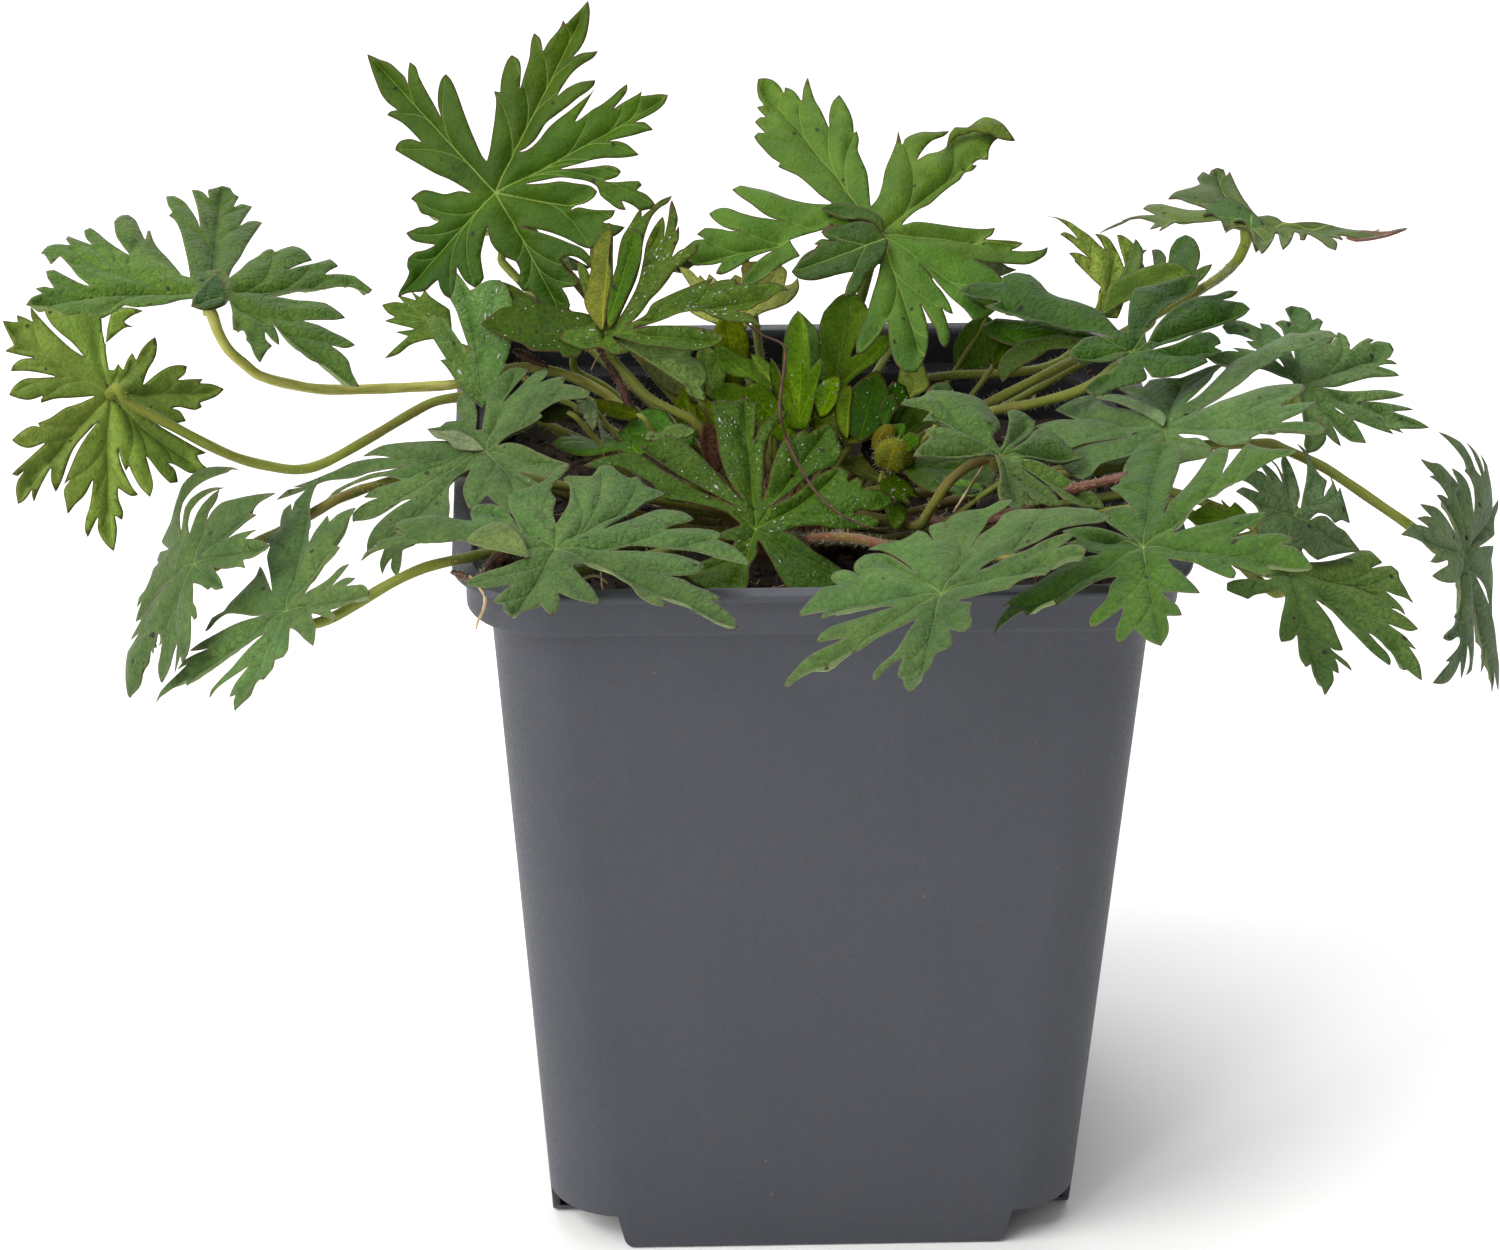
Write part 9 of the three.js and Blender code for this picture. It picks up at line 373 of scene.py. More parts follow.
    {"name": "leaflet_37", "key": "E40", "seed": 96, "at": (11.58, -11.63, 99.59), "facing": (0.0599, -0.0299, 0.9978), "across": (0.4472, 0.8944, 0), "span": 5, "droop": 0.04, "foot": (0, 0),
     "look": {"mat": "inner", "tint": [0.0328, 0.0762, 0.0011], "wet": 0.6}, "relief": 0.5, "radius": 0.38, "carrier": "M1",
     "path": [],
     "tags": "N..t.t...T..T..t...t.t.", "outline": [-0.49, 0.2, 1.7, 0.71, 3.67, 0.44, 3.72, -0.76, 3.98, -2.29, 5.75, -2.78, 6.16, -3.98, 6.27, -5.84, 7.38, -7.56, 7.28, -9.09, 5.06, -10.11, 3.29, -10.69, 1.74, -11.04, -0.22, -11.29, 0.21, -10.31, -1.74, -10.56, -3.68, -9.73, -4.21, -7.81, -3.77, -6.29, -5.08, -5.89, -4.86, -4.59, -4.15, -2.95, -2.74, -1.28]},
    {"name": "leaflet_38", "key": "E65", "seed": 97, "at": (15.4, -15.8, 99.13), "facing": (0.0599, -0.0299, 0.9978), "across": (0.4472, 0.8944, 0), "span": 5, "droop": 0.04, "foot": (0, 0),
     "look": {"mat": "young", "tint": [0.0723, 0.2099, 0.0004], "wet": 0.6}, "relief": 0.5, "radius": 0.38, "carrier": "M1",
     "path": [],
     "tags": "N...tT.t..", "outline": [0.14, 0.33, 1.52, -0.72, 2.62, -2.43, 2.6, -4.06, 1.32, -5.37, -0.14, -5.83, -1.38, -5.53, -2.27, -4.68, -2.39, -2.86, -2.03, -1.24]},
    {"name": "leaflet_39", "key": "E41", "seed": 98, "at": (11.07, -6, 100.52), "facing": (0, -0.6, 0.8), "across": (1, 0, 0), "span": 5, "droop": 0.04, "foot": (0, 0),
     "look": {"mat": "young", "tint": [0.0161, 0.0351, 0.0001], "wet": 0.6}, "relief": 0.5, "radius": 0.38, "carrier": None,
     "path": [(11.07, -6, 100.52), (10.21, -7.8, 99.52), (9.33, -10, 98.39)],
     "tags": "N...T.T..", "outline": [-0.14, -0.29, -1.15, 2.51, -0.43, 4.71, 1.49, 5.12, 4.01, 4.95, 3.33, 3.78, 4.92, 2.73, 3.24, 2.01, 1.93, 0.86]},
    {"name": "leaflet_40", "key": "E42", "seed": 99, "at": (5.87, -8.22, 102.03), "facing": (-0.1699, -0.4997, 0.8494), "across": (0.9468, -0.3219, 0), "span": 5, "droop": 0.04, "foot": (0, 0),
     "look": {"mat": "young", "tint": [0.0122, 0.0368, 0.0001], "wet": 0.6}, "relief": 0.5, "radius": 0.4, "carrier": "Y3",
     "path": [],
     "tags": "N.T.t.t.t.T..t....", "outline": [0.32, -0.27, -1.4, 0.43, -2.67, 1.36, -2.01, 2.4, -2.65, 3.41, -2.66, 5.63, -2.83, 6.88, -2.46, 8.05, -1.96, 9.23, -1.16, 9.19, -0.35, 10.74, 0.57, 9.59, 1.74, 7.99, 2.26, 6.32, 1.98, 5.33, 2.54, 3.51, 2.15, 1.88, 1.18, 0.48]},
    {"name": "leaflet_41", "key": "E45", "seed": 100, "at": (8.9, -7.5, 103.59), "facing": (-0.1699, -0.4997, 0.8494), "across": (0.9468, -0.3219, 0), "span": 5, "droop": 0.04, "foot": (0, 0),
     "look": {"mat": "young", "tint": [0.0107, 0.0388, 0.0001], "wet": 0.6}, "relief": 0.5, "radius": 0.35, "carrier": "Y3",
     "path": [],
     "tags": "N...T.t..", "outline": [0.07, -0.3, -0.92, 1.13, -1.16, 2.68, -0.73, 4.17, 0.13, 4.92, 0.68, 3.73, 1.27, 2.86, 0.8, 1.53, 0.56, 0.39]},
    {"name": "leaflet_42", "key": "E47", "seed": 101, "at": (4.25, -7.99, 102.22), "facing": (-0.1699, -0.4997, 0.8494), "across": (0.9468, -0.3219, 0), "span": 5, "droop": 0.04, "foot": (0, 0),
     "look": {"mat": "young", "tint": [0.0552, 0.0922, 0.0003], "wet": 0.6}, "relief": 0.5, "radius": 0.35, "carrier": "Y3",
     "path": [],
     "tags": "N....T...", "outline": [0.07, -0.3, -1.3, 1.08, -2.27, 3.47, -2.67, 5.63, -2.41, 7.26, -1.42, 8.04, -0.85, 6.21, -0.58, 4.02, -0.03, 1.73]},
    {"name": "leaflet_43", "key": "E48", "seed": 102, "at": (-11.57, 9, 100.43), "facing": (0.0995, -0.796, 0.597), "across": (0.9923, 0.124, 0), "span": 5, "droop": 0.04, "foot": (0, 0),
     "look": {"mat": "inner", "tint": [0.1449, 0.2521, 0.0397], "wet": 0.6}, "relief": 0.5, "radius": 0.38, "carrier": None,
     "path": [(-11.57, 9, 100.43), (-11.49, 8.47, 99.41), (-9.6, 6.58, 93.98), (-7.94, 3.92, 90.58), (-6.38, 1.31, 88.9)],
     "tags": "N..tT..t...", "outline": [-0.02, -0.26, -1.48, 0.88, -2.21, 2.79, -2.4, 4.93, -1.71, 6.76, -0.48, 7.36, 0.61, 6.49, 1.69, 6.96, 2.35, 5.59, 1.76, 3.49, 0.9, 1.28]},
    {"name": "leaflet_44", "key": "E49", "seed": 103, "at": (-5.92, 3, 100.04), "facing": (0.0995, -0.796, 0.597), "across": (0.9923, 0.124, 0), "span": 5, "droop": 0.04, "foot": (0, 0),
     "look": {"mat": "young", "tint": [0.0742, 0.1553, 0.0065], "wet": 0.6}, "relief": 0.5, "radius": 0.38, "carrier": None,
     "path": [(-5.92, 3, 100.04), (-5.27, 2.68, 99.28), (-5.87, 2.98, 94.23), (-5.82, 2.34, 90.89), (-5.77, 1.63, 88.9)],
     "tags": "N..Tt....", "outline": [-0.03, -0.26, -2.11, 0.91, -3.94, 1.95, -5.69, 2.57, -6.04, 4.31, -4.68, 5.15, -2.63, 4.9, -0.93, 3.75, 0.69, 1.81]},
    {"name": "leaflet_45", "key": "E43", "seed": 104, "at": (1.05, -4.12, 103.66), "facing": (-0.1699, -0.4997, 0.8494), "across": (0.9468, -0.3219, 0), "span": 5, "droop": 0.04, "foot": (0, 0),
     "look": {"mat": "young", "tint": [0.1232, 0.2462, 0.0002], "wet": 0.6}, "relief": 0.5, "radius": 0.35, "carrier": "Y3",
     "path": [],
     "tags": "N...T.t..", "outline": [0.08, -0.31, -1.17, 1.58, -1.5, 3.45, -0.86, 5.13, 0.81, 6.32, 1.37, 5.12, 1.62, 3.56, 1.61, 1.97, 0.97, 0.29]},
    {"name": "leaflet_46", "key": "E51", "seed": 105, "at": (-26.25, -0.56, 114.15), "facing": (-0.2102, -0.5606, 0.8009), "across": (0.9363, -0.3511, 0), "span": 5, "droop": 0.04, "foot": (0, 0),
     "look": {"mat": "upper", "tint": [0.0989, 0.1254, 0.013], "wet": 0.6}, "relief": 0.5, "radius": 0.38, "carrier": "L12",
     "path": [],
     "tags": "N.......T......", "outline": [0.08, -0.29, -2.03, 1.52, -3.38, 3.45, -3.63, 5.24, -3.86, 7.95, -4.52, 11.23, -4.43, 12.78, -3.94, 14.38, -3.07, 15.12, -2.61, 13.02, -1.83, 9.76, -1.11, 8.64, -0.54, 5.67, -0.23, 2.68, 0.14, 0.92]},
    {"name": "leaflet_47", "key": "E52", "seed": 106, "at": (-25.61, -0.32, 114.32), "facing": (-0.2102, -0.5606, 0.8009), "across": (0.9363, -0.3511, 0), "span": 5, "droop": 0.04, "foot": (0, 0),
     "look": {"mat": "inner", "tint": [0.0321, 0.0821, 0.0023], "wet": 0.6}, "relief": 0.5, "radius": 0.38, "carrier": "L12",
     "path": [],
     "tags": "N.....T.......", "outline": [0.21, -0.27, -1.12, 3.02, -1.3, 6.03, -1.35, 9.53, -1.53, 12.56, -1.17, 14.15, -0.48, 15.01, 0.59, 14.08, 1.3, 12.03, 1.61, 9.93, 1.59, 8.1, 1.43, 5.34, 1.09, 2.27, 0.69, 0.4]},
    {"name": "leaflet_48", "key": "E60", "seed": 107, "at": (52.82, -26, 97.65), "facing": (0.1504, -0.5013, 0.8521), "across": (0.9578, 0.2873, 0), "span": 5, "droop": 0.04, "foot": (0, 0),
     "look": {"mat": "young", "tint": [0.0441, 0.0972, 0.0042], "wet": 0.6}, "relief": 0.5, "radius": 0.45, "carrier": None,
     "path": [(52.82, -26, 97.65), (53.66, -26.19, 96.27), (33.53, -17.01, 88.3), (17.28, -10.06, 88.3), (2.05, -3.66, 88.9)],
     "tags": "N.t.T.t.T..", "outline": [0.2, -0.18, 0.01, 1.53, -0.87, 3.21, -1.77, 2.58, -2.5, 3.92, -2.48, 2.07, -4.05, 3.7, -6.36, 2.83, -7.81, 2.13, -6.44, 0.69, -3.28, 0.2]},
    {"name": "leaflet_49", "key": "E63", "seed": 108, "at": (38.31, 11.68, 110.97), "facing": (0.5618, -0.5217, 0.6421), "across": (0.6805, 0.7328, 0), "span": 5, "droop": 0.04, "foot": (0, 0),
     "look": {"mat": "upper", "tint": [0.0957, 0.1804, 0.0256], "wet": 0.6}, "relief": 0.5, "radius": 0.38, "carrier": "L25",
     "path": [],
     "tags": "N.....T....", "outline": [-0.72, -0.37, 1.88, 1.79, 3.89, 2.95, 7.8, 3.25, 12.52, 3.17, 17.32, 2.33, 20.04, 0, 16.06, 0, 11.21, -0.02, 6.68, 0.02, 2.97, -0.03]},
    {"name": "leaflet_50", "key": "E64", "seed": 109, "at": (39.6, 14.28, 111.62), "facing": (0.5618, -0.5217, 0.6421), "across": (0.6805, 0.7328, 0), "span": 5, "droop": 0.04, "foot": (0, 0),
     "look": {"mat": "inner", "tint": [0.1133, 0.1948, 0.0519], "wet": 0.6}, "relief": 0.5, "radius": 0.38, "carrier": "L25",
     "path": [],
     "tags": "N..T....", "outline": [-0.19, -0.24, 2.77, 1.82, 6.28, 3.74, 10.39, 6.11, 10.63, 4.54, 8.88, 2.66, 5.74, 1.22, 2.65, 0.08]},
    {"name": "leaflet_51", "key": "E61", "seed": 110, "at": (55.55, 3.37, 127.12), "facing": (0.0199, -0.3986, 0.9169), "across": (0.9988, 0.0499, 0), "span": 5, "droop": 0.04, "foot": (0, 0),
     "look": {"mat": "upper", "tint": [0.0363, 0.0882, 0.0168], "wet": 0.6}, "relief": 0.5, "radius": 0.38, "carrier": "L3",
     "path": [],
     "tags": "N...T..t...T...", "outline": [0.25, -0.01, -1, 1.87, -2.33, 3.2, -4.41, 2.91, -6.22, 0.05, -4.93, 0.18, -4.18, -0.76, -3.86, -2.95, -2.64, -1.54, -1.45, -1.22, -1.03, -1.79, -0.52, -6.88, 1.12, -4.41, 1.19, -2.23, 0.9, -0.76]},
    {"name": "leaflet_52", "key": "E62", "seed": 111, "at": (67.07, -2.72, 126.3), "facing": (0.0202, -0.0605, 0.998), "across": (0.9487, 0.3162, 0), "span": 5, "droop": 0.04, "foot": (0, 0),
     "look": {"mat": "upper", "tint": [0.3553, 0.4281, 0.3209], "wet": 0.6, "dry": 1}, "relief": 0.5, "radius": 0.38, "carrier": "L3",
     "path": [],
     "tags": "N..T...", "outline": [-0.62, -0.14, 2.06, 1.33, 4.7, 0.2, 8.04, 0.16, 4.58, -1.4, 1.84, -1.87, 0.01, -1.63]},
    {"name": "leaflet_53", "key": "E44", "seed": 112, "at": (-13.73, 6, 101.39), "facing": (0.0995, -0.796, 0.597), "across": (0.9923, 0.124, 0), "span": 5, "droop": 0.04, "foot": (0, 0),
     "look": {"mat": "inner", "tint": [0.0883, 0.1139, 0.0357], "wet": 0.6}, "relief": 0.5, "radius": 0.38, "carrier": None,
     "path": [(-13.73, 6, 101.39), (-13.16, 5.63, 100.49), (-11.33, 4.41, 94.54), (-9.3, 2.46, 90.84), (-7.41, 0.51, 88.9)],
     "tags": "N...T...t.", "outline": [-0.02, -0.26, -2.52, 0.68, -4.71, 2.13, -6.32, 4.34, -7.11, 7.03, -5.03, 7.18, -3.56, 6.3, -1.57, 5.39, 0.37, 3.95, 0.97, 2.06]},
]

# Dead stems, straws and rootlets: kind, radii along it, line.
BITS = [
    ("thread", "root", [0.13, 0.17, 0.2, 0.2, 0.19, 0.18, 0.16, 0.12], [(-7.99, 7, 111.87), (-5.95, 4, 111.24), (-3.48, 0, 111.41), (-3.36, -3, 110.29), (-4.24, -9, 107.58), (-4.25, -12, 106.38), (-3.48, -12.09, 103.45), (-2.59, -14.48, 102.01), (-1.35, -17.22, 100.46), (0.51, -20, 98.79), (2.64, -21.81, 97.53), (5.05, -23.03, 96.68), (7.49, -23.62, 96.11)]),
    ("old_stem", "hairy", [0.62, 0.5, 0.42, 0.4], [(-26.43, 7, 108.65), (-25.43, 6, 107.26), (-24.44, 5, 105.46), (-23.59, 3.5, 104.14), (-22.85, 2.5, 102.48), (-15.5, 1.5, 93.5), (-8, -1, 89)]),
    ("old_stem_thread", "straw", [0.12, 0.1], [(-26.18, 6.4, 108.34), (-26.83, 6, 107.55), (-27.61, 5.5, 106.12)]),
    ("flake", "hairy", [0.35, 0.65, 0.5, 0.2], [(-37.37, 8, 107.97), (-36.1, 7.6, 107.43), (-34.71, 7.4, 106.67), (-33.07, 7, 105.99)]),
    ("dry_leaf_stem", "hairy", [0.75, 0.85, 0.7, 0.6, 0.4], [(-37.18, -34.4, 99.2), (-38.51, -35.1, 98.6), (-39.84, -36.62, 98.1), (-41.02, -39.4, 97.9), (-42.19, -42.16, 97.7)]),
    ("rim_rootlet", "straw", [0.16, 0.2, 0.22, 0.2, 0.12], [(-42.68, -40.24, 97.9), (-41.73, -41.9, 97.32), (-40.92, -41.8, 95.96), (-41.19, -41.3, 93.77), (-41.82, -40.9, 92.28), (-42.08, -40.6, 91.1)]),
    ("rim_crumb", "hairy", [0.3, 0.5, 0.3], [(-44.86, -38.32, 97.6), (-43.89, -39.24, 97.6), (-42.69, -40.52, 97.5)]),
    ("straw_long", "straw", [0.12, 0.2, 0.2, 0.15], [(21.22, -12.87, 100.4), (19.58, -17.75, 100.3), (17.85, -22.38, 100), (16.83, -20.5, 97.07)]),
    ("straw_small", "straw", [0.15, 0.2, 0.12], [(9.38, -4.31, 87.2), (9.92, -5.78, 87), (10.57, -7.57, 86.8)]),
    ("rim_straw", "straw", [0.15, 0.18, 0.15], [(-29.56, -40.67, 97.4), (-28.12, -40.21, 97.7), (-27.16, -40.3, 97.6), (-26.35, -41.64, 97.4)]),
    ("brown_twig", "root", [0.2, 0.22, 0.2, 0.12], [(38.53, 38.2, 90.78), (40.01, 38.6, 92.2), (41.66, 38.6, 91.45), (42.84, 38.4, 92.1)]),
    ("pale_root_1", "straw", [0.12, 0.15, 0.1], [(34.92, 38.7, 91.34), (36.97, 38.8, 90.85), (39.15, 38.7, 90.14)]),
    ("pale_root_2", "straw", [0.14, 0.18, 0.12], [(32.86, 38.2, 90.84), (32.58, 37.8, 89.7), (32.14, 37, 88.43)]),
    ("red_stem", "reddish", [0.6, 0.68, 0.72, 0.7, 0.66, 0.62], [(37.18, -29, 105.21), (35.37, -28, 104.29), (33.49, -26.5, 103.15), (31.59, -25, 102.01), (22, -19, 95.5), (8, -9, 91), (1, -4, 88.6)]),
]

# ------------------------------------------------------------------ small helpers
def unit(v):
    return v / max(1e-12, float(np.linalg.norm(v)))


def fbm(x, y, seed, octaves=3, gain=0.5):
    """Smooth repeatable noise in -1..1 for arrays of millimetres."""
    out = np.zeros_like(x, dtype=float)
    amp, total = 1.0, 0.0
    rs = np.random.default_rng(seed)
    for o in range(octaves):
        f = 2.0 ** o
        part = np.zeros_like(out)
        for _ in range(5):
            a = rs.uniform(0, 2 * math.pi)
            k = f * rs.uniform(0.7, 1.35)
            part += np.sin((x * math.cos(a) + y * math.sin(a)) * k + rs.uniform(0, 2 * math.pi))
        out += amp * part / 2.6
        total += amp
        amp *= gain
    return np.clip(out / total, -1.4, 1.4)


def spline(points, corner, step, closed=True):
    """Centripetal-like Catmull-Rom through points, with a break in slope at corners, resampled at about step."""
    P = np.asarray(points, float)
    n = len(P)
    out, marks = [], []
    last = n if closed else n - 1
    for i in range(last):
        p1, p2 = P[i], P[(i + 1) % n]
        p0 = P[(i - 1) % n] if closed or i > 0 else 2 * p1 - p2
        p3 = P[(i + 2) % n] if closed or i + 2 < n else 2 * p2 - p1
        if corner[i]:
            p0 = p1 + (p1 - p2) * 0.6 + (p0 - p1) * 0.25
        if corner[(i + 1) % n]:
            p3 = p2 + (p2 - p1) * 0.6 + (p3 - p2) * 0.25
        d = float(np.linalg.norm(p2 - p1))
        a, b = float(np.linalg.norm(p1 - p0)), float(np.linalg.norm(p3 - p2))
        m1 = (p2 - p0) * (d / max(1e-9, a + d)) if a > 1e-9 else (p2 - p1)
        m2 = (p3 - p1) * (d / max(1e-9, b + d)) if b > 1e-9 else (p2 - p1)
        k = max(1, int(math.ceil(d / step)))
        for j in range(k):
            t = j / k
            t2, t3 = t * t, t * t * t
            out.append((2 * t3 - 3 * t2 + 1) * p1 + (t3 - 2 * t2 + t) * m1 + (-2 * t3 + 3 * t2) * p2 + (t3 - t2) * m2)
            marks.append(i if j == 0 else -1)
    if not closed:
        out.append(P[-1])
        marks.append(n - 1)
    return np.array(out), marks


def seg_dist(P, A, B, chunk=1500):
    """Distance of each point of P to its nearest segment A-B, with that segment's index and parameter."""
    D = np.empty(len(P)); I = np.empty(len(P), int); T = np.empty(len(P))
    AB = B - A
    L2 = np.maximum((AB ** 2).sum(1), 1e-12)
    for s in range(0, len(P), chunk):
        p = P[s:s + chunk]
        w = p[:, None, :] - A[None]
        t = np.clip((w * AB[None]).sum(2) / L2, 0, 1)
        d = np.sqrt(((w - t[..., None] * AB[None]) ** 2).sum(2))
        k = d.argmin(1)
        r = np.arange(len(p))
        D[s:s + chunk] = d[r, k]; I[s:s + chunk] = k; T[s:s + chunk] = t[r, k]
    return D, I, T


def winding(P, ring, chunk=2000):
    """Winding number of a closed ring about each point."""
    A = ring; B = np.roll(ring, -1, 0)
    W = np.zeros(len(P), int)
    for s in range(0, len(P), chunk):
        p = P[s:s + chunk]
        up = (A[None, :, 1] <= p[:, None, 1]) & (B[None, :, 1] > p[:, None, 1])
        dn = (A[None, :, 1] > p[:, None, 1]) & (B[None, :, 1] <= p[:, None, 1])
        side = (B[None, :, 0] - A[None, :, 0]) * (p[:, None, 1] - A[None, :, 1]) - (p[:, None, 0] - A[None, :, 0]) * (B[None, :, 1] - A[None, :, 1])
        W[s:s + chunk] = ((up & (side > 0)).sum(1) - (dn & (side < 0)).sum(1))
    return W


def new_object(name, verts, faces, mats, attrs=None, index=None, smooth=True):
    """A mesh object from arrays in millimetres, with float or vector attributes per vertex."""
    me = bpy.data.meshes.new(name)
    me.from_pydata([tuple(v) for v in (np.asarray(verts, float) * MM)], [], [tuple(int(i) for i in f) for f in faces])
    for key, val in (attrs or {}).items():
        val = np.asarray(val, float)
        if val.ndim == 1:
            a = me.attributes.new(key, "FLOAT", "POINT")
            a.data.foreach_set("value", val.astype(np.float32))
        else:
            a = me.attributes.new(key, "FLOAT_VECTOR", "POINT")
            a.data.foreach_set("vector", val.astype(np.float32).ravel())
    for m in mats:
        me.materials.append(m)
    if index is not None:
        me.polygons.foreach_set("material_index", np.asarray(index, np.int32))
    me.polygons.foreach_set("use_smooth", np.full(len(me.polygons), smooth))
    me.validate(clean_customdata=False)
    me.update()
    ob = bpy.data.objects.new(name, me)
    bpy.context.scene.collection.objects.link(ob)
    return ob


class Parts:
    """Collects several little shapes into one mesh with shared attributes."""

    def __init__(self, keys=()):
        self.v, self.f, self.m, self.a, self.n = [], [], [], {k: [] for k in keys}, 0

    def add(self, verts, faces, mat=0, **attrs):
        verts = np.asarray(verts, float)
        self.v.append(verts)
        self.f += [tuple(int(i) + self.n for i in f) for f in faces]
        self.m += [mat] * len(faces)
        for k in self.a:
            val = attrs.get(k, 0.0)
            val = np.asarray(val, float)
            if k in VECTORS:
                val = np.broadcast_to(val, (len(verts), 3))
            else:
                val = np.broadcast_to(val, (len(verts),))
            self.a[k].append(val)
        self.n += len(verts)

    def build(self, name, mats, smooth=True):
        return new_object(name, np.vstack(self.v), self.f, mats, {k: np.concatenate(v) for k, v in self.a.items()}, self.m, smooth)


VECTORS = {"leafpos", "tint"}


def tube(path, radius, sides=9, cap=True, seed=0, wobble=0.0):
    """A tube along a path of points in millimetres. radius is one number or one for each point.
    Returns verts, faces, run (mm along), turn (0..1 round), and the frames."""
    P = np.asarray(path, float)
    n = len(P)
    R = np.broadcast_to(np.asarray(radius, float), (n,)).copy()
    T = np.gradient(P, axis=0)
    T /= np.maximum(np.linalg.norm(T, axis=1), 1e-9)[:, None]
    up = np.array([0, 0, 1.0]) if abs(T[0][2]) < 0.9 else np.array([1.0, 0, 0])
    N = np.zeros_like(P)
    N[0] = unit(up - T[0] * up.dot(T[0]))
    for i in range(1, n):
        v = N[i - 1] - T[i] * N[i - 1].dot(T[i])
        N[i] = unit(v)
    B = np.cross(T, N)
    run = np.concatenate([[0], np.cumsum(np.linalg.norm(np.diff(P, axis=0), axis=1))])
    ang = np.arange(sides) / sides * 2 * math.pi
    ring = N[:, None] * np.cos(ang)[None, :, None] + B[:, None] * np.sin(ang)[None, :, None]
    rr = R[:, None] * (1 + wobble * np.sin(run[:, None] * 0.9 + ang[None] * 2 + seed))
    V = (P[:, None] + ring * rr[..., None]).reshape(-1, 3)
    F = []
    for i in range(n - 1):
        for j in range(sides):
            a, b = i * sides + j, i * sides + (j + 1) % sides
            F.append((a, b, b + sides, a + sides))
    runs = np.repeat(run, sides)
    turn = np.tile(np.arange(sides) / sides, n)
    if cap:
        V = np.vstack([V, P[0] - T[0] * R[0] * 0.4, P[-1] + T[-1] * R[-1] * 0.4])
        s0, s1 = n * sides, n * sides + 1
        for j in range(sides):
            F.append((s0, (j + 1) % sides, j))
            F.append((s1, (n - 1) * sides + j, (n - 1) * sides + (j + 1) % sides))
        runs = np.append(runs, [run[0], run[-1]])
        turn = np.append(turn, [0, 0])
    return V, F, runs, turn, (P, T, N, B, R, run)


def ease(t):
    t = np.clip(t, 0, 1)
    return t * t * (3 - 2 * t)


# ------------------------------------------------------------------ materials
class Nodes:
    """Short-hand for building a node tree."""

    def __init__(self, name):
        self.mat = bpy.data.materials.new(name)
        self.mat.use_nodes = True
        self.t = self.mat.node_tree
        self.t.nodes.clear()
        self.out = self.t.nodes.new("ShaderNodeOutputMaterial")
        self.p = self.t.nodes.new("ShaderNodeBsdfPrincipled")
        self.t.links.new(self.p.outputs[0], self.out.inputs[0])

    def put(self, node, key, val):
        if val is None:
            return
        if isinstance(val, bpy.types.NodeSocket):
            self.t.links.new(val, node.inputs[key])
        else:
            node.inputs[key].default_value = val

    def attr(self, name, out="Fac"):
        n = self.t.nodes.new("ShaderNodeAttribute")
        n.attribute_name = name
        return n.outputs[out]

    def coord(self, scale=(1, 1, 1)):
        n = self.t.nodes.new("ShaderNodeTexCoord")
        m = self.t.nodes.new("ShaderNodeMapping")
        self.t.links.new(n.outputs["Object"], m.inputs[0])
        m.inputs["Scale"].default_value = scale
        return m.outputs[0]

    def scaled(self, vec, scale):
        m = self.t.nodes.new("ShaderNodeMapping")
        self.t.links.new(vec, m.inputs[0])
        m.inputs["Scale"].default_value = scale
        return m.outputs[0]

    def noise(self, vec, scale, detail=2.0, rough=0.5, dist=0.0, out="Fac"):
        n = self.t.nodes.new("ShaderNodeTexNoise")
        self.put(n, "Vector", vec)
        n.inputs["Scale"].default_value = scale
        n.inputs["Detail"].default_value = detail
        n.inputs["Roughness"].default_value = rough
        n.inputs["Distortion"].default_value = dist
        return n.outputs[out]

    def voronoi(self, vec, scale, feature="F1", out="Distance", rand=1.0):
        n = self.t.nodes.new("ShaderNodeTexVoronoi")
        n.feature = feature
        self.put(n, "Vector", vec)
        n.inputs["Scale"].default_value = scale
        n.inputs["Randomness"].default_value = rand
        return n.outputs[out]

    def math(self, op, a, b=None, c=None, clamp=False):
        n = self.t.nodes.new("ShaderNodeMath")
        n.operation = op
        n.use_clamp = clamp
        self.put(n, 0, a); self.put(n, 1, b); self.put(n, 2, c)
        return n.outputs[0]

    def ramp(self, fac, lo, hi, a=0.0, b=1.0, smooth=True):
        n = self.t.nodes.new("ShaderNodeMapRange")
        n.interpolation_type = "SMOOTHSTEP" if smooth else "LINEAR"
        self.put(n, 0, fac)
        n.inputs[1].default_value, n.inputs[2].default_value = lo, hi
        n.inputs[3].default_value, n.inputs[4].default_value = a, b
        return n.outputs[0]

    def mix(self, fac, a, b, mode="MIX"):
        n = self.t.nodes.new("ShaderNodeMix")
        n.data_type = "RGBA"
        n.blend_type = mode
        self.put(n, 0, fac)
        for key, val in ((6, a), (7, b)):
            if isinstance(val, tuple) and len(val) == 3:
                val = (*val, 1.0)
            self.put(n, key, val)
        return n.outputs[2]

    def hsv(self, colour, h=0.5, s=1.0, v=1.0):
        n = self.t.nodes.new("ShaderNodeHueSaturation")
        self.put(n, "Hue", h); self.put(n, "Saturation", s); self.put(n, "Value", v); self.put(n, "Color", colour)
        return n.outputs[0]

    def bump(self, height, strength, distance, normal=None):
        n = self.t.nodes.new("ShaderNodeBump")
        n.inputs["Strength"].default_value = strength
        n.inputs["Distance"].default_value = distance
        self.put(n, "Height", height)
        if normal is not None:
            self.put(n, "Normal", normal)
        return n.outputs[0]

    def done(self, colour, rough, normal=None, **constants):
        p = self.p
        if isinstance(colour, tuple) and len(colour) == 3:
            colour = (*colour, 1.0)
        self.put(p, "Base Color", colour)
        self.put(p, "Roughness", rough)
        if normal is not None:
            self.put(p, "Normal", normal)
        for k, v in constants.items():
            p.inputs[k.replace("_", " ")].default_value = v
        return self.mat


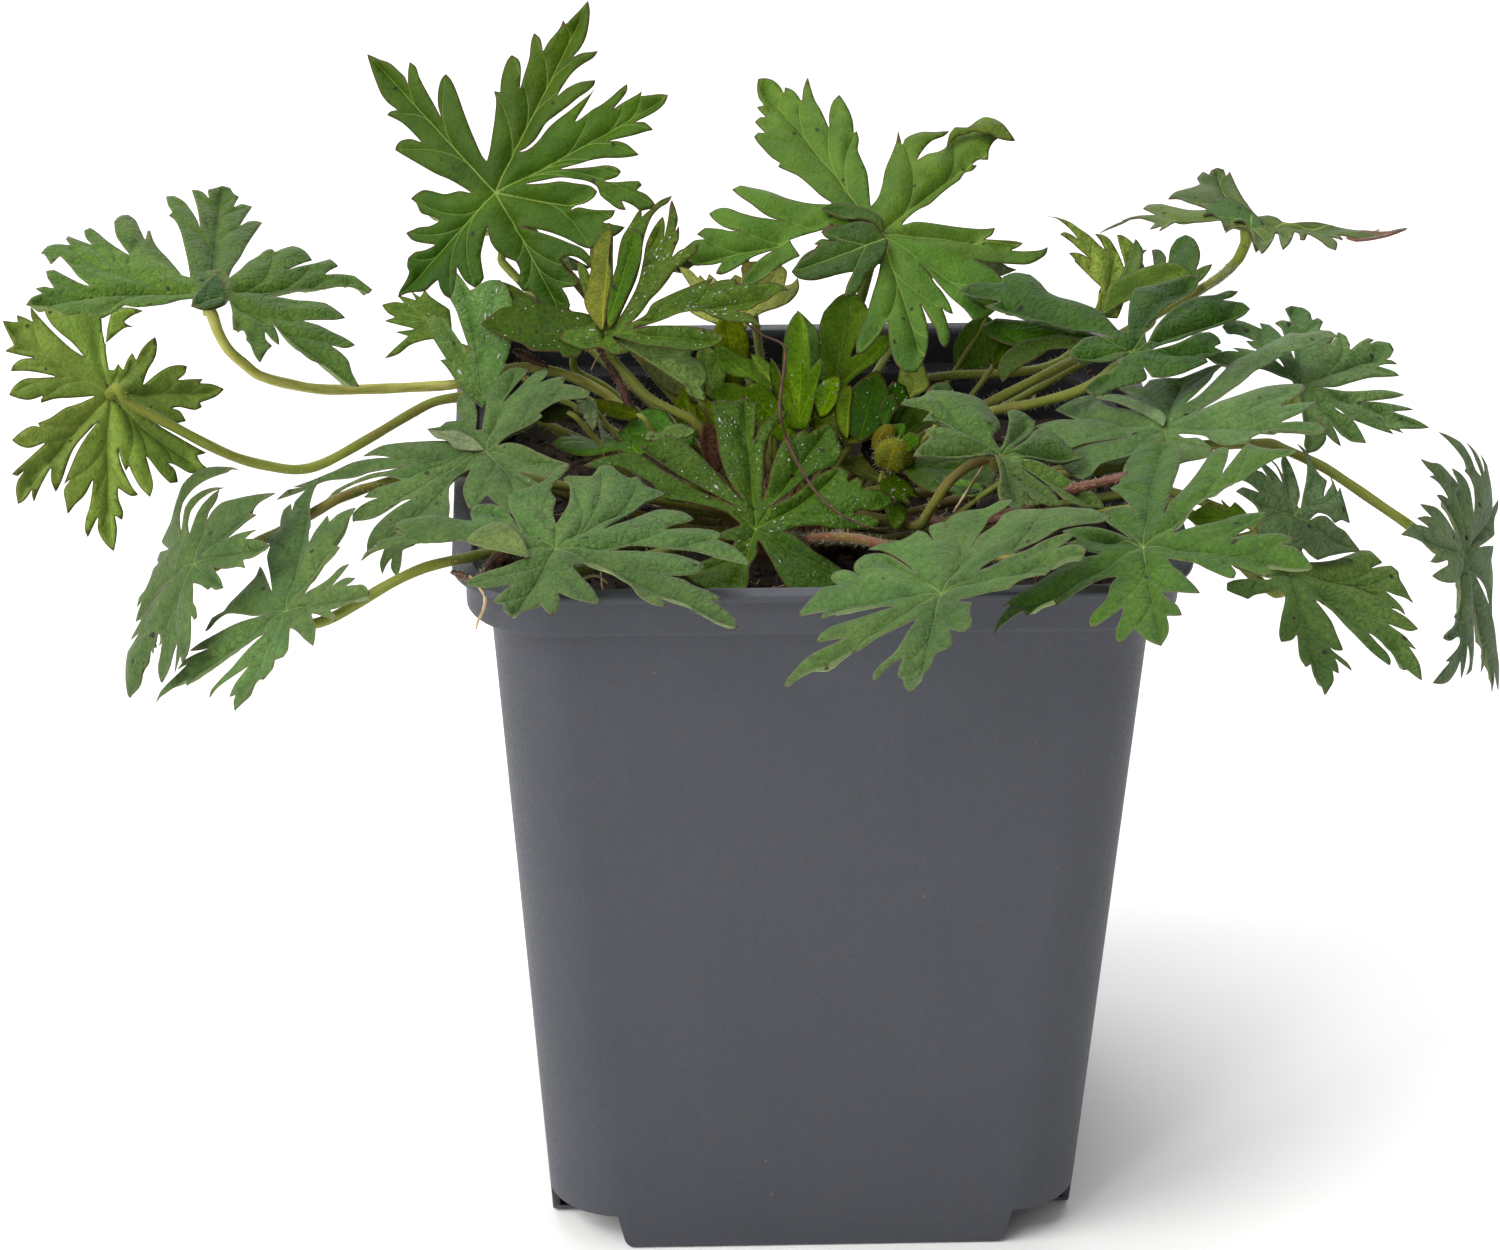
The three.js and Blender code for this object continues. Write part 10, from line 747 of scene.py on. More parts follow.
def leaf_material(name, vein, vein_amount, rough, sheen, sheen_tint, gloss, speckle, margin=1.0, relief=1.0, mottle=0.7):
    """Blade: quilted green with pale veins, a thin reddish margin, dark tips, soil specks and a soft down; painted
    shade in the vein furrows and fine creases, and a painted glow beside some veins.
    """
    n = Nodes(name)
    pos = n.attr("leafpos", "Vector")
    tint = n.attr("tint", "Vector")
    under = n.attr("under")
    base = n.mix(n.ramp(n.noise(pos, 0.16, 2, 0.55), 0.3, 0.7), n.mix(1.0, tint, (0.80, 0.84, 0.78), "MULTIPLY"), n.mix(1.0, tint, (1.2, 1.12, 1.08), "MULTIPLY"))
    fine = n.noise(pos, 2.6, 3, 0.6)
    base = n.mix(mottle, base, n.mix(1.0, base, n.mix(n.ramp(fine, 0.32, 0.68), (0.72, 0.74, 0.68), (1.28, 1.24, 1.24)), "MULTIPLY"))
    mid = n.noise(pos, 0.95, 3, 0.65)
    base = n.mix(0.55 * mottle, base, n.mix(1.0, base, n.mix(n.ramp(mid, 0.36, 0.64), (0.74, 0.78, 0.72), (1.26, 1.21, 1.24)), "MULTIPLY"))
    # the smallest veins make a net between the side veins: pale on the upper leaves, and on the others darkened as
    # painted shade in their fine creases
    net = n.voronoi(pos, 0.95, "DISTANCE_TO_EDGE")
    netm = n.ramp(net, 0.0, 0.10, 1.0, 0.0)
    base = n.mix(n.math("MULTIPLY", netm, 0.30), base, n.mix(1.0, base, (0.62, 0.70, 0.58) if name != "leaf_upper" else (1.25, 1.15, 1.05), "MULTIPLY"))
    if vein is None:
        vein = n.mix(1.0, tint, (2.1, 1.75, 1.7), "MULTIPLY")
    v1 = n.ramp(n.attr("vein"), 0.35, 1.15, 1.0, 0.0)
    v2 = n.ramp(n.attr("vein2"), 0.35, 1.15, 1.0, 0.0)
    if name == "leaf_outer":
        # on the grown leaves a vein is pale only where the stalk joins, and a band along each vein is darkened as
        # painted shade in its furrow
        near = n.attr("near")
        v1c = n.math("MULTIPLY", v1, n.math("ADD", 0.34, n.math("MULTIPLY", near, 0.66)))
        v2c = n.math("MULTIPLY", v2, n.math("ADD", 0.30, n.math("MULTIPLY", near, 0.5)))
        groove_shade = n.math("MAXIMUM", n.ramp(n.attr("vein"), 0.5, 2.6, 0.50, 0.0), n.ramp(n.attr("vein2"), 0.3, 1.7, 0.36, 0.0))
        base = n.mix(groove_shade, base, n.mix(1.0, base, (0.62, 0.70, 0.62), "MULTIPLY"))
    else:
        v1c, v2c = v1, v2
        # painted light: the blade beside the main veins is made lighter and yellower, for light shining through it
        # there
        vein_glow = n.ramp(n.attr("vein"), 0.6, 4.0, 0.35, 0.0)
        base = n.mix(vein_glow, base, n.mix(1.0, base, (1.3, 1.14, 0.95), "MULTIPLY"))
    base = n.mix(n.math("MULTIPLY", v2c, vein_amount * 0.62), base, vein)
    base = n.mix(n.math("MULTIPLY", v1c, vein_amount), base, vein)
    pale = n.mix(0.55, n.mix(1.0, tint, (1.75, 1.5, 1.7), "MULTIPLY"), (0.20, 0.27, 0.10))
    pale = n.mix(n.math("MULTIPLY", v1, 0.6), pale, (0.42, 0.48, 0.20))
    pale = n.mix(n.math("MULTIPLY", v2, 0.4), pale, (0.36, 0.43, 0.18))
    base = n.mix(under, base, pale)
    # specks of soil and little pits
    spot = n.voronoi(pos, 0.42, "F1")
    size = n.noise(pos, 0.5, 2, 0.6)
    specks = n.ramp(n.math("SUBTRACT", spot, n.ramp(size, 0.44, 0.62, -0.03, 0.15)), 0.0, 0.03, speckle, 0.0)
    dust = n.voronoi(pos, 1.1, "F1")
    dustm = n.math("MULTIPLY", n.ramp(dust, 0.06, 0.14, speckle * 0.7, 0.0), n.ramp(n.noise(pos, 0.3, 1, 0.5), 0.48, 0.60))
    base = n.mix(n.math("MAXIMUM", specks, dustm), base, (0.018, 0.012, 0.008))
    # margin and tips
    ragged = n.ramp(n.noise(pos, 0.7, 2, 0.6), 0.25, 0.75, 0.25, 1.0)
    edge = n.ramp(n.attr("edge"), 0.04, 0.30, 0.85 * margin, 0.0)
    base = n.mix(n.math("MULTIPLY", edge, ragged), base, (0.150, 0.115, 0.070) if name == "leaf_outer" else (0.060, 0.022, 0.014))
    tips = n.ramp(n.attr("tip"), 0.35, 1.0, 0.0, 0.85)
    base = n.mix(tips, base, (0.050, 0.022, 0.016))
    wet = n.attr("wet")
    wetm = n.math("MULTIPLY", wet, n.ramp(n.noise(pos, 0.8, 2, 0.6, 0.4), 0.45, 0.62))
    r = n.math("SUBTRACT", rough, n.math("MULTIPLY", wetm, rough - 0.12))
    r = n.math("ADD", r, n.ramp(fine, 0.3, 0.7, -0.04, 0.06), clamp=True)
    hair = n.noise(n.scaled(pos, (1.0, 1.0, 1.0)), 9.0, 2, 0.7)
    h = n.math("ADD", n.math("MULTIPLY", n.ramp(net, 0.0, 0.22), 0.55), n.math("MULTIPLY", n.noise(pos, 1.3, 3, 0.6), 0.5))
    h = n.math("ADD", h, n.math("MULTIPLY", hair, 0.22))
    h = n.math("SUBTRACT", h, n.math("MULTIPLY", v2, 0.45))
    h = n.math("SUBTRACT", h, n.math("MULTIPLY", v1, 0.6))
    nb = n.bump(h, 0.5 * relief, 0.00028)
    # a dead leaf is brown all over
    base = n.mix(n.attr("dry"), base, n.mix(n.ramp(fine, 0.3, 0.7), (0.060, 0.026, 0.016), (0.16, 0.075, 0.045)))
    return n.done(base, r, nb, Sheen_Weight=sheen, Sheen_Roughness=0.45, Sheen_Tint=(*sheen_tint, 1.0), Specular_IOR_Level=gloss)


def stalk_material(name, green, warm, rough=0.5, hairs=0.12):
    """Stalk: round yellow-green or reddish, streaked along its length, downy."""
    n = Nodes(name)
    pos = n.attr("leafpos", "Vector")  # x: mm along, y: turn, z: seed
    warmth = n.attr("warm")
    streak = n.noise(n.scaled(pos, (0.35, 9.0, 1.0)), 1.0, 3, 0.6)
    patch = n.noise(n.scaled(pos, (0.12, 1.5, 1.0)), 1.0, 2, 0.5)
    w = n.math("ADD", warmth, n.ramp(patch, 0.3, 0.7, -0.22, 0.22), clamp=True)
    w = n.math("ADD", w, n.ramp(streak, 0.35, 0.65, -0.1, 0.1), clamp=True)
    base = n.mix(w, green, warm)
    base = n.mix(n.attr("wet"), base, n.mix(n.ramp(streak, 0.3, 0.7), (0.40, 0.40, 0.075), (0.46, 0.43, 0.13)))
    base = n.mix(0.6, base, n.mix(1.0, base, n.mix(n.ramp(streak, 0.3, 0.7), (0.72, 0.74, 0.7), (1.25, 1.22, 1.2)), "MULTIPLY"))
    dots = n.voronoi(n.scaled(pos, (1.6, 9.0, 1.0)), 1.0, "F1")
    base = n.mix(n.ramp(dots, 0.08, 0.2, 0.55, 0.0), base, n.mix(1.0, base, (0.55, 0.42, 0.4), "MULTIPLY"))
    h = n.math("ADD", streak, n.math("MULTIPLY", n.noise(n.scaled(pos, (5.0, 40.0, 1.0)), 1.0, 2, 0.7), 0.6))
    return n.done(base, rough, n.bump(h, 0.35, 0.0002), Sheen_Weight=hairs, Sheen_Roughness=0.4, Sheen_Tint=(0.9, 0.95, 0.8, 1.0), Specular_IOR_Level=0.22)


def pot_material():
    """Moulded plastic, blue-grey, satin, with faint drag lines up the wall, dust and pale scuffs; the inner wall is
    darkened as painted shade.
    """
    n = Nodes("pot_plastic")
    c = n.coord((1000, 1000, 1000))
    vert = n.noise(n.scaled(c, (1.6, 1.6, 0.035)), 1.0, 4, 0.6)
    cloud = n.noise(c, 0.07, 3, 0.55)
    grain = n.noise(c, 2.2, 3, 0.65)
    base = n.mix(n.ramp(cloud, 0.3, 0.7), (0.0500, 0.0525, 0.0635), (0.0560, 0.0580, 0.0685))
    base = n.mix(n.ramp(n.noise(c, 0.45, 4, 0.65), 0.36, 0.64, 0.0, 0.5), base, (0.0485, 0.0530, 0.0680))
    base = n.mix(n.ramp(vert, 0.3, 0.7, 0.0, 0.30), base, (0.0640, 0.0655, 0.0735))
    base = n.mix(n.ramp(grain, 0.35, 0.65, 0.0, 0.42), base, (0.0410, 0.0450, 0.0575))
    base = n.mix(n.ramp(n.noise(c, 3.1, 3, 0.7), 0.52, 0.74, 0.0, 0.4), base, (0.0700, 0.0715, 0.0800))
    speck = n.voronoi(n.scaled(c, (1, 1, 0.7)), 0.22, "F1")
    keep = n.ramp(n.noise(c, 0.3, 1, 0.5), 0.55, 0.62)
    pale = n.math("MULTIPLY", n.ramp(speck, 0.012, 0.045, 0.45, 0.0), keep)
    base = n.mix(pale, base, (0.21, 0.20, 0.19))
    dark = n.voronoi(n.scaled(c, (1, 1, 0.6)), 0.16, "F1")
    base = n.mix(n.ramp(dark, 0.01, 0.05, 0.35, 0.0), base, (0.030, 0.031, 0.036))
    # painted shade: the inner wall above the compost is made near black, with a mottle, for the shade that falls inside
    # the pot
    inside_shade = n.attr("inside")
    scuff = n.noise(n.scaled(c, (0.12, 0.12, 1.4)), 1.0, 3, 0.6)
    deep = n.mix(n.ramp(scuff, 0.45, 0.75), (0.0075, 0.0078, 0.010), (0.020, 0.021, 0.026))
    base = n.mix(inside_shade, base, deep)
    rough = n.ramp(grain, 0.3, 0.7, 0.46, 0.58)
    h = n.math("ADD", n.math("MULTIPLY", vert, 0.5), n.math("MULTIPLY", grain, 0.4))
    return n.done(base, rough, n.bump(h, 0.12, 0.00025), Specular_IOR_Level=0.28)


def soil_material():
    n = Nodes("peat")
    c = n.coord((1000, 1000, 1000))
    a = n.noise(c, 0.35, 4, 0.65)
    b = n.noise(c, 2.4, 4, 0.7)
    base = n.mix(n.ramp(a, 0.3, 0.7), (0.010, 0.0068, 0.0048), (0.040, 0.026, 0.016))
    base = n.mix(n.ramp(b, 0.52, 0.75, 0.0, 0.75), base, (0.075, 0.048, 0.028))
    v = n.voronoi(c, 0.8, "F1")
    base = n.mix(n.ramp(v, 0.05, 0.16, 0.6, 0.0), base, (0.17, 0.12, 0.07))
    rough = n.ramp(a, 0.3, 0.7, 0.62, 0.95)
    return n.done(base, rough, n.bump(n.math("ADD", a, b), 0.8, 0.0006), Specular_IOR_Level=0.3)


def fibre_material(name, lo, hi, rough=0.75):
    """Dry straw, root or papery scale."""
    n = Nodes(name)
    pos = n.attr("leafpos", "Vector")
    s = n.noise(n.scaled(pos, (0.5, 6.0, 1.0)), 1.0, 3, 0.6)
    base = n.mix(n.ramp(s, 0.3, 0.7), lo, hi)
    return n.done(base, rough, n.bump(s, 0.4, 0.00015), Specular_IOR_Level=0.3)


def water_material():
    n = Nodes("water_drop")
    c = n.coord((1000, 1000, 1000))
    # painted highlight: only part of each drop is clear and the rest is near-white, so the drops show as white glints
    base = n.mix(n.ramp(n.noise(c, 0.8, 1, 0.5), 0.3, 0.7), (0.92, 0.97, 0.90), (0.98, 1.0, 0.97))
    m = n.done(base, 0.03, None, Specular_IOR_Level=1.0, Transmission_Weight=0.80, IOR=1.40)
    return m


VEIN = (0.27, 0.40, 0.09)
MAT = {
    "outer": leaf_material("leaf_outer", (0.150, 0.220, 0.055), 0.55, 0.58, 0.06, (0.80, 0.92, 0.88), 0.15, 0.9, 0.6, 1.05, 0.8),
    "upper": leaf_material("leaf_upper", (0.230, 0.315, 0.070), 0.50, 0.50, 0.02, (0.85, 0.95, 0.75), 0.12, 0.8, 1.0, 0.5, 0.4),
    "inner": leaf_material("leaf_inner", None, 0.75, 0.42, 0.01, (0.85, 0.95, 0.75), 0.06, 0.8, 1.0, 0.75, 0.9),
    "young": leaf_material("leaf_young", None, 0.60, 0.45, 0.0, (0.9, 1.0, 0.8), 0.03, 0.3, 0.75, 0.55, 0.85),
}
STALK_MAT = stalk_material("stalk", (0.180, 0.215, 0.028), (0.105, 0.040, 0.018))
POT_MAT = pot_material()
SOIL_MAT = soil_material()
STRAW = fibre_material("straw", (0.30, 0.20, 0.10), (0.55, 0.42, 0.24))
ROOT = fibre_material("dry_root", (0.030, 0.012, 0.009), (0.12, 0.050, 0.034))
HAIRY = fibre_material("dead_stem", (0.040, 0.018, 0.013), (0.14, 0.062, 0.040))
REDDISH = fibre_material("red_stalk", (0.062, 0.022, 0.013), (0.145, 0.060, 0.034), 0.5)
WATER = water_material()

# ------------------------------------------------------------------ blades
def lobes_of(q, tags):
    """Splits the outline at its notches: lists of indices between one N and the next."""
    n = len(q)
    cuts = [i for i in range(n) if tags[i] == "N"]
    if not cuts:
        return [list(range(n))]
    out = []
    for a, b in zip(cuts, cuts[1:] + [cuts[0] + n]):
        out.append([k % n for k in range(a, b + 1)])
    return out


def veins_of(q, tags, foot, seed):
    """Main veins from the stalk's foot to each lobe's tip, side veins to the teeth.
    Each is (points, width at start, width at end, rank)."""
    rs = np.random.default_rng(seed)
    out = []
    for lobe in lobes_of(q, tags):
        if len(lobe) < 4:
            continue
        pts = q[lobe]
        tips = [i for i in lobe if tags[i] == "T"]
        if not tips:
            r = np.hypot(*(pts - foot).T)
            tips = [lobe[int(r.argmax())]]
        tips.sort(key=lambda i: -np.hypot(*(q[i] - foot)))
        mains = []
        for order, i in enumerate(tips):
            tip = q[i]
            L = float(np.hypot(*(tip - foot)))
            if L < 2.5:
                continue
            mid = pts.mean(0)
            if order == 0:
                ctrl = foot + (tip - foot) * 0.5 + (mid - (foot + tip) / 2) * 0.35
                start = foot
            else:
                # a second tip of the same lobe leaves the first vein part of the way along
                m = mains[0]
                k = int(len(m) * 0.22)
                start = m[k]
                ctrl = start + (tip - start) * 0.5 + (mid - (start + tip) / 2) * 0.12
            t = np.linspace(0, 1, max(6, int(L / 0.5)))[:, None]
            c = (1 - t) ** 2 * start + 2 * t * (1 - t) * ctrl + t * t * tip
            mains.append(c)
            out.append((c, 0.30 if order == 0 else 0.20, 0.07, 1 if order == 0 else 2))
        if not mains:
            continue
        m = mains[0]
        run = np.concatenate([[0], np.cumsum(np.hypot(*np.diff(m, axis=0).T))])
        teeth = [i for i in lobe if tags[i] == "t"]
        for i in teeth:
            tip = q[i]
            best, bm = None, None
            for mm in mains:
                rr = np.concatenate([[0], np.cumsum(np.hypot(*np.diff(mm, axis=0).T))])
                d = np.hypot(*(mm - tip).T)
                k = int(d.argmin())
                if best is None or d[k] < best[0]:
                    best, bm = (d[k], k, rr), mm
            d, k, rr = best
            s = rr[k] - d / math.tan(math.radians(33 + rs.uniform(-3, 3)))
            s = max(s, rr[-1] * (0.10 + rs.uniform(0, 0.04)))
            j = int(np.searchsorted(rr, s))
            j = min(max(j, 1), len(bm) - 2)
            a = bm[j]
            if np.hypot(*(tip - a)) < 1.0:
                continue
            along = unit(bm[j + 1] - bm[j - 1])
            ctrl = a + along * np.hypot(*(tip - a)) * 0.42
            t = np.linspace(0, 1, max(4, int(np.hypot(*(tip - a)) / 0.5)))[:, None]
            c = (1 - t) ** 2 * a + 2 * t * (1 - t) * ctrl + t * t * tip
            out.append((c, 0.22, 0.08, 2))
    return out


class Blade:
    def __init__(self, spec):
        self.name, self.key = spec["name"], spec["key"]
        self.at = np.array(spec["at"], float)
        self.n = unit(np.array(spec["facing"], float))
        self.u = np.array(spec["across"], float)
        self.u = unit(self.u - self.n * self.u.dot(self.n))
        self.w = np.cross(self.n, self.u)
        self.span, self.droop = spec["span"], spec["droop"]
        self.seed = spec["seed"]
        q = np.array(spec["outline"], float).reshape(-1, 2)
        tags = list(spec["tags"])
        area = 0.5 * float((q[:, 0] * np.roll(q[:, 1], -1) - np.roll(q[:, 0], -1) * q[:, 1]).sum())
        if area < 0:
            q, tags = q[::-1].copy(), tags[::-1]
        self.raw, self.tags = q, tags
        self.foot = np.array(spec["foot"], float)
        self.look = spec["look"]
        self.relief = spec.get("relief", 1.0)

    def sag(self, p):
        return -self.droop * (np.sqrt((p ** 2).sum(1) + self.span ** 2) - self.span)

    def place(self, p, h):
        return self.at + p[:, :1] * self.u + p[:, 1:2] * self.w + h[:, None] * self.n

    def prepare(self, step=0.42, grid=0.62):
        q, tags = self.raw, self.tags
        before, after = q - np.roll(q, 1, 0), np.roll(q, -1, 0) - q
        turn = np.abs(np.arctan2(before[:, 0] * after[:, 1] - before[:, 1] * after[:, 0], (before * after).sum(1)))
        # tips, notches and every sharp tooth are corners; the rest runs smooth
        ring, marks = spline(q, [t in ("T", "t", "N") or a > 0.8 for t, a in zip(tags, turn)], step)
        self.ring = ring
        self.veins = veins_of(q, tags, self.foot, self.seed)
        pts = [ring]
        edges = [(i, (i + 1) % len(ring)) for i in range(len(ring))]
        base = len(ring)
        for c, w0, w1, rank in self.veins:
            # keep the vein's last bit off the outline so that no sliver is made there
            c = c[:-1]
            pts.append(c)
            edges += [(base + i, base + i + 1) for i in range(len(c) - 1)]
            base += len(c)
        fixed = np.vstack(pts)
        lo, hi = ring.min(0), ring.max(0)
        xs = np.arange(lo[0], hi[0], grid)
        ys = np.arange(lo[1], hi[1], grid * 0.866)
        gx, gy = np.meshgrid(xs, ys)
        gx = gx + (np.arange(len(ys))[:, None] % 2) * grid / 2
        g = np.stack([gx.ravel(), gy.ravel()], 1)
        rs = np.random.default_rng(self.seed)
        g += rs.uniform(-0.1, 0.1, g.shape)
        g = g[winding(g, ring) != 0]
        A, B = ring, np.roll(ring, -1, 0)
        d, _, _ = seg_dist(g, A, B)
        g = g[d > 0.26]
        vs = np.vstack([c for c, *_ in self.veins]) if self.veins else np.zeros((0, 2))
        if len(vs):
            keep = np.ones(len(g), bool)
            for s in range(0, len(g), 1500):
                keep[s:s + 1500] = (((g[s:s + 1500, None] - vs[None]) ** 2).sum(2).min(1) > 0.22 ** 2)
            g = g[keep]
        # rows of points beside each vein keep its colour from spreading into the wedge between two veins
        rows = []
        for c, w0, w1, rank in self.veins:
            t = np.gradient(c, axis=0)
            t /= np.maximum(np.hypot(*t.T), 1e-9)[:, None]
            s = np.column_stack([-t[:, 1], t[:, 0]])
            off = np.linspace(w0, w1, len(c))[:, None] * 0.75
            rows += [(c + s * off)[1:-2], (c - s * off)[1:-2]]
        if rows:
            r = np.vstack(rows)
            r = r[winding(r, ring) != 0]
            r = r[seg_dist(r, A, B)[0] > 0.12]
            keep = np.ones(len(r), bool)
            for s0 in range(0, len(r), 1500):
                keep[s0:s0 + 1500] = (((r[s0:s0 + 1500, None] - vs[None]) ** 2).sum(2).min(1) > 0.06 ** 2)
            r = r[keep]
            near = np.ones(len(g), bool)
            for s0 in range(0, len(g) if len(r) else 0, 1500):
                near[s0:s0 + 1500] = (((g[s0:s0 + 1500, None] - r[None]) ** 2).sum(2).min(1) > 0.24 ** 2)
            g = np.vstack([g[near], r])
        allp = np.vstack([fixed, g])
        res = delaunay_2d_cdt([Vector(p) for p in allp], edges, [], 0, 1e-4)
        V = np.array([tuple(p) for p in res[0]])
        F = np.array([f for f in res[2] if len(f) == 3])
        cen = V[F].mean(1)
        F = F[winding(cen, ring) != 0]
        # one way round, and only the vertices in use
        e1, e2 = V[F[:, 1]] - V[F[:, 0]], V[F[:, 2]] - V[F[:, 0]]
        cr = e1[:, 0] * e2[:, 1] - e1[:, 1] * e2[:, 0]
        F[cr < 0] = F[cr < 0][:, ::-1]
        F = F[np.abs(cr) > 1e-5]
        used = np.unique(F)
        remap = np.full(len(V), -1)
        remap[used] = np.arange(len(used))
        self.V, self.F = V[used], remap[F]
        self.measure()

    def measure(self):
        V = self.V
        A, B = self.ring, np.roll(self.ring, -1, 0)
        self.edge, _, _ = seg_dist(V, A, B)
        n = len(V)
        self.v1 = np.full(n, 9.0); self.v2 = np.full(n, 9.0)
        self.d1 = np.full(n, 30.0); self.d2 = np.full(n, 30.0)
        # each lobe is a little lighter or darker than the next
        tone = np.random.default_rng(self.seed + 900)
        near = np.full(n, 99.0); self.tone = np.ones((n, 3))
        for c, w0, w1, rank in self.veins:
            d, k, t = seg_dist(V, c[:-1], c[1:])
            if rank == 1:
                f = tone.uniform(0.84, 1.16) * np.array([tone.uniform(0.93, 1.08), 1.0, tone.uniform(0.9, 1.1)])
                own = d < near
                near[own] = d[own]; self.tone[own] = f
            s = (k + t) / (len(c) - 1)
            w = w0 + (w1 - w0) * s
            w = w * 0.5
            if rank == 1:
                self.v1 = np.minimum(self.v1, d / w); self.d1 = np.minimum(self.d1, d)
            else:
                self.v2 = np.minimum(self.v2, d / w); self.d2 = np.minimum(self.d2, d)
        self.v1 = np.minimum(self.v1, 9.0); self.v2 = np.minimum(self.v2, 9.0)
        self.reach = float(np.hypot(*(V - self.foot).T).max())
        T = np.array([self.raw[i] for i in range(len(self.raw)) if self.tags[i] in "Tt"])
        self.tip = np.zeros(n)
        if len(T):
            d = np.sqrt(((V[:, None] - T[None]) ** 2).sum(2)).min(1)
            self.tip = np.clip(1 - d / 1.0, 0, 1)

    def height(self, V=None, d1=None, d2=None, edge=None):
        V = self.V if V is None else V
        d1 = self.d1 if d1 is None else d1
        d2 = self.d2 if d2 is None else d2
        edge = self.edge if edge is None else edge
        x, y = V.T
        r = np.hypot(*(V - self.foot).T)
        k = self.relief
        # veins are drawn in as valleys; the margin stays where the outline is
        inside = ease(edge / 1.3)
        fold = -0.85 * np.exp(-d1 / 1.6) * np.clip(r / 5, 0.3, 1)
        quilt = -0.44 * np.exp(-np.minimum(d1, d2) / 0.75)
        wave = 0.40 * fbm(x * 0.22, y * 0.22, self.seed) + 0.16 * fbm(x * 0.8, y * 0.8, self.seed + 7)
        belly = 0.30 * ease(edge / 2.2)
        dip = -0.4 * np.exp(-(r / 1.6) ** 2)
        h = k * ((fold + quilt + belly) * inside + wave * np.clip(r / 6, 0.1, 1) * (0.25 + 0.75 * inside) + dip)
        return self.sag(V) + h

    def mesh(self):
        """Top, underside and rim in one closed skin."""
        V, F = self.V, self.F
        n = len(V)
        h = self.height()
        thick = 0.05 + 0.09 * ease(self.edge / 0.5)
        rib = 0.16 * np.exp(-(self.v1 / 1.3) ** 2) + 0.07 * np.exp(-(self.v2 / 1.3) ** 2)
        top = self.place(V, h + thick)
        bot = self.place(V, h - thick - rib * np.clip(self.edge / 0.4, 0, 1))
        cnt = {}
        for a, b, c in F:
            for e in ((a, b), (b, c), (c, a)):
                cnt[e] = cnt.get(e, 0) + 1
        rim = [(a, b) for (a, b) in cnt if (b, a) not in cnt]
        faces = [tuple(f) for f in F] + [(f[2] + n, f[1] + n, f[0] + n) for f in F]
        faces += [(b, a, a + n, b + n) for a, b in rim]
        verts = np.vstack([top, bot])
        two = lambda a: np.concatenate([a, a])
        pos = np.column_stack([two(V[:, 0]) + self.seed * 3.7, two(V[:, 1]) - self.seed * 1.9, np.full(2 * n, self.seed * 0.37)])
        # painted light: one side of the blade is made lighter and the other darker in its tint, for the side the light
        # falls on
        light_grade = np.ones((n, 3))
        if self.look.get("light_grade"):
            gx, gy, kr, kg, kb = self.look["light_grade"]
            s = np.clip((V[:, 0] * gx + V[:, 1] * gy) / self.reach, -1, 1)[:, None]
            light_grade = 1 + s * np.array([kr, kg, kb])
        tint = np.array(self.look["tint"], float) * self.tone * light_grade
        tint = np.vstack([tint, tint])
        at = dict(vein=two(self.v1), vein2=two(self.v2), edge=two(self.edge), tip=two(self.tip),
                  under=np.concatenate([np.zeros(n), np.ones(n)]), leafpos=pos, tint=tint,
                  near=two(np.exp(-(np.hypot(*(V - self.foot).T) / 4.5) ** 2)),
                  wet=np.full(2 * n, self.look.get("wet", 0.0)), dry=np.full(2 * n, self.look.get("dry", 0.0)))
        return verts, faces, at


LEAF_KEYS = ("vein", "vein2", "edge", "tip", "under", "near", "leafpos", "tint", "wet", "warm", "dry")


# ------------------------------------------------------------------ stalks
def stalk_path(blade, spec):
    P = [np.array(p, float) for p in spec["path"]]
    foot = blade.foot
    h = float(blade.height(foot[None], np.array([0.0]), np.array([9.0]), np.array([2.0]))[0])
    head = blade.at + foot[0] * blade.u + foot[1] * blade.w + (h - 0.1) * blade.n
    P[0] = head
    tail = P[-1] + unit(P[-1] - P[-2]) * 1.6
    P.append(tail)
    path, _ = spline(np.array(P), [False] * len(P), 0.7, closed=False)
    return path


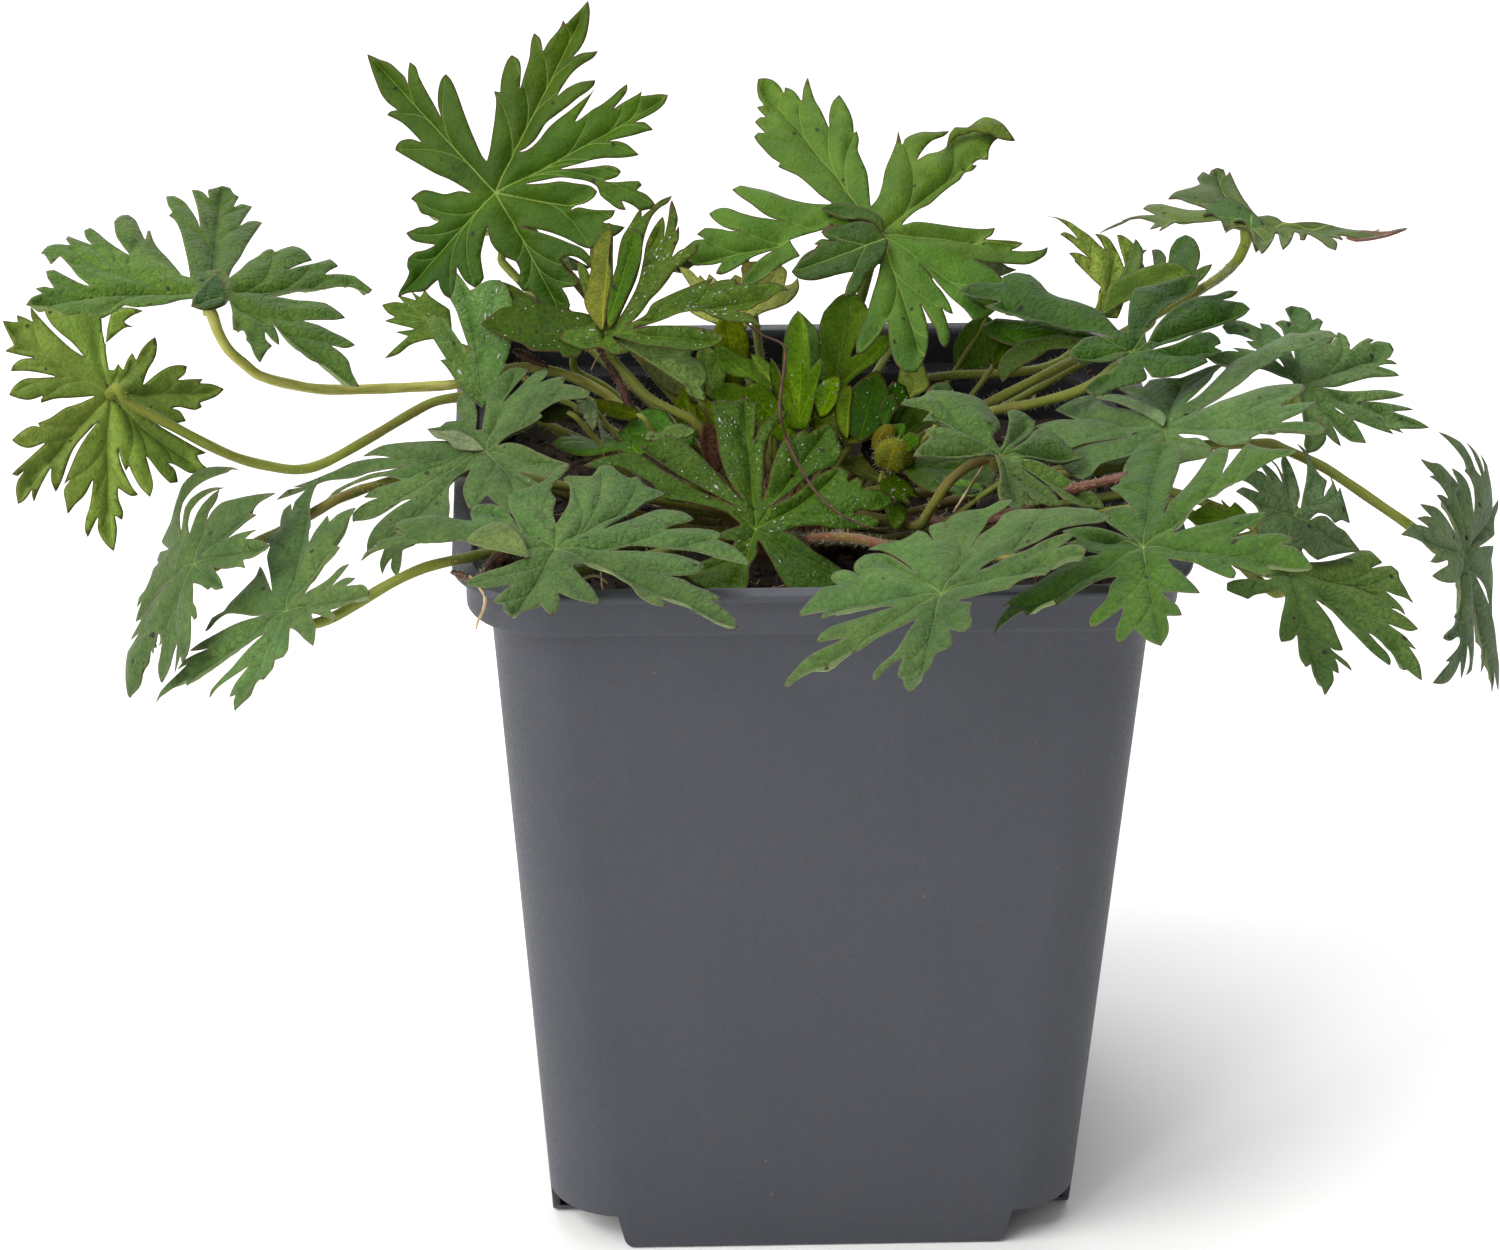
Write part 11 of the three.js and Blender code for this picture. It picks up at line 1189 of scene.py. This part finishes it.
def add_stalk(parts, blade, spec, hairs, seed, mat=0, warm=(0.1, 0.25, 0.7), pale=0.0):
    """The stalk's tube, a little thicker at both ends, with its down as fine spikes."""
    path = stalk_path(blade, spec)
    n = len(path)
    s = np.linspace(0, 1, n)
    r = spec["radius"] * (0.92 + 0.28 * np.exp(-s / 0.03) + 0.45 * ease((s - 0.86) / 0.14))
    V, F, run, turn, frames = tube(path, r, 10, seed=seed, wobble=0.035)
    L = run.max()
    w = np.interp(run / L, [0, 0.5, 1], warm)
    parts.add(V, F, mat, warm=w, wet=pale, leafpos=np.column_stack([run + seed * 11.0, turn, np.full(len(run), seed * 1.3)]), tint=(0.2, 0.3, 0.1), edge=5.0, vein=9.0, vein2=9.0)
    P, T, N, B, R, rn = frames
    rs = np.random.default_rng(900 + seed)
    count = int(hairs * L)
    if count:
        hv, hf, hw = [], [], []
        for i in range(count):
            t = rs.uniform(0.01, 0.97) * (n - 1)
            k = int(t); f = t - k
            k2 = min(k + 1, n - 1)
            c = P[k] * (1 - f) + P[k2] * f
            a = rs.uniform(0, 2 * math.pi)
            out = unit(N[k] * math.cos(a) + B[k] * math.sin(a))
            side = np.cross(T[k], out)
            ln = rs.uniform(0.35, 0.8)
            lean = rs.uniform(-0.5, 0.5)
            b = c + out * R[k] * 0.93
            tipp = b + out * ln + T[k] * lean * ln
            wd = 0.028
            j = len(hv)
            hv += [b + side * wd, b - side * wd, b + T[k] * wd * 1.4, tipp]
            hf += [(j, j + 1, j + 3), (j + 1, j + 2, j + 3), (j + 2, j, j + 3), (j + 2, j + 1, j)]
        parts.add(np.array(hv), hf, mat + 1, warm=0.2, leafpos=(seed, 0, 0), tint=(0.2, 0.3, 0.1))
    return frames


def hair_material():
    n = Nodes("down")
    pos = n.attr("leafpos", "Vector")
    base = n.mix(n.ramp(n.noise(pos, 1.0, 1, 0.5), 0.3, 0.7), (0.50, 0.52, 0.34), (0.62, 0.62, 0.45))
    return n.done(base, 0.5, None, Specular_IOR_Level=0.3)


HAIR = hair_material()

BLADES = {}
for spec in LEAVES:
    b = Blade(spec)
    b.prepare()
    BLADES[spec["key"]] = b

total = 0
for spec in LEAVES:
    b = BLADES[spec["key"]]
    verts, faces, at = b.mesh()
    stalk = STALKS[spec["name"]]
    big = spec["name"].startswith("leaf_")
    warm = spec["look"].get("warm", (0.05, 0.2, 0.75))
    hairs = spec["look"].get("hairs", 7.0)
    if big:
        blade = new_object("blade_" + spec["name"][5:], verts, faces, [MAT[spec["look"]["mat"]]], at)
        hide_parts(spec["name"]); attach(blade, "root")
        extra = [x for x in LEAFLETS if x["carrier"] == spec["key"]]
        if extra:
            whole = Parts(LEAF_KEYS)
            whole.add(verts, faces, 0, **at)
            for x in extra:
                xb = Blade(x)
                xb.prepare(0.32, 0.45)
                BLADES[x["key"]] = xb
                xv, xf, xa = xb.mesh()
                whole.add(xv, xf, 1, **xa)
            me_old = blade.data
            name = blade.name
            bpy.data.objects.remove(blade)
            bpy.data.meshes.remove(me_old)
            blade = whole.build(name, [MAT[spec["look"]["mat"]], MAT[extra[0]["look"]["mat"]]])
            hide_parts(spec["name"]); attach(blade, "root")
        parts = Parts(LEAF_KEYS)
        add_stalk(parts, b, stalk, hairs, spec["seed"], 0, warm, spec["look"].get("pale", 0.0))
        st = parts.build("stalk_" + spec["name"][5:], [STALK_MAT, HAIR])
        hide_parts(spec["name"].replace("leaf_", "petiole_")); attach(st, "root")
        total += len(faces) + sum(len(f) - 2 for f in parts.f)
    else:
        parts = Parts(LEAF_KEYS)
        parts.add(verts, faces, 0, **at)
        add_stalk(parts, b, stalk, hairs * 0.8, spec["seed"], 1, warm, spec["look"].get("pale", 0.0))
        extra = [x for x in LEAFLETS if x["carrier"] == spec["key"]]
        for x in extra:
            xb = Blade(x)
            xb.prepare(0.3, 0.42)
            BLADES[x["key"]] = xb
            xv, xf, xa = xb.mesh()
            parts.add(xv, xf, 3, **xa)
        ob = parts.build("small_" + spec["name"], [MAT[spec["look"]["mat"]], STALK_MAT, HAIR] + [MAT[x["look"]["mat"]] for x in extra[:1]])
        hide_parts(spec["name"]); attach(ob, "root")
        total += len(faces)
print("foliage faces", total)

for x in LEAFLETS:
    if x["carrier"]:
        continue
    b = Blade(x)
    b.prepare(0.3, 0.42)
    BLADES[x["key"]] = b
    parts = Parts(LEAF_KEYS)
    verts, faces, at = b.mesh()
    parts.add(verts, faces, 0, **at)
    add_stalk(parts, b, {"radius": x["radius"], "path": x["path"]}, 4.0, x["seed"], 1, (0.15, 0.3, 0.7))
    ob = parts.build(x["name"], [MAT[x["look"]["mat"]], STALK_MAT, HAIR])
    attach(ob, "root")


# ------------------------------------------------------------------ dead stems, straws and rootlets
def build_bits():
    look = {"root": ROOT, "straw": STRAW, "hairy": HAIRY, "reddish": REDDISH}
    for k, (name, kind, radii, pts) in enumerate(BITS):
        P = np.array(pts, float)
        path, _ = spline(P, [False] * len(P), 0.35, closed=False)
        rr = np.interp(np.linspace(0, 1, len(path)), np.linspace(0, 1, len(radii)), radii)
        rr = rr * (1 + 0.08 * np.sin(np.arange(len(path)) * 1.7 + k))
        V, F, run, turn, fr = tube(path, rr, 8, seed=k, wobble=0.08)
        parts = Parts(("leafpos",))
        parts.add(V, F, 0, leafpos=np.column_stack([run + k * 5, turn, run * 0]))
        if kind in ("hairy", "reddish"):
            P0, T, N, B, R, rn = fr
            rs = np.random.default_rng(300 + k)
            hv, hf = [], []
            for i in range(int(12 * rn[-1])):
                j = int(rs.integers(0, len(P0)))
                a = rs.uniform(0, 2 * math.pi)
                out = unit(N[j] * math.cos(a) + B[j] * math.sin(a))
                side = np.cross(T[j], out)
                b0 = P0[j] + out * R[j] * 0.9
                tp = b0 + out * rs.uniform(0.25, 0.6) + T[j] * rs.uniform(-0.3, 0.3)
                q = len(hv)
                hv += [b0 + side * 0.03, b0 - side * 0.03, b0 + T[j] * 0.04, tp]
                hf += [(q, q + 1, q + 3), (q + 1, q + 2, q + 3), (q + 2, q, q + 3), (q + 2, q + 1, q)]
            parts.add(np.array(hv), hf, 1, leafpos=(k, 0, 0))
        ob = parts.build("bit_" + name, [look[kind], HAIR])
        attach(ob, "root")


build_bits()


# ------------------------------------------------------------------ flower bud
def build_bud():
    centre = np.array([10.05, -10.8, 100.9])
    parts = Parts(LEAF_KEYS)
    ico = bmesh.new()
    bmesh.ops.create_icosphere(ico, subdivisions=4, radius=1.0)
    V = np.array([tuple(v.co) for v in ico.verts]); F = [tuple(v.index for v in f.verts) for f in ico.faces]
    ico.free()
    a = np.arctan2(V[:, 1], V[:, 0])
    rib = 1 + 0.09 * np.cos(a * 5) * np.sqrt(np.maximum(0, 1 - V[:, 2] ** 2))
    taper = 1 - 0.18 * V[:, 2]
    P = np.column_stack([V[:, 0] * 2.6 * rib * taper, V[:, 1] * 2.2 * rib * taper, V[:, 2] * 2.2])
    lean = np.array([0.1, -0.35, 1.0]); lean /= np.linalg.norm(lean)
    sx = unit(np.cross([0, 1, 0], lean)); sy = np.cross(lean, sx)
    W = centre + P[:, :1] * sx + P[:, 1:2] * sy + P[:, 2:3] * lean
    parts.add(W, F, 0, leafpos=P * 3 + 40, tint=(0.085, 0.095, 0.006), edge=5.0, vein=np.clip(np.abs(((a * 5 / (2 * math.pi)) % 1) - 0.5) * 12, 0, 9), vein2=9.0)
    # the next sepal stands behind and above it
    Q = np.column_stack([V[:, 0] * 1.45 * rib, V[:, 1] * 1.1 * rib, V[:, 2] * 1.9 * (1 - 0.2 * V[:, 0])])
    Q = centre + np.array([-1.15, 1.3, 1.7]) + Q[:, :1] * sx + Q[:, 1:2] * sy + Q[:, 2:3] * unit(lean + np.array([0.35, 0.2, 0.0]))
    parts.add(Q, F, 0, leafpos=Q * 3 + 90, tint=(0.070, 0.066, 0.006), edge=5.0, vein=np.clip(np.abs(((a * 4 / (2 * math.pi)) % 1) - 0.5) * 12, 0, 9), vein2=9.0)
    rs = np.random.default_rng(8)
    hv, hf = [], []
    for i in range(220):
        j = int(rs.integers(0, len(W)))
        out = unit(W[j] - centre)
        side = unit(np.cross(out, [0.3, 0.2, 1]))
        q = len(hv)
        ln = rs.uniform(0.3, 0.7)
        hv += [W[j] + side * 0.025, W[j] - side * 0.025, W[j] + np.cross(out, side) * 0.03, W[j] + out * ln]
        hf += [(q, q + 1, q + 3), (q + 1, q + 2, q + 3), (q + 2, q, q + 3), (q + 2, q + 1, q)]
    parts.add(np.array(hv), hf, 2, leafpos=(8, 0, 0))
    foot = centre - lean * 2.3
    stalk = spline(np.array([foot + lean * 0.3, foot - lean * 1.5, (6.5, -7.5, 92.5), (2.5, -4.5, 89.3)]), [False] * 4, 0.6, closed=False)[0]
    V2, F2, run, turn, _ = tube(stalk, 0.62, 10)
    parts.add(V2, F2, 1, leafpos=np.column_stack([run, turn, run * 0]), warm=0.3)
    ob = parts.build("flower_bud", [MAT["young"], STALK_MAT, HAIR])
    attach(ob, "root")


build_bud()


# ------------------------------------------------------------------ water drops on the inner leaves
def build_drops():
    parts = Parts(("leafpos",))
    bm = bmesh.new()
    bmesh.ops.create_icosphere(bm, subdivisions=2, radius=1.0)
    V = np.array([tuple(v.co) for v in bm.verts]); F = [tuple(v.index for v in f.verts) for f in bm.faces]
    bm.free()
    for key, count in DROPS.items():
        b = BLADES[key]
        rs = np.random.default_rng(500 + b.seed)
        ok = np.where((b.edge > 0.35) & (b.d1 > 0.25))[0]
        h = b.height()
        clump = b.V[rs.choice(ok, 5)]
        for i in range(count):
            if rs.uniform() < 0.55:
                c = clump[int(rs.integers(0, 5))] + rs.normal(0, 1.3, 2)
                k = ok[int(((b.V[ok] - c) ** 2).sum(1).argmin())]
            else:
                k = int(rs.choice(ok))
            r = rs.uniform(0.05, 0.12) * (1.8 if rs.uniform() < 0.10 else 1.0)
            top = b.at + b.V[k][0] * b.u + b.V[k][1] * b.w + (h[k] + 0.13) * b.n
            P = V * r
            # some drops have run a little way out from the stalk
            d = unit(b.V[k] - b.foot + 1e-6)
            out, across = d[0] * b.u + d[1] * b.w, d[0] * b.w - d[1] * b.u
            run = 2.6 if rs.uniform() < 0.28 else rs.uniform(0.8, 1.3)
            W = top + P[:, :1] * out * run + P[:, 1:2] * across * rs.uniform(0.7, 1.1) + P[:, 2:3] * b.n * 0.55
            parts.add(W, F, 0, leafpos=W)
    ob = parts.build("water_drops", [WATER])
    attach(ob, "root")


DROPS = {"E50": 22, "L12": 115, "L14": 180, "E42": 5, "E45": 2, "E43": 8, "L9": 36, "L29": 16, "L11": 16, "L10": 22, "Y1": 10, "Y2": 14, "Y3": 18, "M1": 10, "L8": 10, "L28": 10, "E11": 12, "E16b": 8, "E21": 14, "E22": 8, "E7": 8}
build_drops()


# ------------------------------------------------------------------ pot
def wall_half(z):
    return 33.64 + 0.0753 * z


def square_ring(half, corner, z, k=12):
    pts = []
    for sx, sy, a0 in ((1, 1, 0), (-1, 1, 90), (-1, -1, 180), (1, -1, 270)):
        for i in range(k + 1):
            a = math.radians(a0 + 90 * i / k)
            pts.append((sx * (half - corner) + corner * math.cos(a), sy * (half - corner) + corner * math.sin(a), z))
    return pts


def loft_object(name, rings):
    n = len(rings[0])
    verts = [p for r in rings for p in r]
    faces = [tuple(reversed(range(n)))]
    for i in range(len(rings) - 1):
        for j in range(n):
            a, b = i * n + j, i * n + (j + 1) % n
            faces.append((a, b, b + n, a + n))
    faces.append(tuple(range((len(rings) - 1) * n, len(rings) * n)))
    me = bpy.data.meshes.new(name)
    me.from_pydata([tuple(c * MM for c in v) for v in verts], [], faces)
    ob = bpy.data.objects.new(name, me)
    bpy.context.scene.collection.objects.link(ob)
    return ob


def cut(ob, other, op="DIFFERENCE"):
    m = ob.modifiers.new("cut", "BOOLEAN")
    m.operation, m.object, m.solver = op, other, "EXACT"
    dg = bpy.context.evaluated_depsgraph_get()
    me = bpy.data.meshes.new_from_object(ob.evaluated_get(dg))
    ob.modifiers.clear()
    old = ob.data
    ob.data = me
    bpy.data.meshes.remove(old)
    bpy.data.objects.remove(other)


def corner_block(sx, sy, z0, z1, name):
    """A block outside |x|, |y| = the foot's half width, its sides sloping as the foot's do."""
    lo, hi = FOOT_LO, FOOT_HI
    rings = []
    for z, back in ((z0 - 1.0, 1.5), (z0, 1.3), (z0 + 0.12, 0.82), (z0 + 0.35, 0.45), (z0 + 0.75, 0.15), (z0 + 1.3, 0.0), (z1, 0.0)):
        t = (z - 0.0) / 5.0
        a = lo + (hi - lo) * t - (back if name == "b" and z1 < 5.5 else 0.0)
        rings.append([(sx * a, sy * a, z), (sx * 60, sy * a, z), (sx * 60, sy * 60, z), (sx * a, sy * 60, z)])
    if sx * sy < 0:
        rings = [r[::-1] for r in rings]
    return loft_object(name, rings)


def build_pot():
    C, W, H = 43.3, 45.0, 97.0
    outer = [square_ring(wall_half(0) - 0.5, 9.26, 0), square_ring(wall_half(0.25) - 0.12, 9.6, 0.22), square_ring(wall_half(0.7), 9.76, 0.7)]
    for z in (8, 16, 26, 36, 46, 56, 66, 76, 84, 90.9):
        outer.append(square_ring(wall_half(z), 9.76, z))
    outer += [square_ring(C - 0.55, 10.4, 90.9), square_ring(C - 0.22, 10.6, 91.0), square_ring(C - 0.04, 10.8, 91.25), square_ring(C, 10.8, 91.7),
              square_ring(C, 10.8, H - 1.5), square_ring(C + 0.08, 10.8, H - 1.15), square_ring(C + 0.35, 10.9, H - 1.0), square_ring(W - 0.2, 11.6, H - 1.0),
              square_ring(W - 0.04, 11.66, H - 0.92), square_ring(W, 11.66, H - 0.72), square_ring(W, 11.66, H - 0.4), square_ring(W - 0.08, 11.6, H - 0.16), square_ring(W - 0.3, 11.46, H)]
    t = 1.0
    inner = [square_ring(wall_half(1.2) - t, 8.76, 1.2), square_ring(wall_half(90.9) - t, 8.76, 90.9), square_ring(wall_half(90.9) - t + 0.3, 9, 91.8),
             square_ring(41.9, 9.7, 91.9), square_ring(42.15, 9.8, 92.0), square_ring(42.3, 9.9, 92.4), square_ring(42.3, 9.9, 96.1), square_ring(42.4, 10.0, 96.7), square_ring(42.65, 10.2, 97), square_ring(42.65, 10.2, 99)]
    shell, hollow = loft_object("pot_body", outer), loft_object("hollow", inner)
    for sx in (1, -1):
        for sy in (1, -1):
            cut(shell, corner_block(sx, sy, 0, 5.0, "b"))
            cut(hollow, corner_block(sx, sy, 0, 6.2, "b"))
    cut(shell, hollow)
    for sx in (1, -1):
        for sy in (1, -1):
            drill = loft_object("drill", [[(sx * 27.6 + 3.4 * math.cos(a), sy * 27.6 + 3.4 * math.sin(a), z) for a in np.linspace(0, 2 * math.pi, 28, endpoint=False)] for z in (1.0, 9.0)])
            cut(shell, drill)
    bev = shell.modifiers.new("edges", "BEVEL")
    bev.width, bev.segments, bev.limit_method, bev.angle_limit = 0.0007, 3, "ANGLE", math.radians(38)
    bev.use_clamp_overlap = True
    dg = bpy.context.evaluated_depsgraph_get()
    me = bpy.data.meshes.new_from_object(shell.evaluated_get(dg))
    shell.modifiers.clear()
    shell.data = me
    me.polygons.foreach_set("use_smooth", np.ones(len(me.polygons), bool))
    me.set_sharp_from_angle(angle=math.radians(40))
    co = np.empty(len(me.vertices) * 3, np.float32)
    me.vertices.foreach_get("co", co)
    co = co.reshape(-1, 3).astype(float) / MM
    x, y, z = np.abs(co[:, 0]), np.abs(co[:, 1]), co[:, 2]

    def inset(half, corner):
        dx, dy = x - (half - corner), y - (half - corner)
        return corner - (np.hypot(np.maximum(dx, 0), np.maximum(dy, 0)) + np.minimum(np.maximum(dx, dy), 0))

    # the inside attribute marks the inner wall, which the pot material darkens as painted shade
    depth = np.where(z < 90.95, inset(33.64 + 0.0753 * z, 9.76), inset(43.3, 10.8))
    ins = ease((depth - 0.45) / 0.4) * ease((96.9 - z) / 1.2) * (z > 1.19)
    a = me.attributes.new("inside", "FLOAT", "POINT")
    a.data.foreach_set("value", ins.astype(np.float32))
    me.materials.clear()
    me.materials.append(POT_MAT)
    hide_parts("pot"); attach(shell, "root")
    print("pot faces", len(me.polygons))
    return shell


FOOT_LO, FOOT_HI = 24.2, 25.4
build_pot()


# ------------------------------------------------------------------ compost
def soil_height(x, y):
    near = np.clip((np.hypot((x + 3) / 1.3, y + 2) - 8) / 6, 0, 1)
    bump = 0.55 * np.sin(0.31 * x + 1.1) * np.cos(0.27 * y - 0.4) + 0.4 * np.sin(0.62 * x - 0.55 * y) + 0.25 * np.cos(0.93 * y + 0.4 * x)
    return 85.2 + near * bump


def rough_ground(x, y):
    return soil_height(x, y) + 0.55 * fbm(x * 0.9, y * 0.9, 31) + 0.35 * fbm(x * 2.4, y * 2.4, 32)


def build_soil():
    half = wall_half(84.0) - 1.3
    g = np.arange(-half, half + 0.01, 0.75)
    X, Y = np.meshgrid(g, g)
    corner = 8.46
    dx, dy = np.maximum(np.abs(X) - (half - corner), 0), np.maximum(np.abs(Y) - (half - corner), 0)
    d = np.hypot(dx, dy)
    k = np.where(d > corner, corner / np.maximum(d, 1e-9), 1.0)
    X2 = np.where(d > corner, np.sign(X) * ((half - corner) + dx * k), X)
    Y2 = np.where(d > corner, np.sign(Y) * ((half - corner) + dy * k), Y)
    Z = rough_ground(X2, Y2)
    n = len(g)
    rim = [i for i in range(n)] + [j * n + n - 1 for j in range(1, n)] + [(n - 1) * n + i for i in range(n - 2, -1, -1)] + [j * n for j in range(n - 2, 0, -1)]
    V = np.column_stack([X2.ravel(), Y2.ravel(), Z.ravel()])
    F = [(j * n + i, j * n + i + 1, (j + 1) * n + i + 1, (j + 1) * n + i) for j in range(n - 1) for i in range(n - 1)]
    low = V[rim].copy()
    scale = (wall_half(6.8) - 1.3) / half
    low[:, 0] *= scale; low[:, 1] *= scale; low[:, 2] = 6.8
    b0 = len(V)
    V = np.vstack([V, low, [[0, 0, 6.8]]])
    m = len(rim)
    for i in range(m):
        a, b = rim[i], rim[(i + 1) % m]
        F.append((b, a, b0 + i, b0 + (i + 1) % m))
        F.append((b0 + (i + 1) % m, b0 + i, b0 + m))
    parts = Parts(("leafpos",))
    parts.add(V, F, 0, leafpos=V * 1.0)
    rs = np.random.default_rng(77)
    ico = bmesh.new()
    bmesh.ops.create_icosphere(ico, subdivisions=1, radius=1.0)
    iv = np.array([tuple(v.co) for v in ico.verts]); iff = [tuple(v.index for v in f.verts) for f in ico.faces]
    ico.free()
    for i in range(1500):
        x, y = rs.uniform(-half + 0.8, half - 0.8, 2)
        if math.hypot(max(abs(x) - (half - corner), 0), max(abs(y) - (half - corner), 0)) > corner - 0.8:
            continue
        s = rs.uniform(0.22, 0.75) * (1.6 if rs.uniform() < 0.07 else 1.0)
        z = float(rough_ground(np.array([x]), np.array([y]))[0])
        v = iv * (1 + rs.uniform(-0.3, 0.3, (len(iv), 1))) * s * np.array([1, rs.uniform(0.6, 1), rs.uniform(0.45, 0.8)])
        a = rs.uniform(0, 6.28)
        c, sn = math.cos(a), math.sin(a)
        v = np.column_stack([v[:, 0] * c - v[:, 1] * sn, v[:, 0] * sn + v[:, 1] * c, v[:, 2]])
        parts.add(v + (x, y, z + s * 0.15), iff, 0, leafpos=v + (x, y, z))
    for i in range(230):
        x, y = rs.uniform(-half + 2.5, half - 2.5, 2)
        if math.hypot(max(abs(x) - (half - corner), 0), max(abs(y) - (half - corner), 0)) > corner - 2.5:
            continue
        a = rs.uniform(0, 6.28)
        ln = rs.uniform(1.5, 6.0)
        pts = []
        for t in np.linspace(-0.5, 0.5, 7):
            px, py = x + math.cos(a) * ln * t, y + math.sin(a) * ln * t
            a += rs.uniform(-0.25, 0.25)
            px, py = np.clip(px, -half + 1, half - 1), np.clip(py, -half + 1, half - 1)
            pts.append((px, py, float(rough_ground(np.array([px]), np.array([py]))[0]) + 0.28 + 0.5 * (0.25 - t * t) * rs.uniform(-0.5, 1.5)))
        V2, F2, run, turn, _ = tube(pts, rs.uniform(0.05, 0.16), 5)
        parts.add(V2, F2, 1 if rs.uniform() < 0.45 else 2, leafpos=np.column_stack([run + i, turn, run * 0]))
    ob = parts.build("compost", [SOIL_MAT, STRAW, ROOT])
    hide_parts("soil"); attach(ob, "root")


build_soil()


# ------------------------------------------------------------------ crown
def build_crown():
    parts = Parts(("leafpos",))
    ico = bmesh.new()
    bmesh.ops.create_icosphere(ico, subdivisions=4, radius=1.0)
    V = np.array([tuple(v.co) for v in ico.verts]); F = [tuple(v.index for v in f.verts) for f in ico.faces]
    ico.free()
    r = 1 + 0.10 * fbm(V[:, 0] * 3, V[:, 1] * 3 + V[:, 2] * 2, 5) + 0.05 * fbm(V[:, 0] * 9, V[:, 2] * 9, 6)
    P = V * r[:, None] * np.array([8.0, 6.2, 4.2])
    P[:, 2] = np.maximum(P[:, 2], -2.2)
    P = P + (-3, -2, 86.6)
    parts.add(P, F, 0, leafpos=P)
    rs = np.random.default_rng(15)
    for i in range(34):
        a = rs.uniform(0, 2 * math.pi)
        rad = rs.uniform(0.25, 0.95)
        c = np.array([-3 + 8.0 * rad * math.cos(a), -2 + 6.2 * rad * math.sin(a), 86.6 + 4.2 * math.sqrt(max(0, 1 - rad * rad)) - 0.3])
        out = unit(np.array([math.cos(a), math.sin(a), rs.uniform(0.5, 1.6)]))
        side = unit(np.cross(out, [0, 0, 1.0]))
        ln, wd = rs.uniform(2.2, 4.2), rs.uniform(0.7, 1.3)
        v, f, m = [], [], 7
        nrm = np.cross(side, out)
        for t in np.linspace(0, 1, m):
            w = wd * (1 - t) ** 0.7 * (0.75 + 0.5 * math.sin(t * 3))
            p = c + out * ln * t + nrm * (0.5 * t * t)
            for k, s in ((0, -1), (1, 0), (2, 1)):
                v.append(p + side * w * s + nrm * (0.25 * abs(s)))
            for s in (1, 0, -1):
                v.append(p + side * w * s + nrm * (0.25 * abs(s) - 0.1))
        for j in range(m - 1):
            for k in range(6):
                a0, b0 = j * 6 + k, j * 6 + (k + 1) % 6
                f.append((a0, b0, b0 + 6, a0 + 6))
        f.append(tuple(range(6))[::-1]); f.append(tuple(range((m - 1) * 6, m * 6)))
        parts.add(np.array(v), f, 1, leafpos=np.array(v) + i)
    ob = parts.build("rootstock", [CROWN_MAT, SCALE_MAT])
    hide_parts("crown"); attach(ob, "root")


CROWN_MAT = fibre_material("rootstock", (0.045, 0.024, 0.014), (0.16, 0.085, 0.045), 0.8)
SCALE_MAT = fibre_material("stipule", (0.11, 0.045, 0.028), (0.30, 0.17, 0.085), 0.7)
build_crown()


# ------------------------------------------------------------------ stage, light, camera
def build_stage():
    me = bpy.data.meshes.new("floor")
    s = 1.38
    me.from_pydata([(-s, -s, 0), (s, -s, 0), (s, s, 0), (-s, s, 0)], [], [(0, 1, 2, 3)])
    ob = bpy.data.objects.new("floor", me)
    bpy.context.scene.collection.objects.link(ob)
    n = Nodes("pale_floor")
    n.done((0.93, 0.93, 0.93), 0.9, None, Specular_IOR_Level=0.0)
    me.materials.append(n.mat)


def area_light(name, at, target, size, power, colour=(1, 1, 1), size_y=None):
    d = bpy.data.lights.new(name, "AREA")
    d.shape, d.size, d.size_y = "RECTANGLE", size, size_y or size
    d.energy, d.color = power, colour
    o = bpy.data.objects.new(name, d)
    o.location = at
    o.rotation_mode = "QUATERNION"
    o.rotation_quaternion = (Vector(target) - Vector(at)).to_track_quat("-Z", "Y")
    bpy.context.scene.collection.objects.link(o)


def build_light():
    w = bpy.data.worlds.new("studio")
    w.use_nodes = True
    t = w.node_tree
    bg = t.nodes["Background"]
    # a white tent, brighter on the left than on the right
    tc = t.nodes.new("ShaderNodeTexCoord")
    sep = t.nodes.new("ShaderNodeSeparateXYZ")
    mr = t.nodes.new("ShaderNodeMapRange")
    mr.inputs[1].default_value, mr.inputs[2].default_value = -1.0, 1.0
    mr.inputs[3].default_value, mr.inputs[4].default_value = 1.0, 0.12
    t.links.new(tc.outputs["Generated"], sep.inputs[0])
    t.links.new(sep.outputs[0], mr.inputs[0])
    t.links.new(mr.outputs[0], bg.inputs[1])
    bg.inputs[0].default_value = (1, 1, 1, 1)
    bpy.context.scene.world = w
    area_light("key", (-0.95, -0.45, 0.85), (0, 0, 0.09), 0.85, 14.0, (1.0, 0.99, 0.97))
    area_light("spark", (-0.45, -0.80, 0.95), (0, 0, 0.09), 0.17, 2.2, (1.0, 1.0, 0.98))
    area_light("top", (0.05, 0.10, 1.05), (0, 0, 0.09), 0.7, 6.0)
    area_light("front", (-0.55, -1.4, 0.40), (0, 0, 0.08), 0.9, 2.5, (0.98, 0.99, 1.0))
    area_light("behind", (0.0, 1.4, 0.5), (0, 0.4, 0.0), 1.6, 10.0)


def build_camera():
    R = Vector((0.99915285, -0.04078595, 0.00548555))
    U = Vector((0.01186367, 0.41310315, 0.91060696))
    FW = Vector((0.03940607, 0.90977046, -0.41323706))
    cam = bpy.data.cameras.new("camera")
    cam.sensor_fit, cam.sensor_width = "HORIZONTAL", 36.0
    cam.lens = 36.0 * 5081.67 / 1500.0
    cam.clip_start, cam.clip_end = 0.02, 50.0
    ob = bpy.data.objects.new("camera", cam)
    m = Matrix(((R.x, U.x, -FW.x, -0.033254), (R.y, U.y, -FW.y, -0.596360), (R.z, U.z, -FW.z, 0.343634), (0, 0, 0, 1)))
    ob.matrix_world = m
    bpy.context.scene.collection.objects.link(ob)
    bpy.context.scene.camera = ob


build_stage()
build_light()
build_camera()
bpy.context.scene.view_settings.view_transform = "Standard"
bpy.context.scene.view_settings.look = "None"
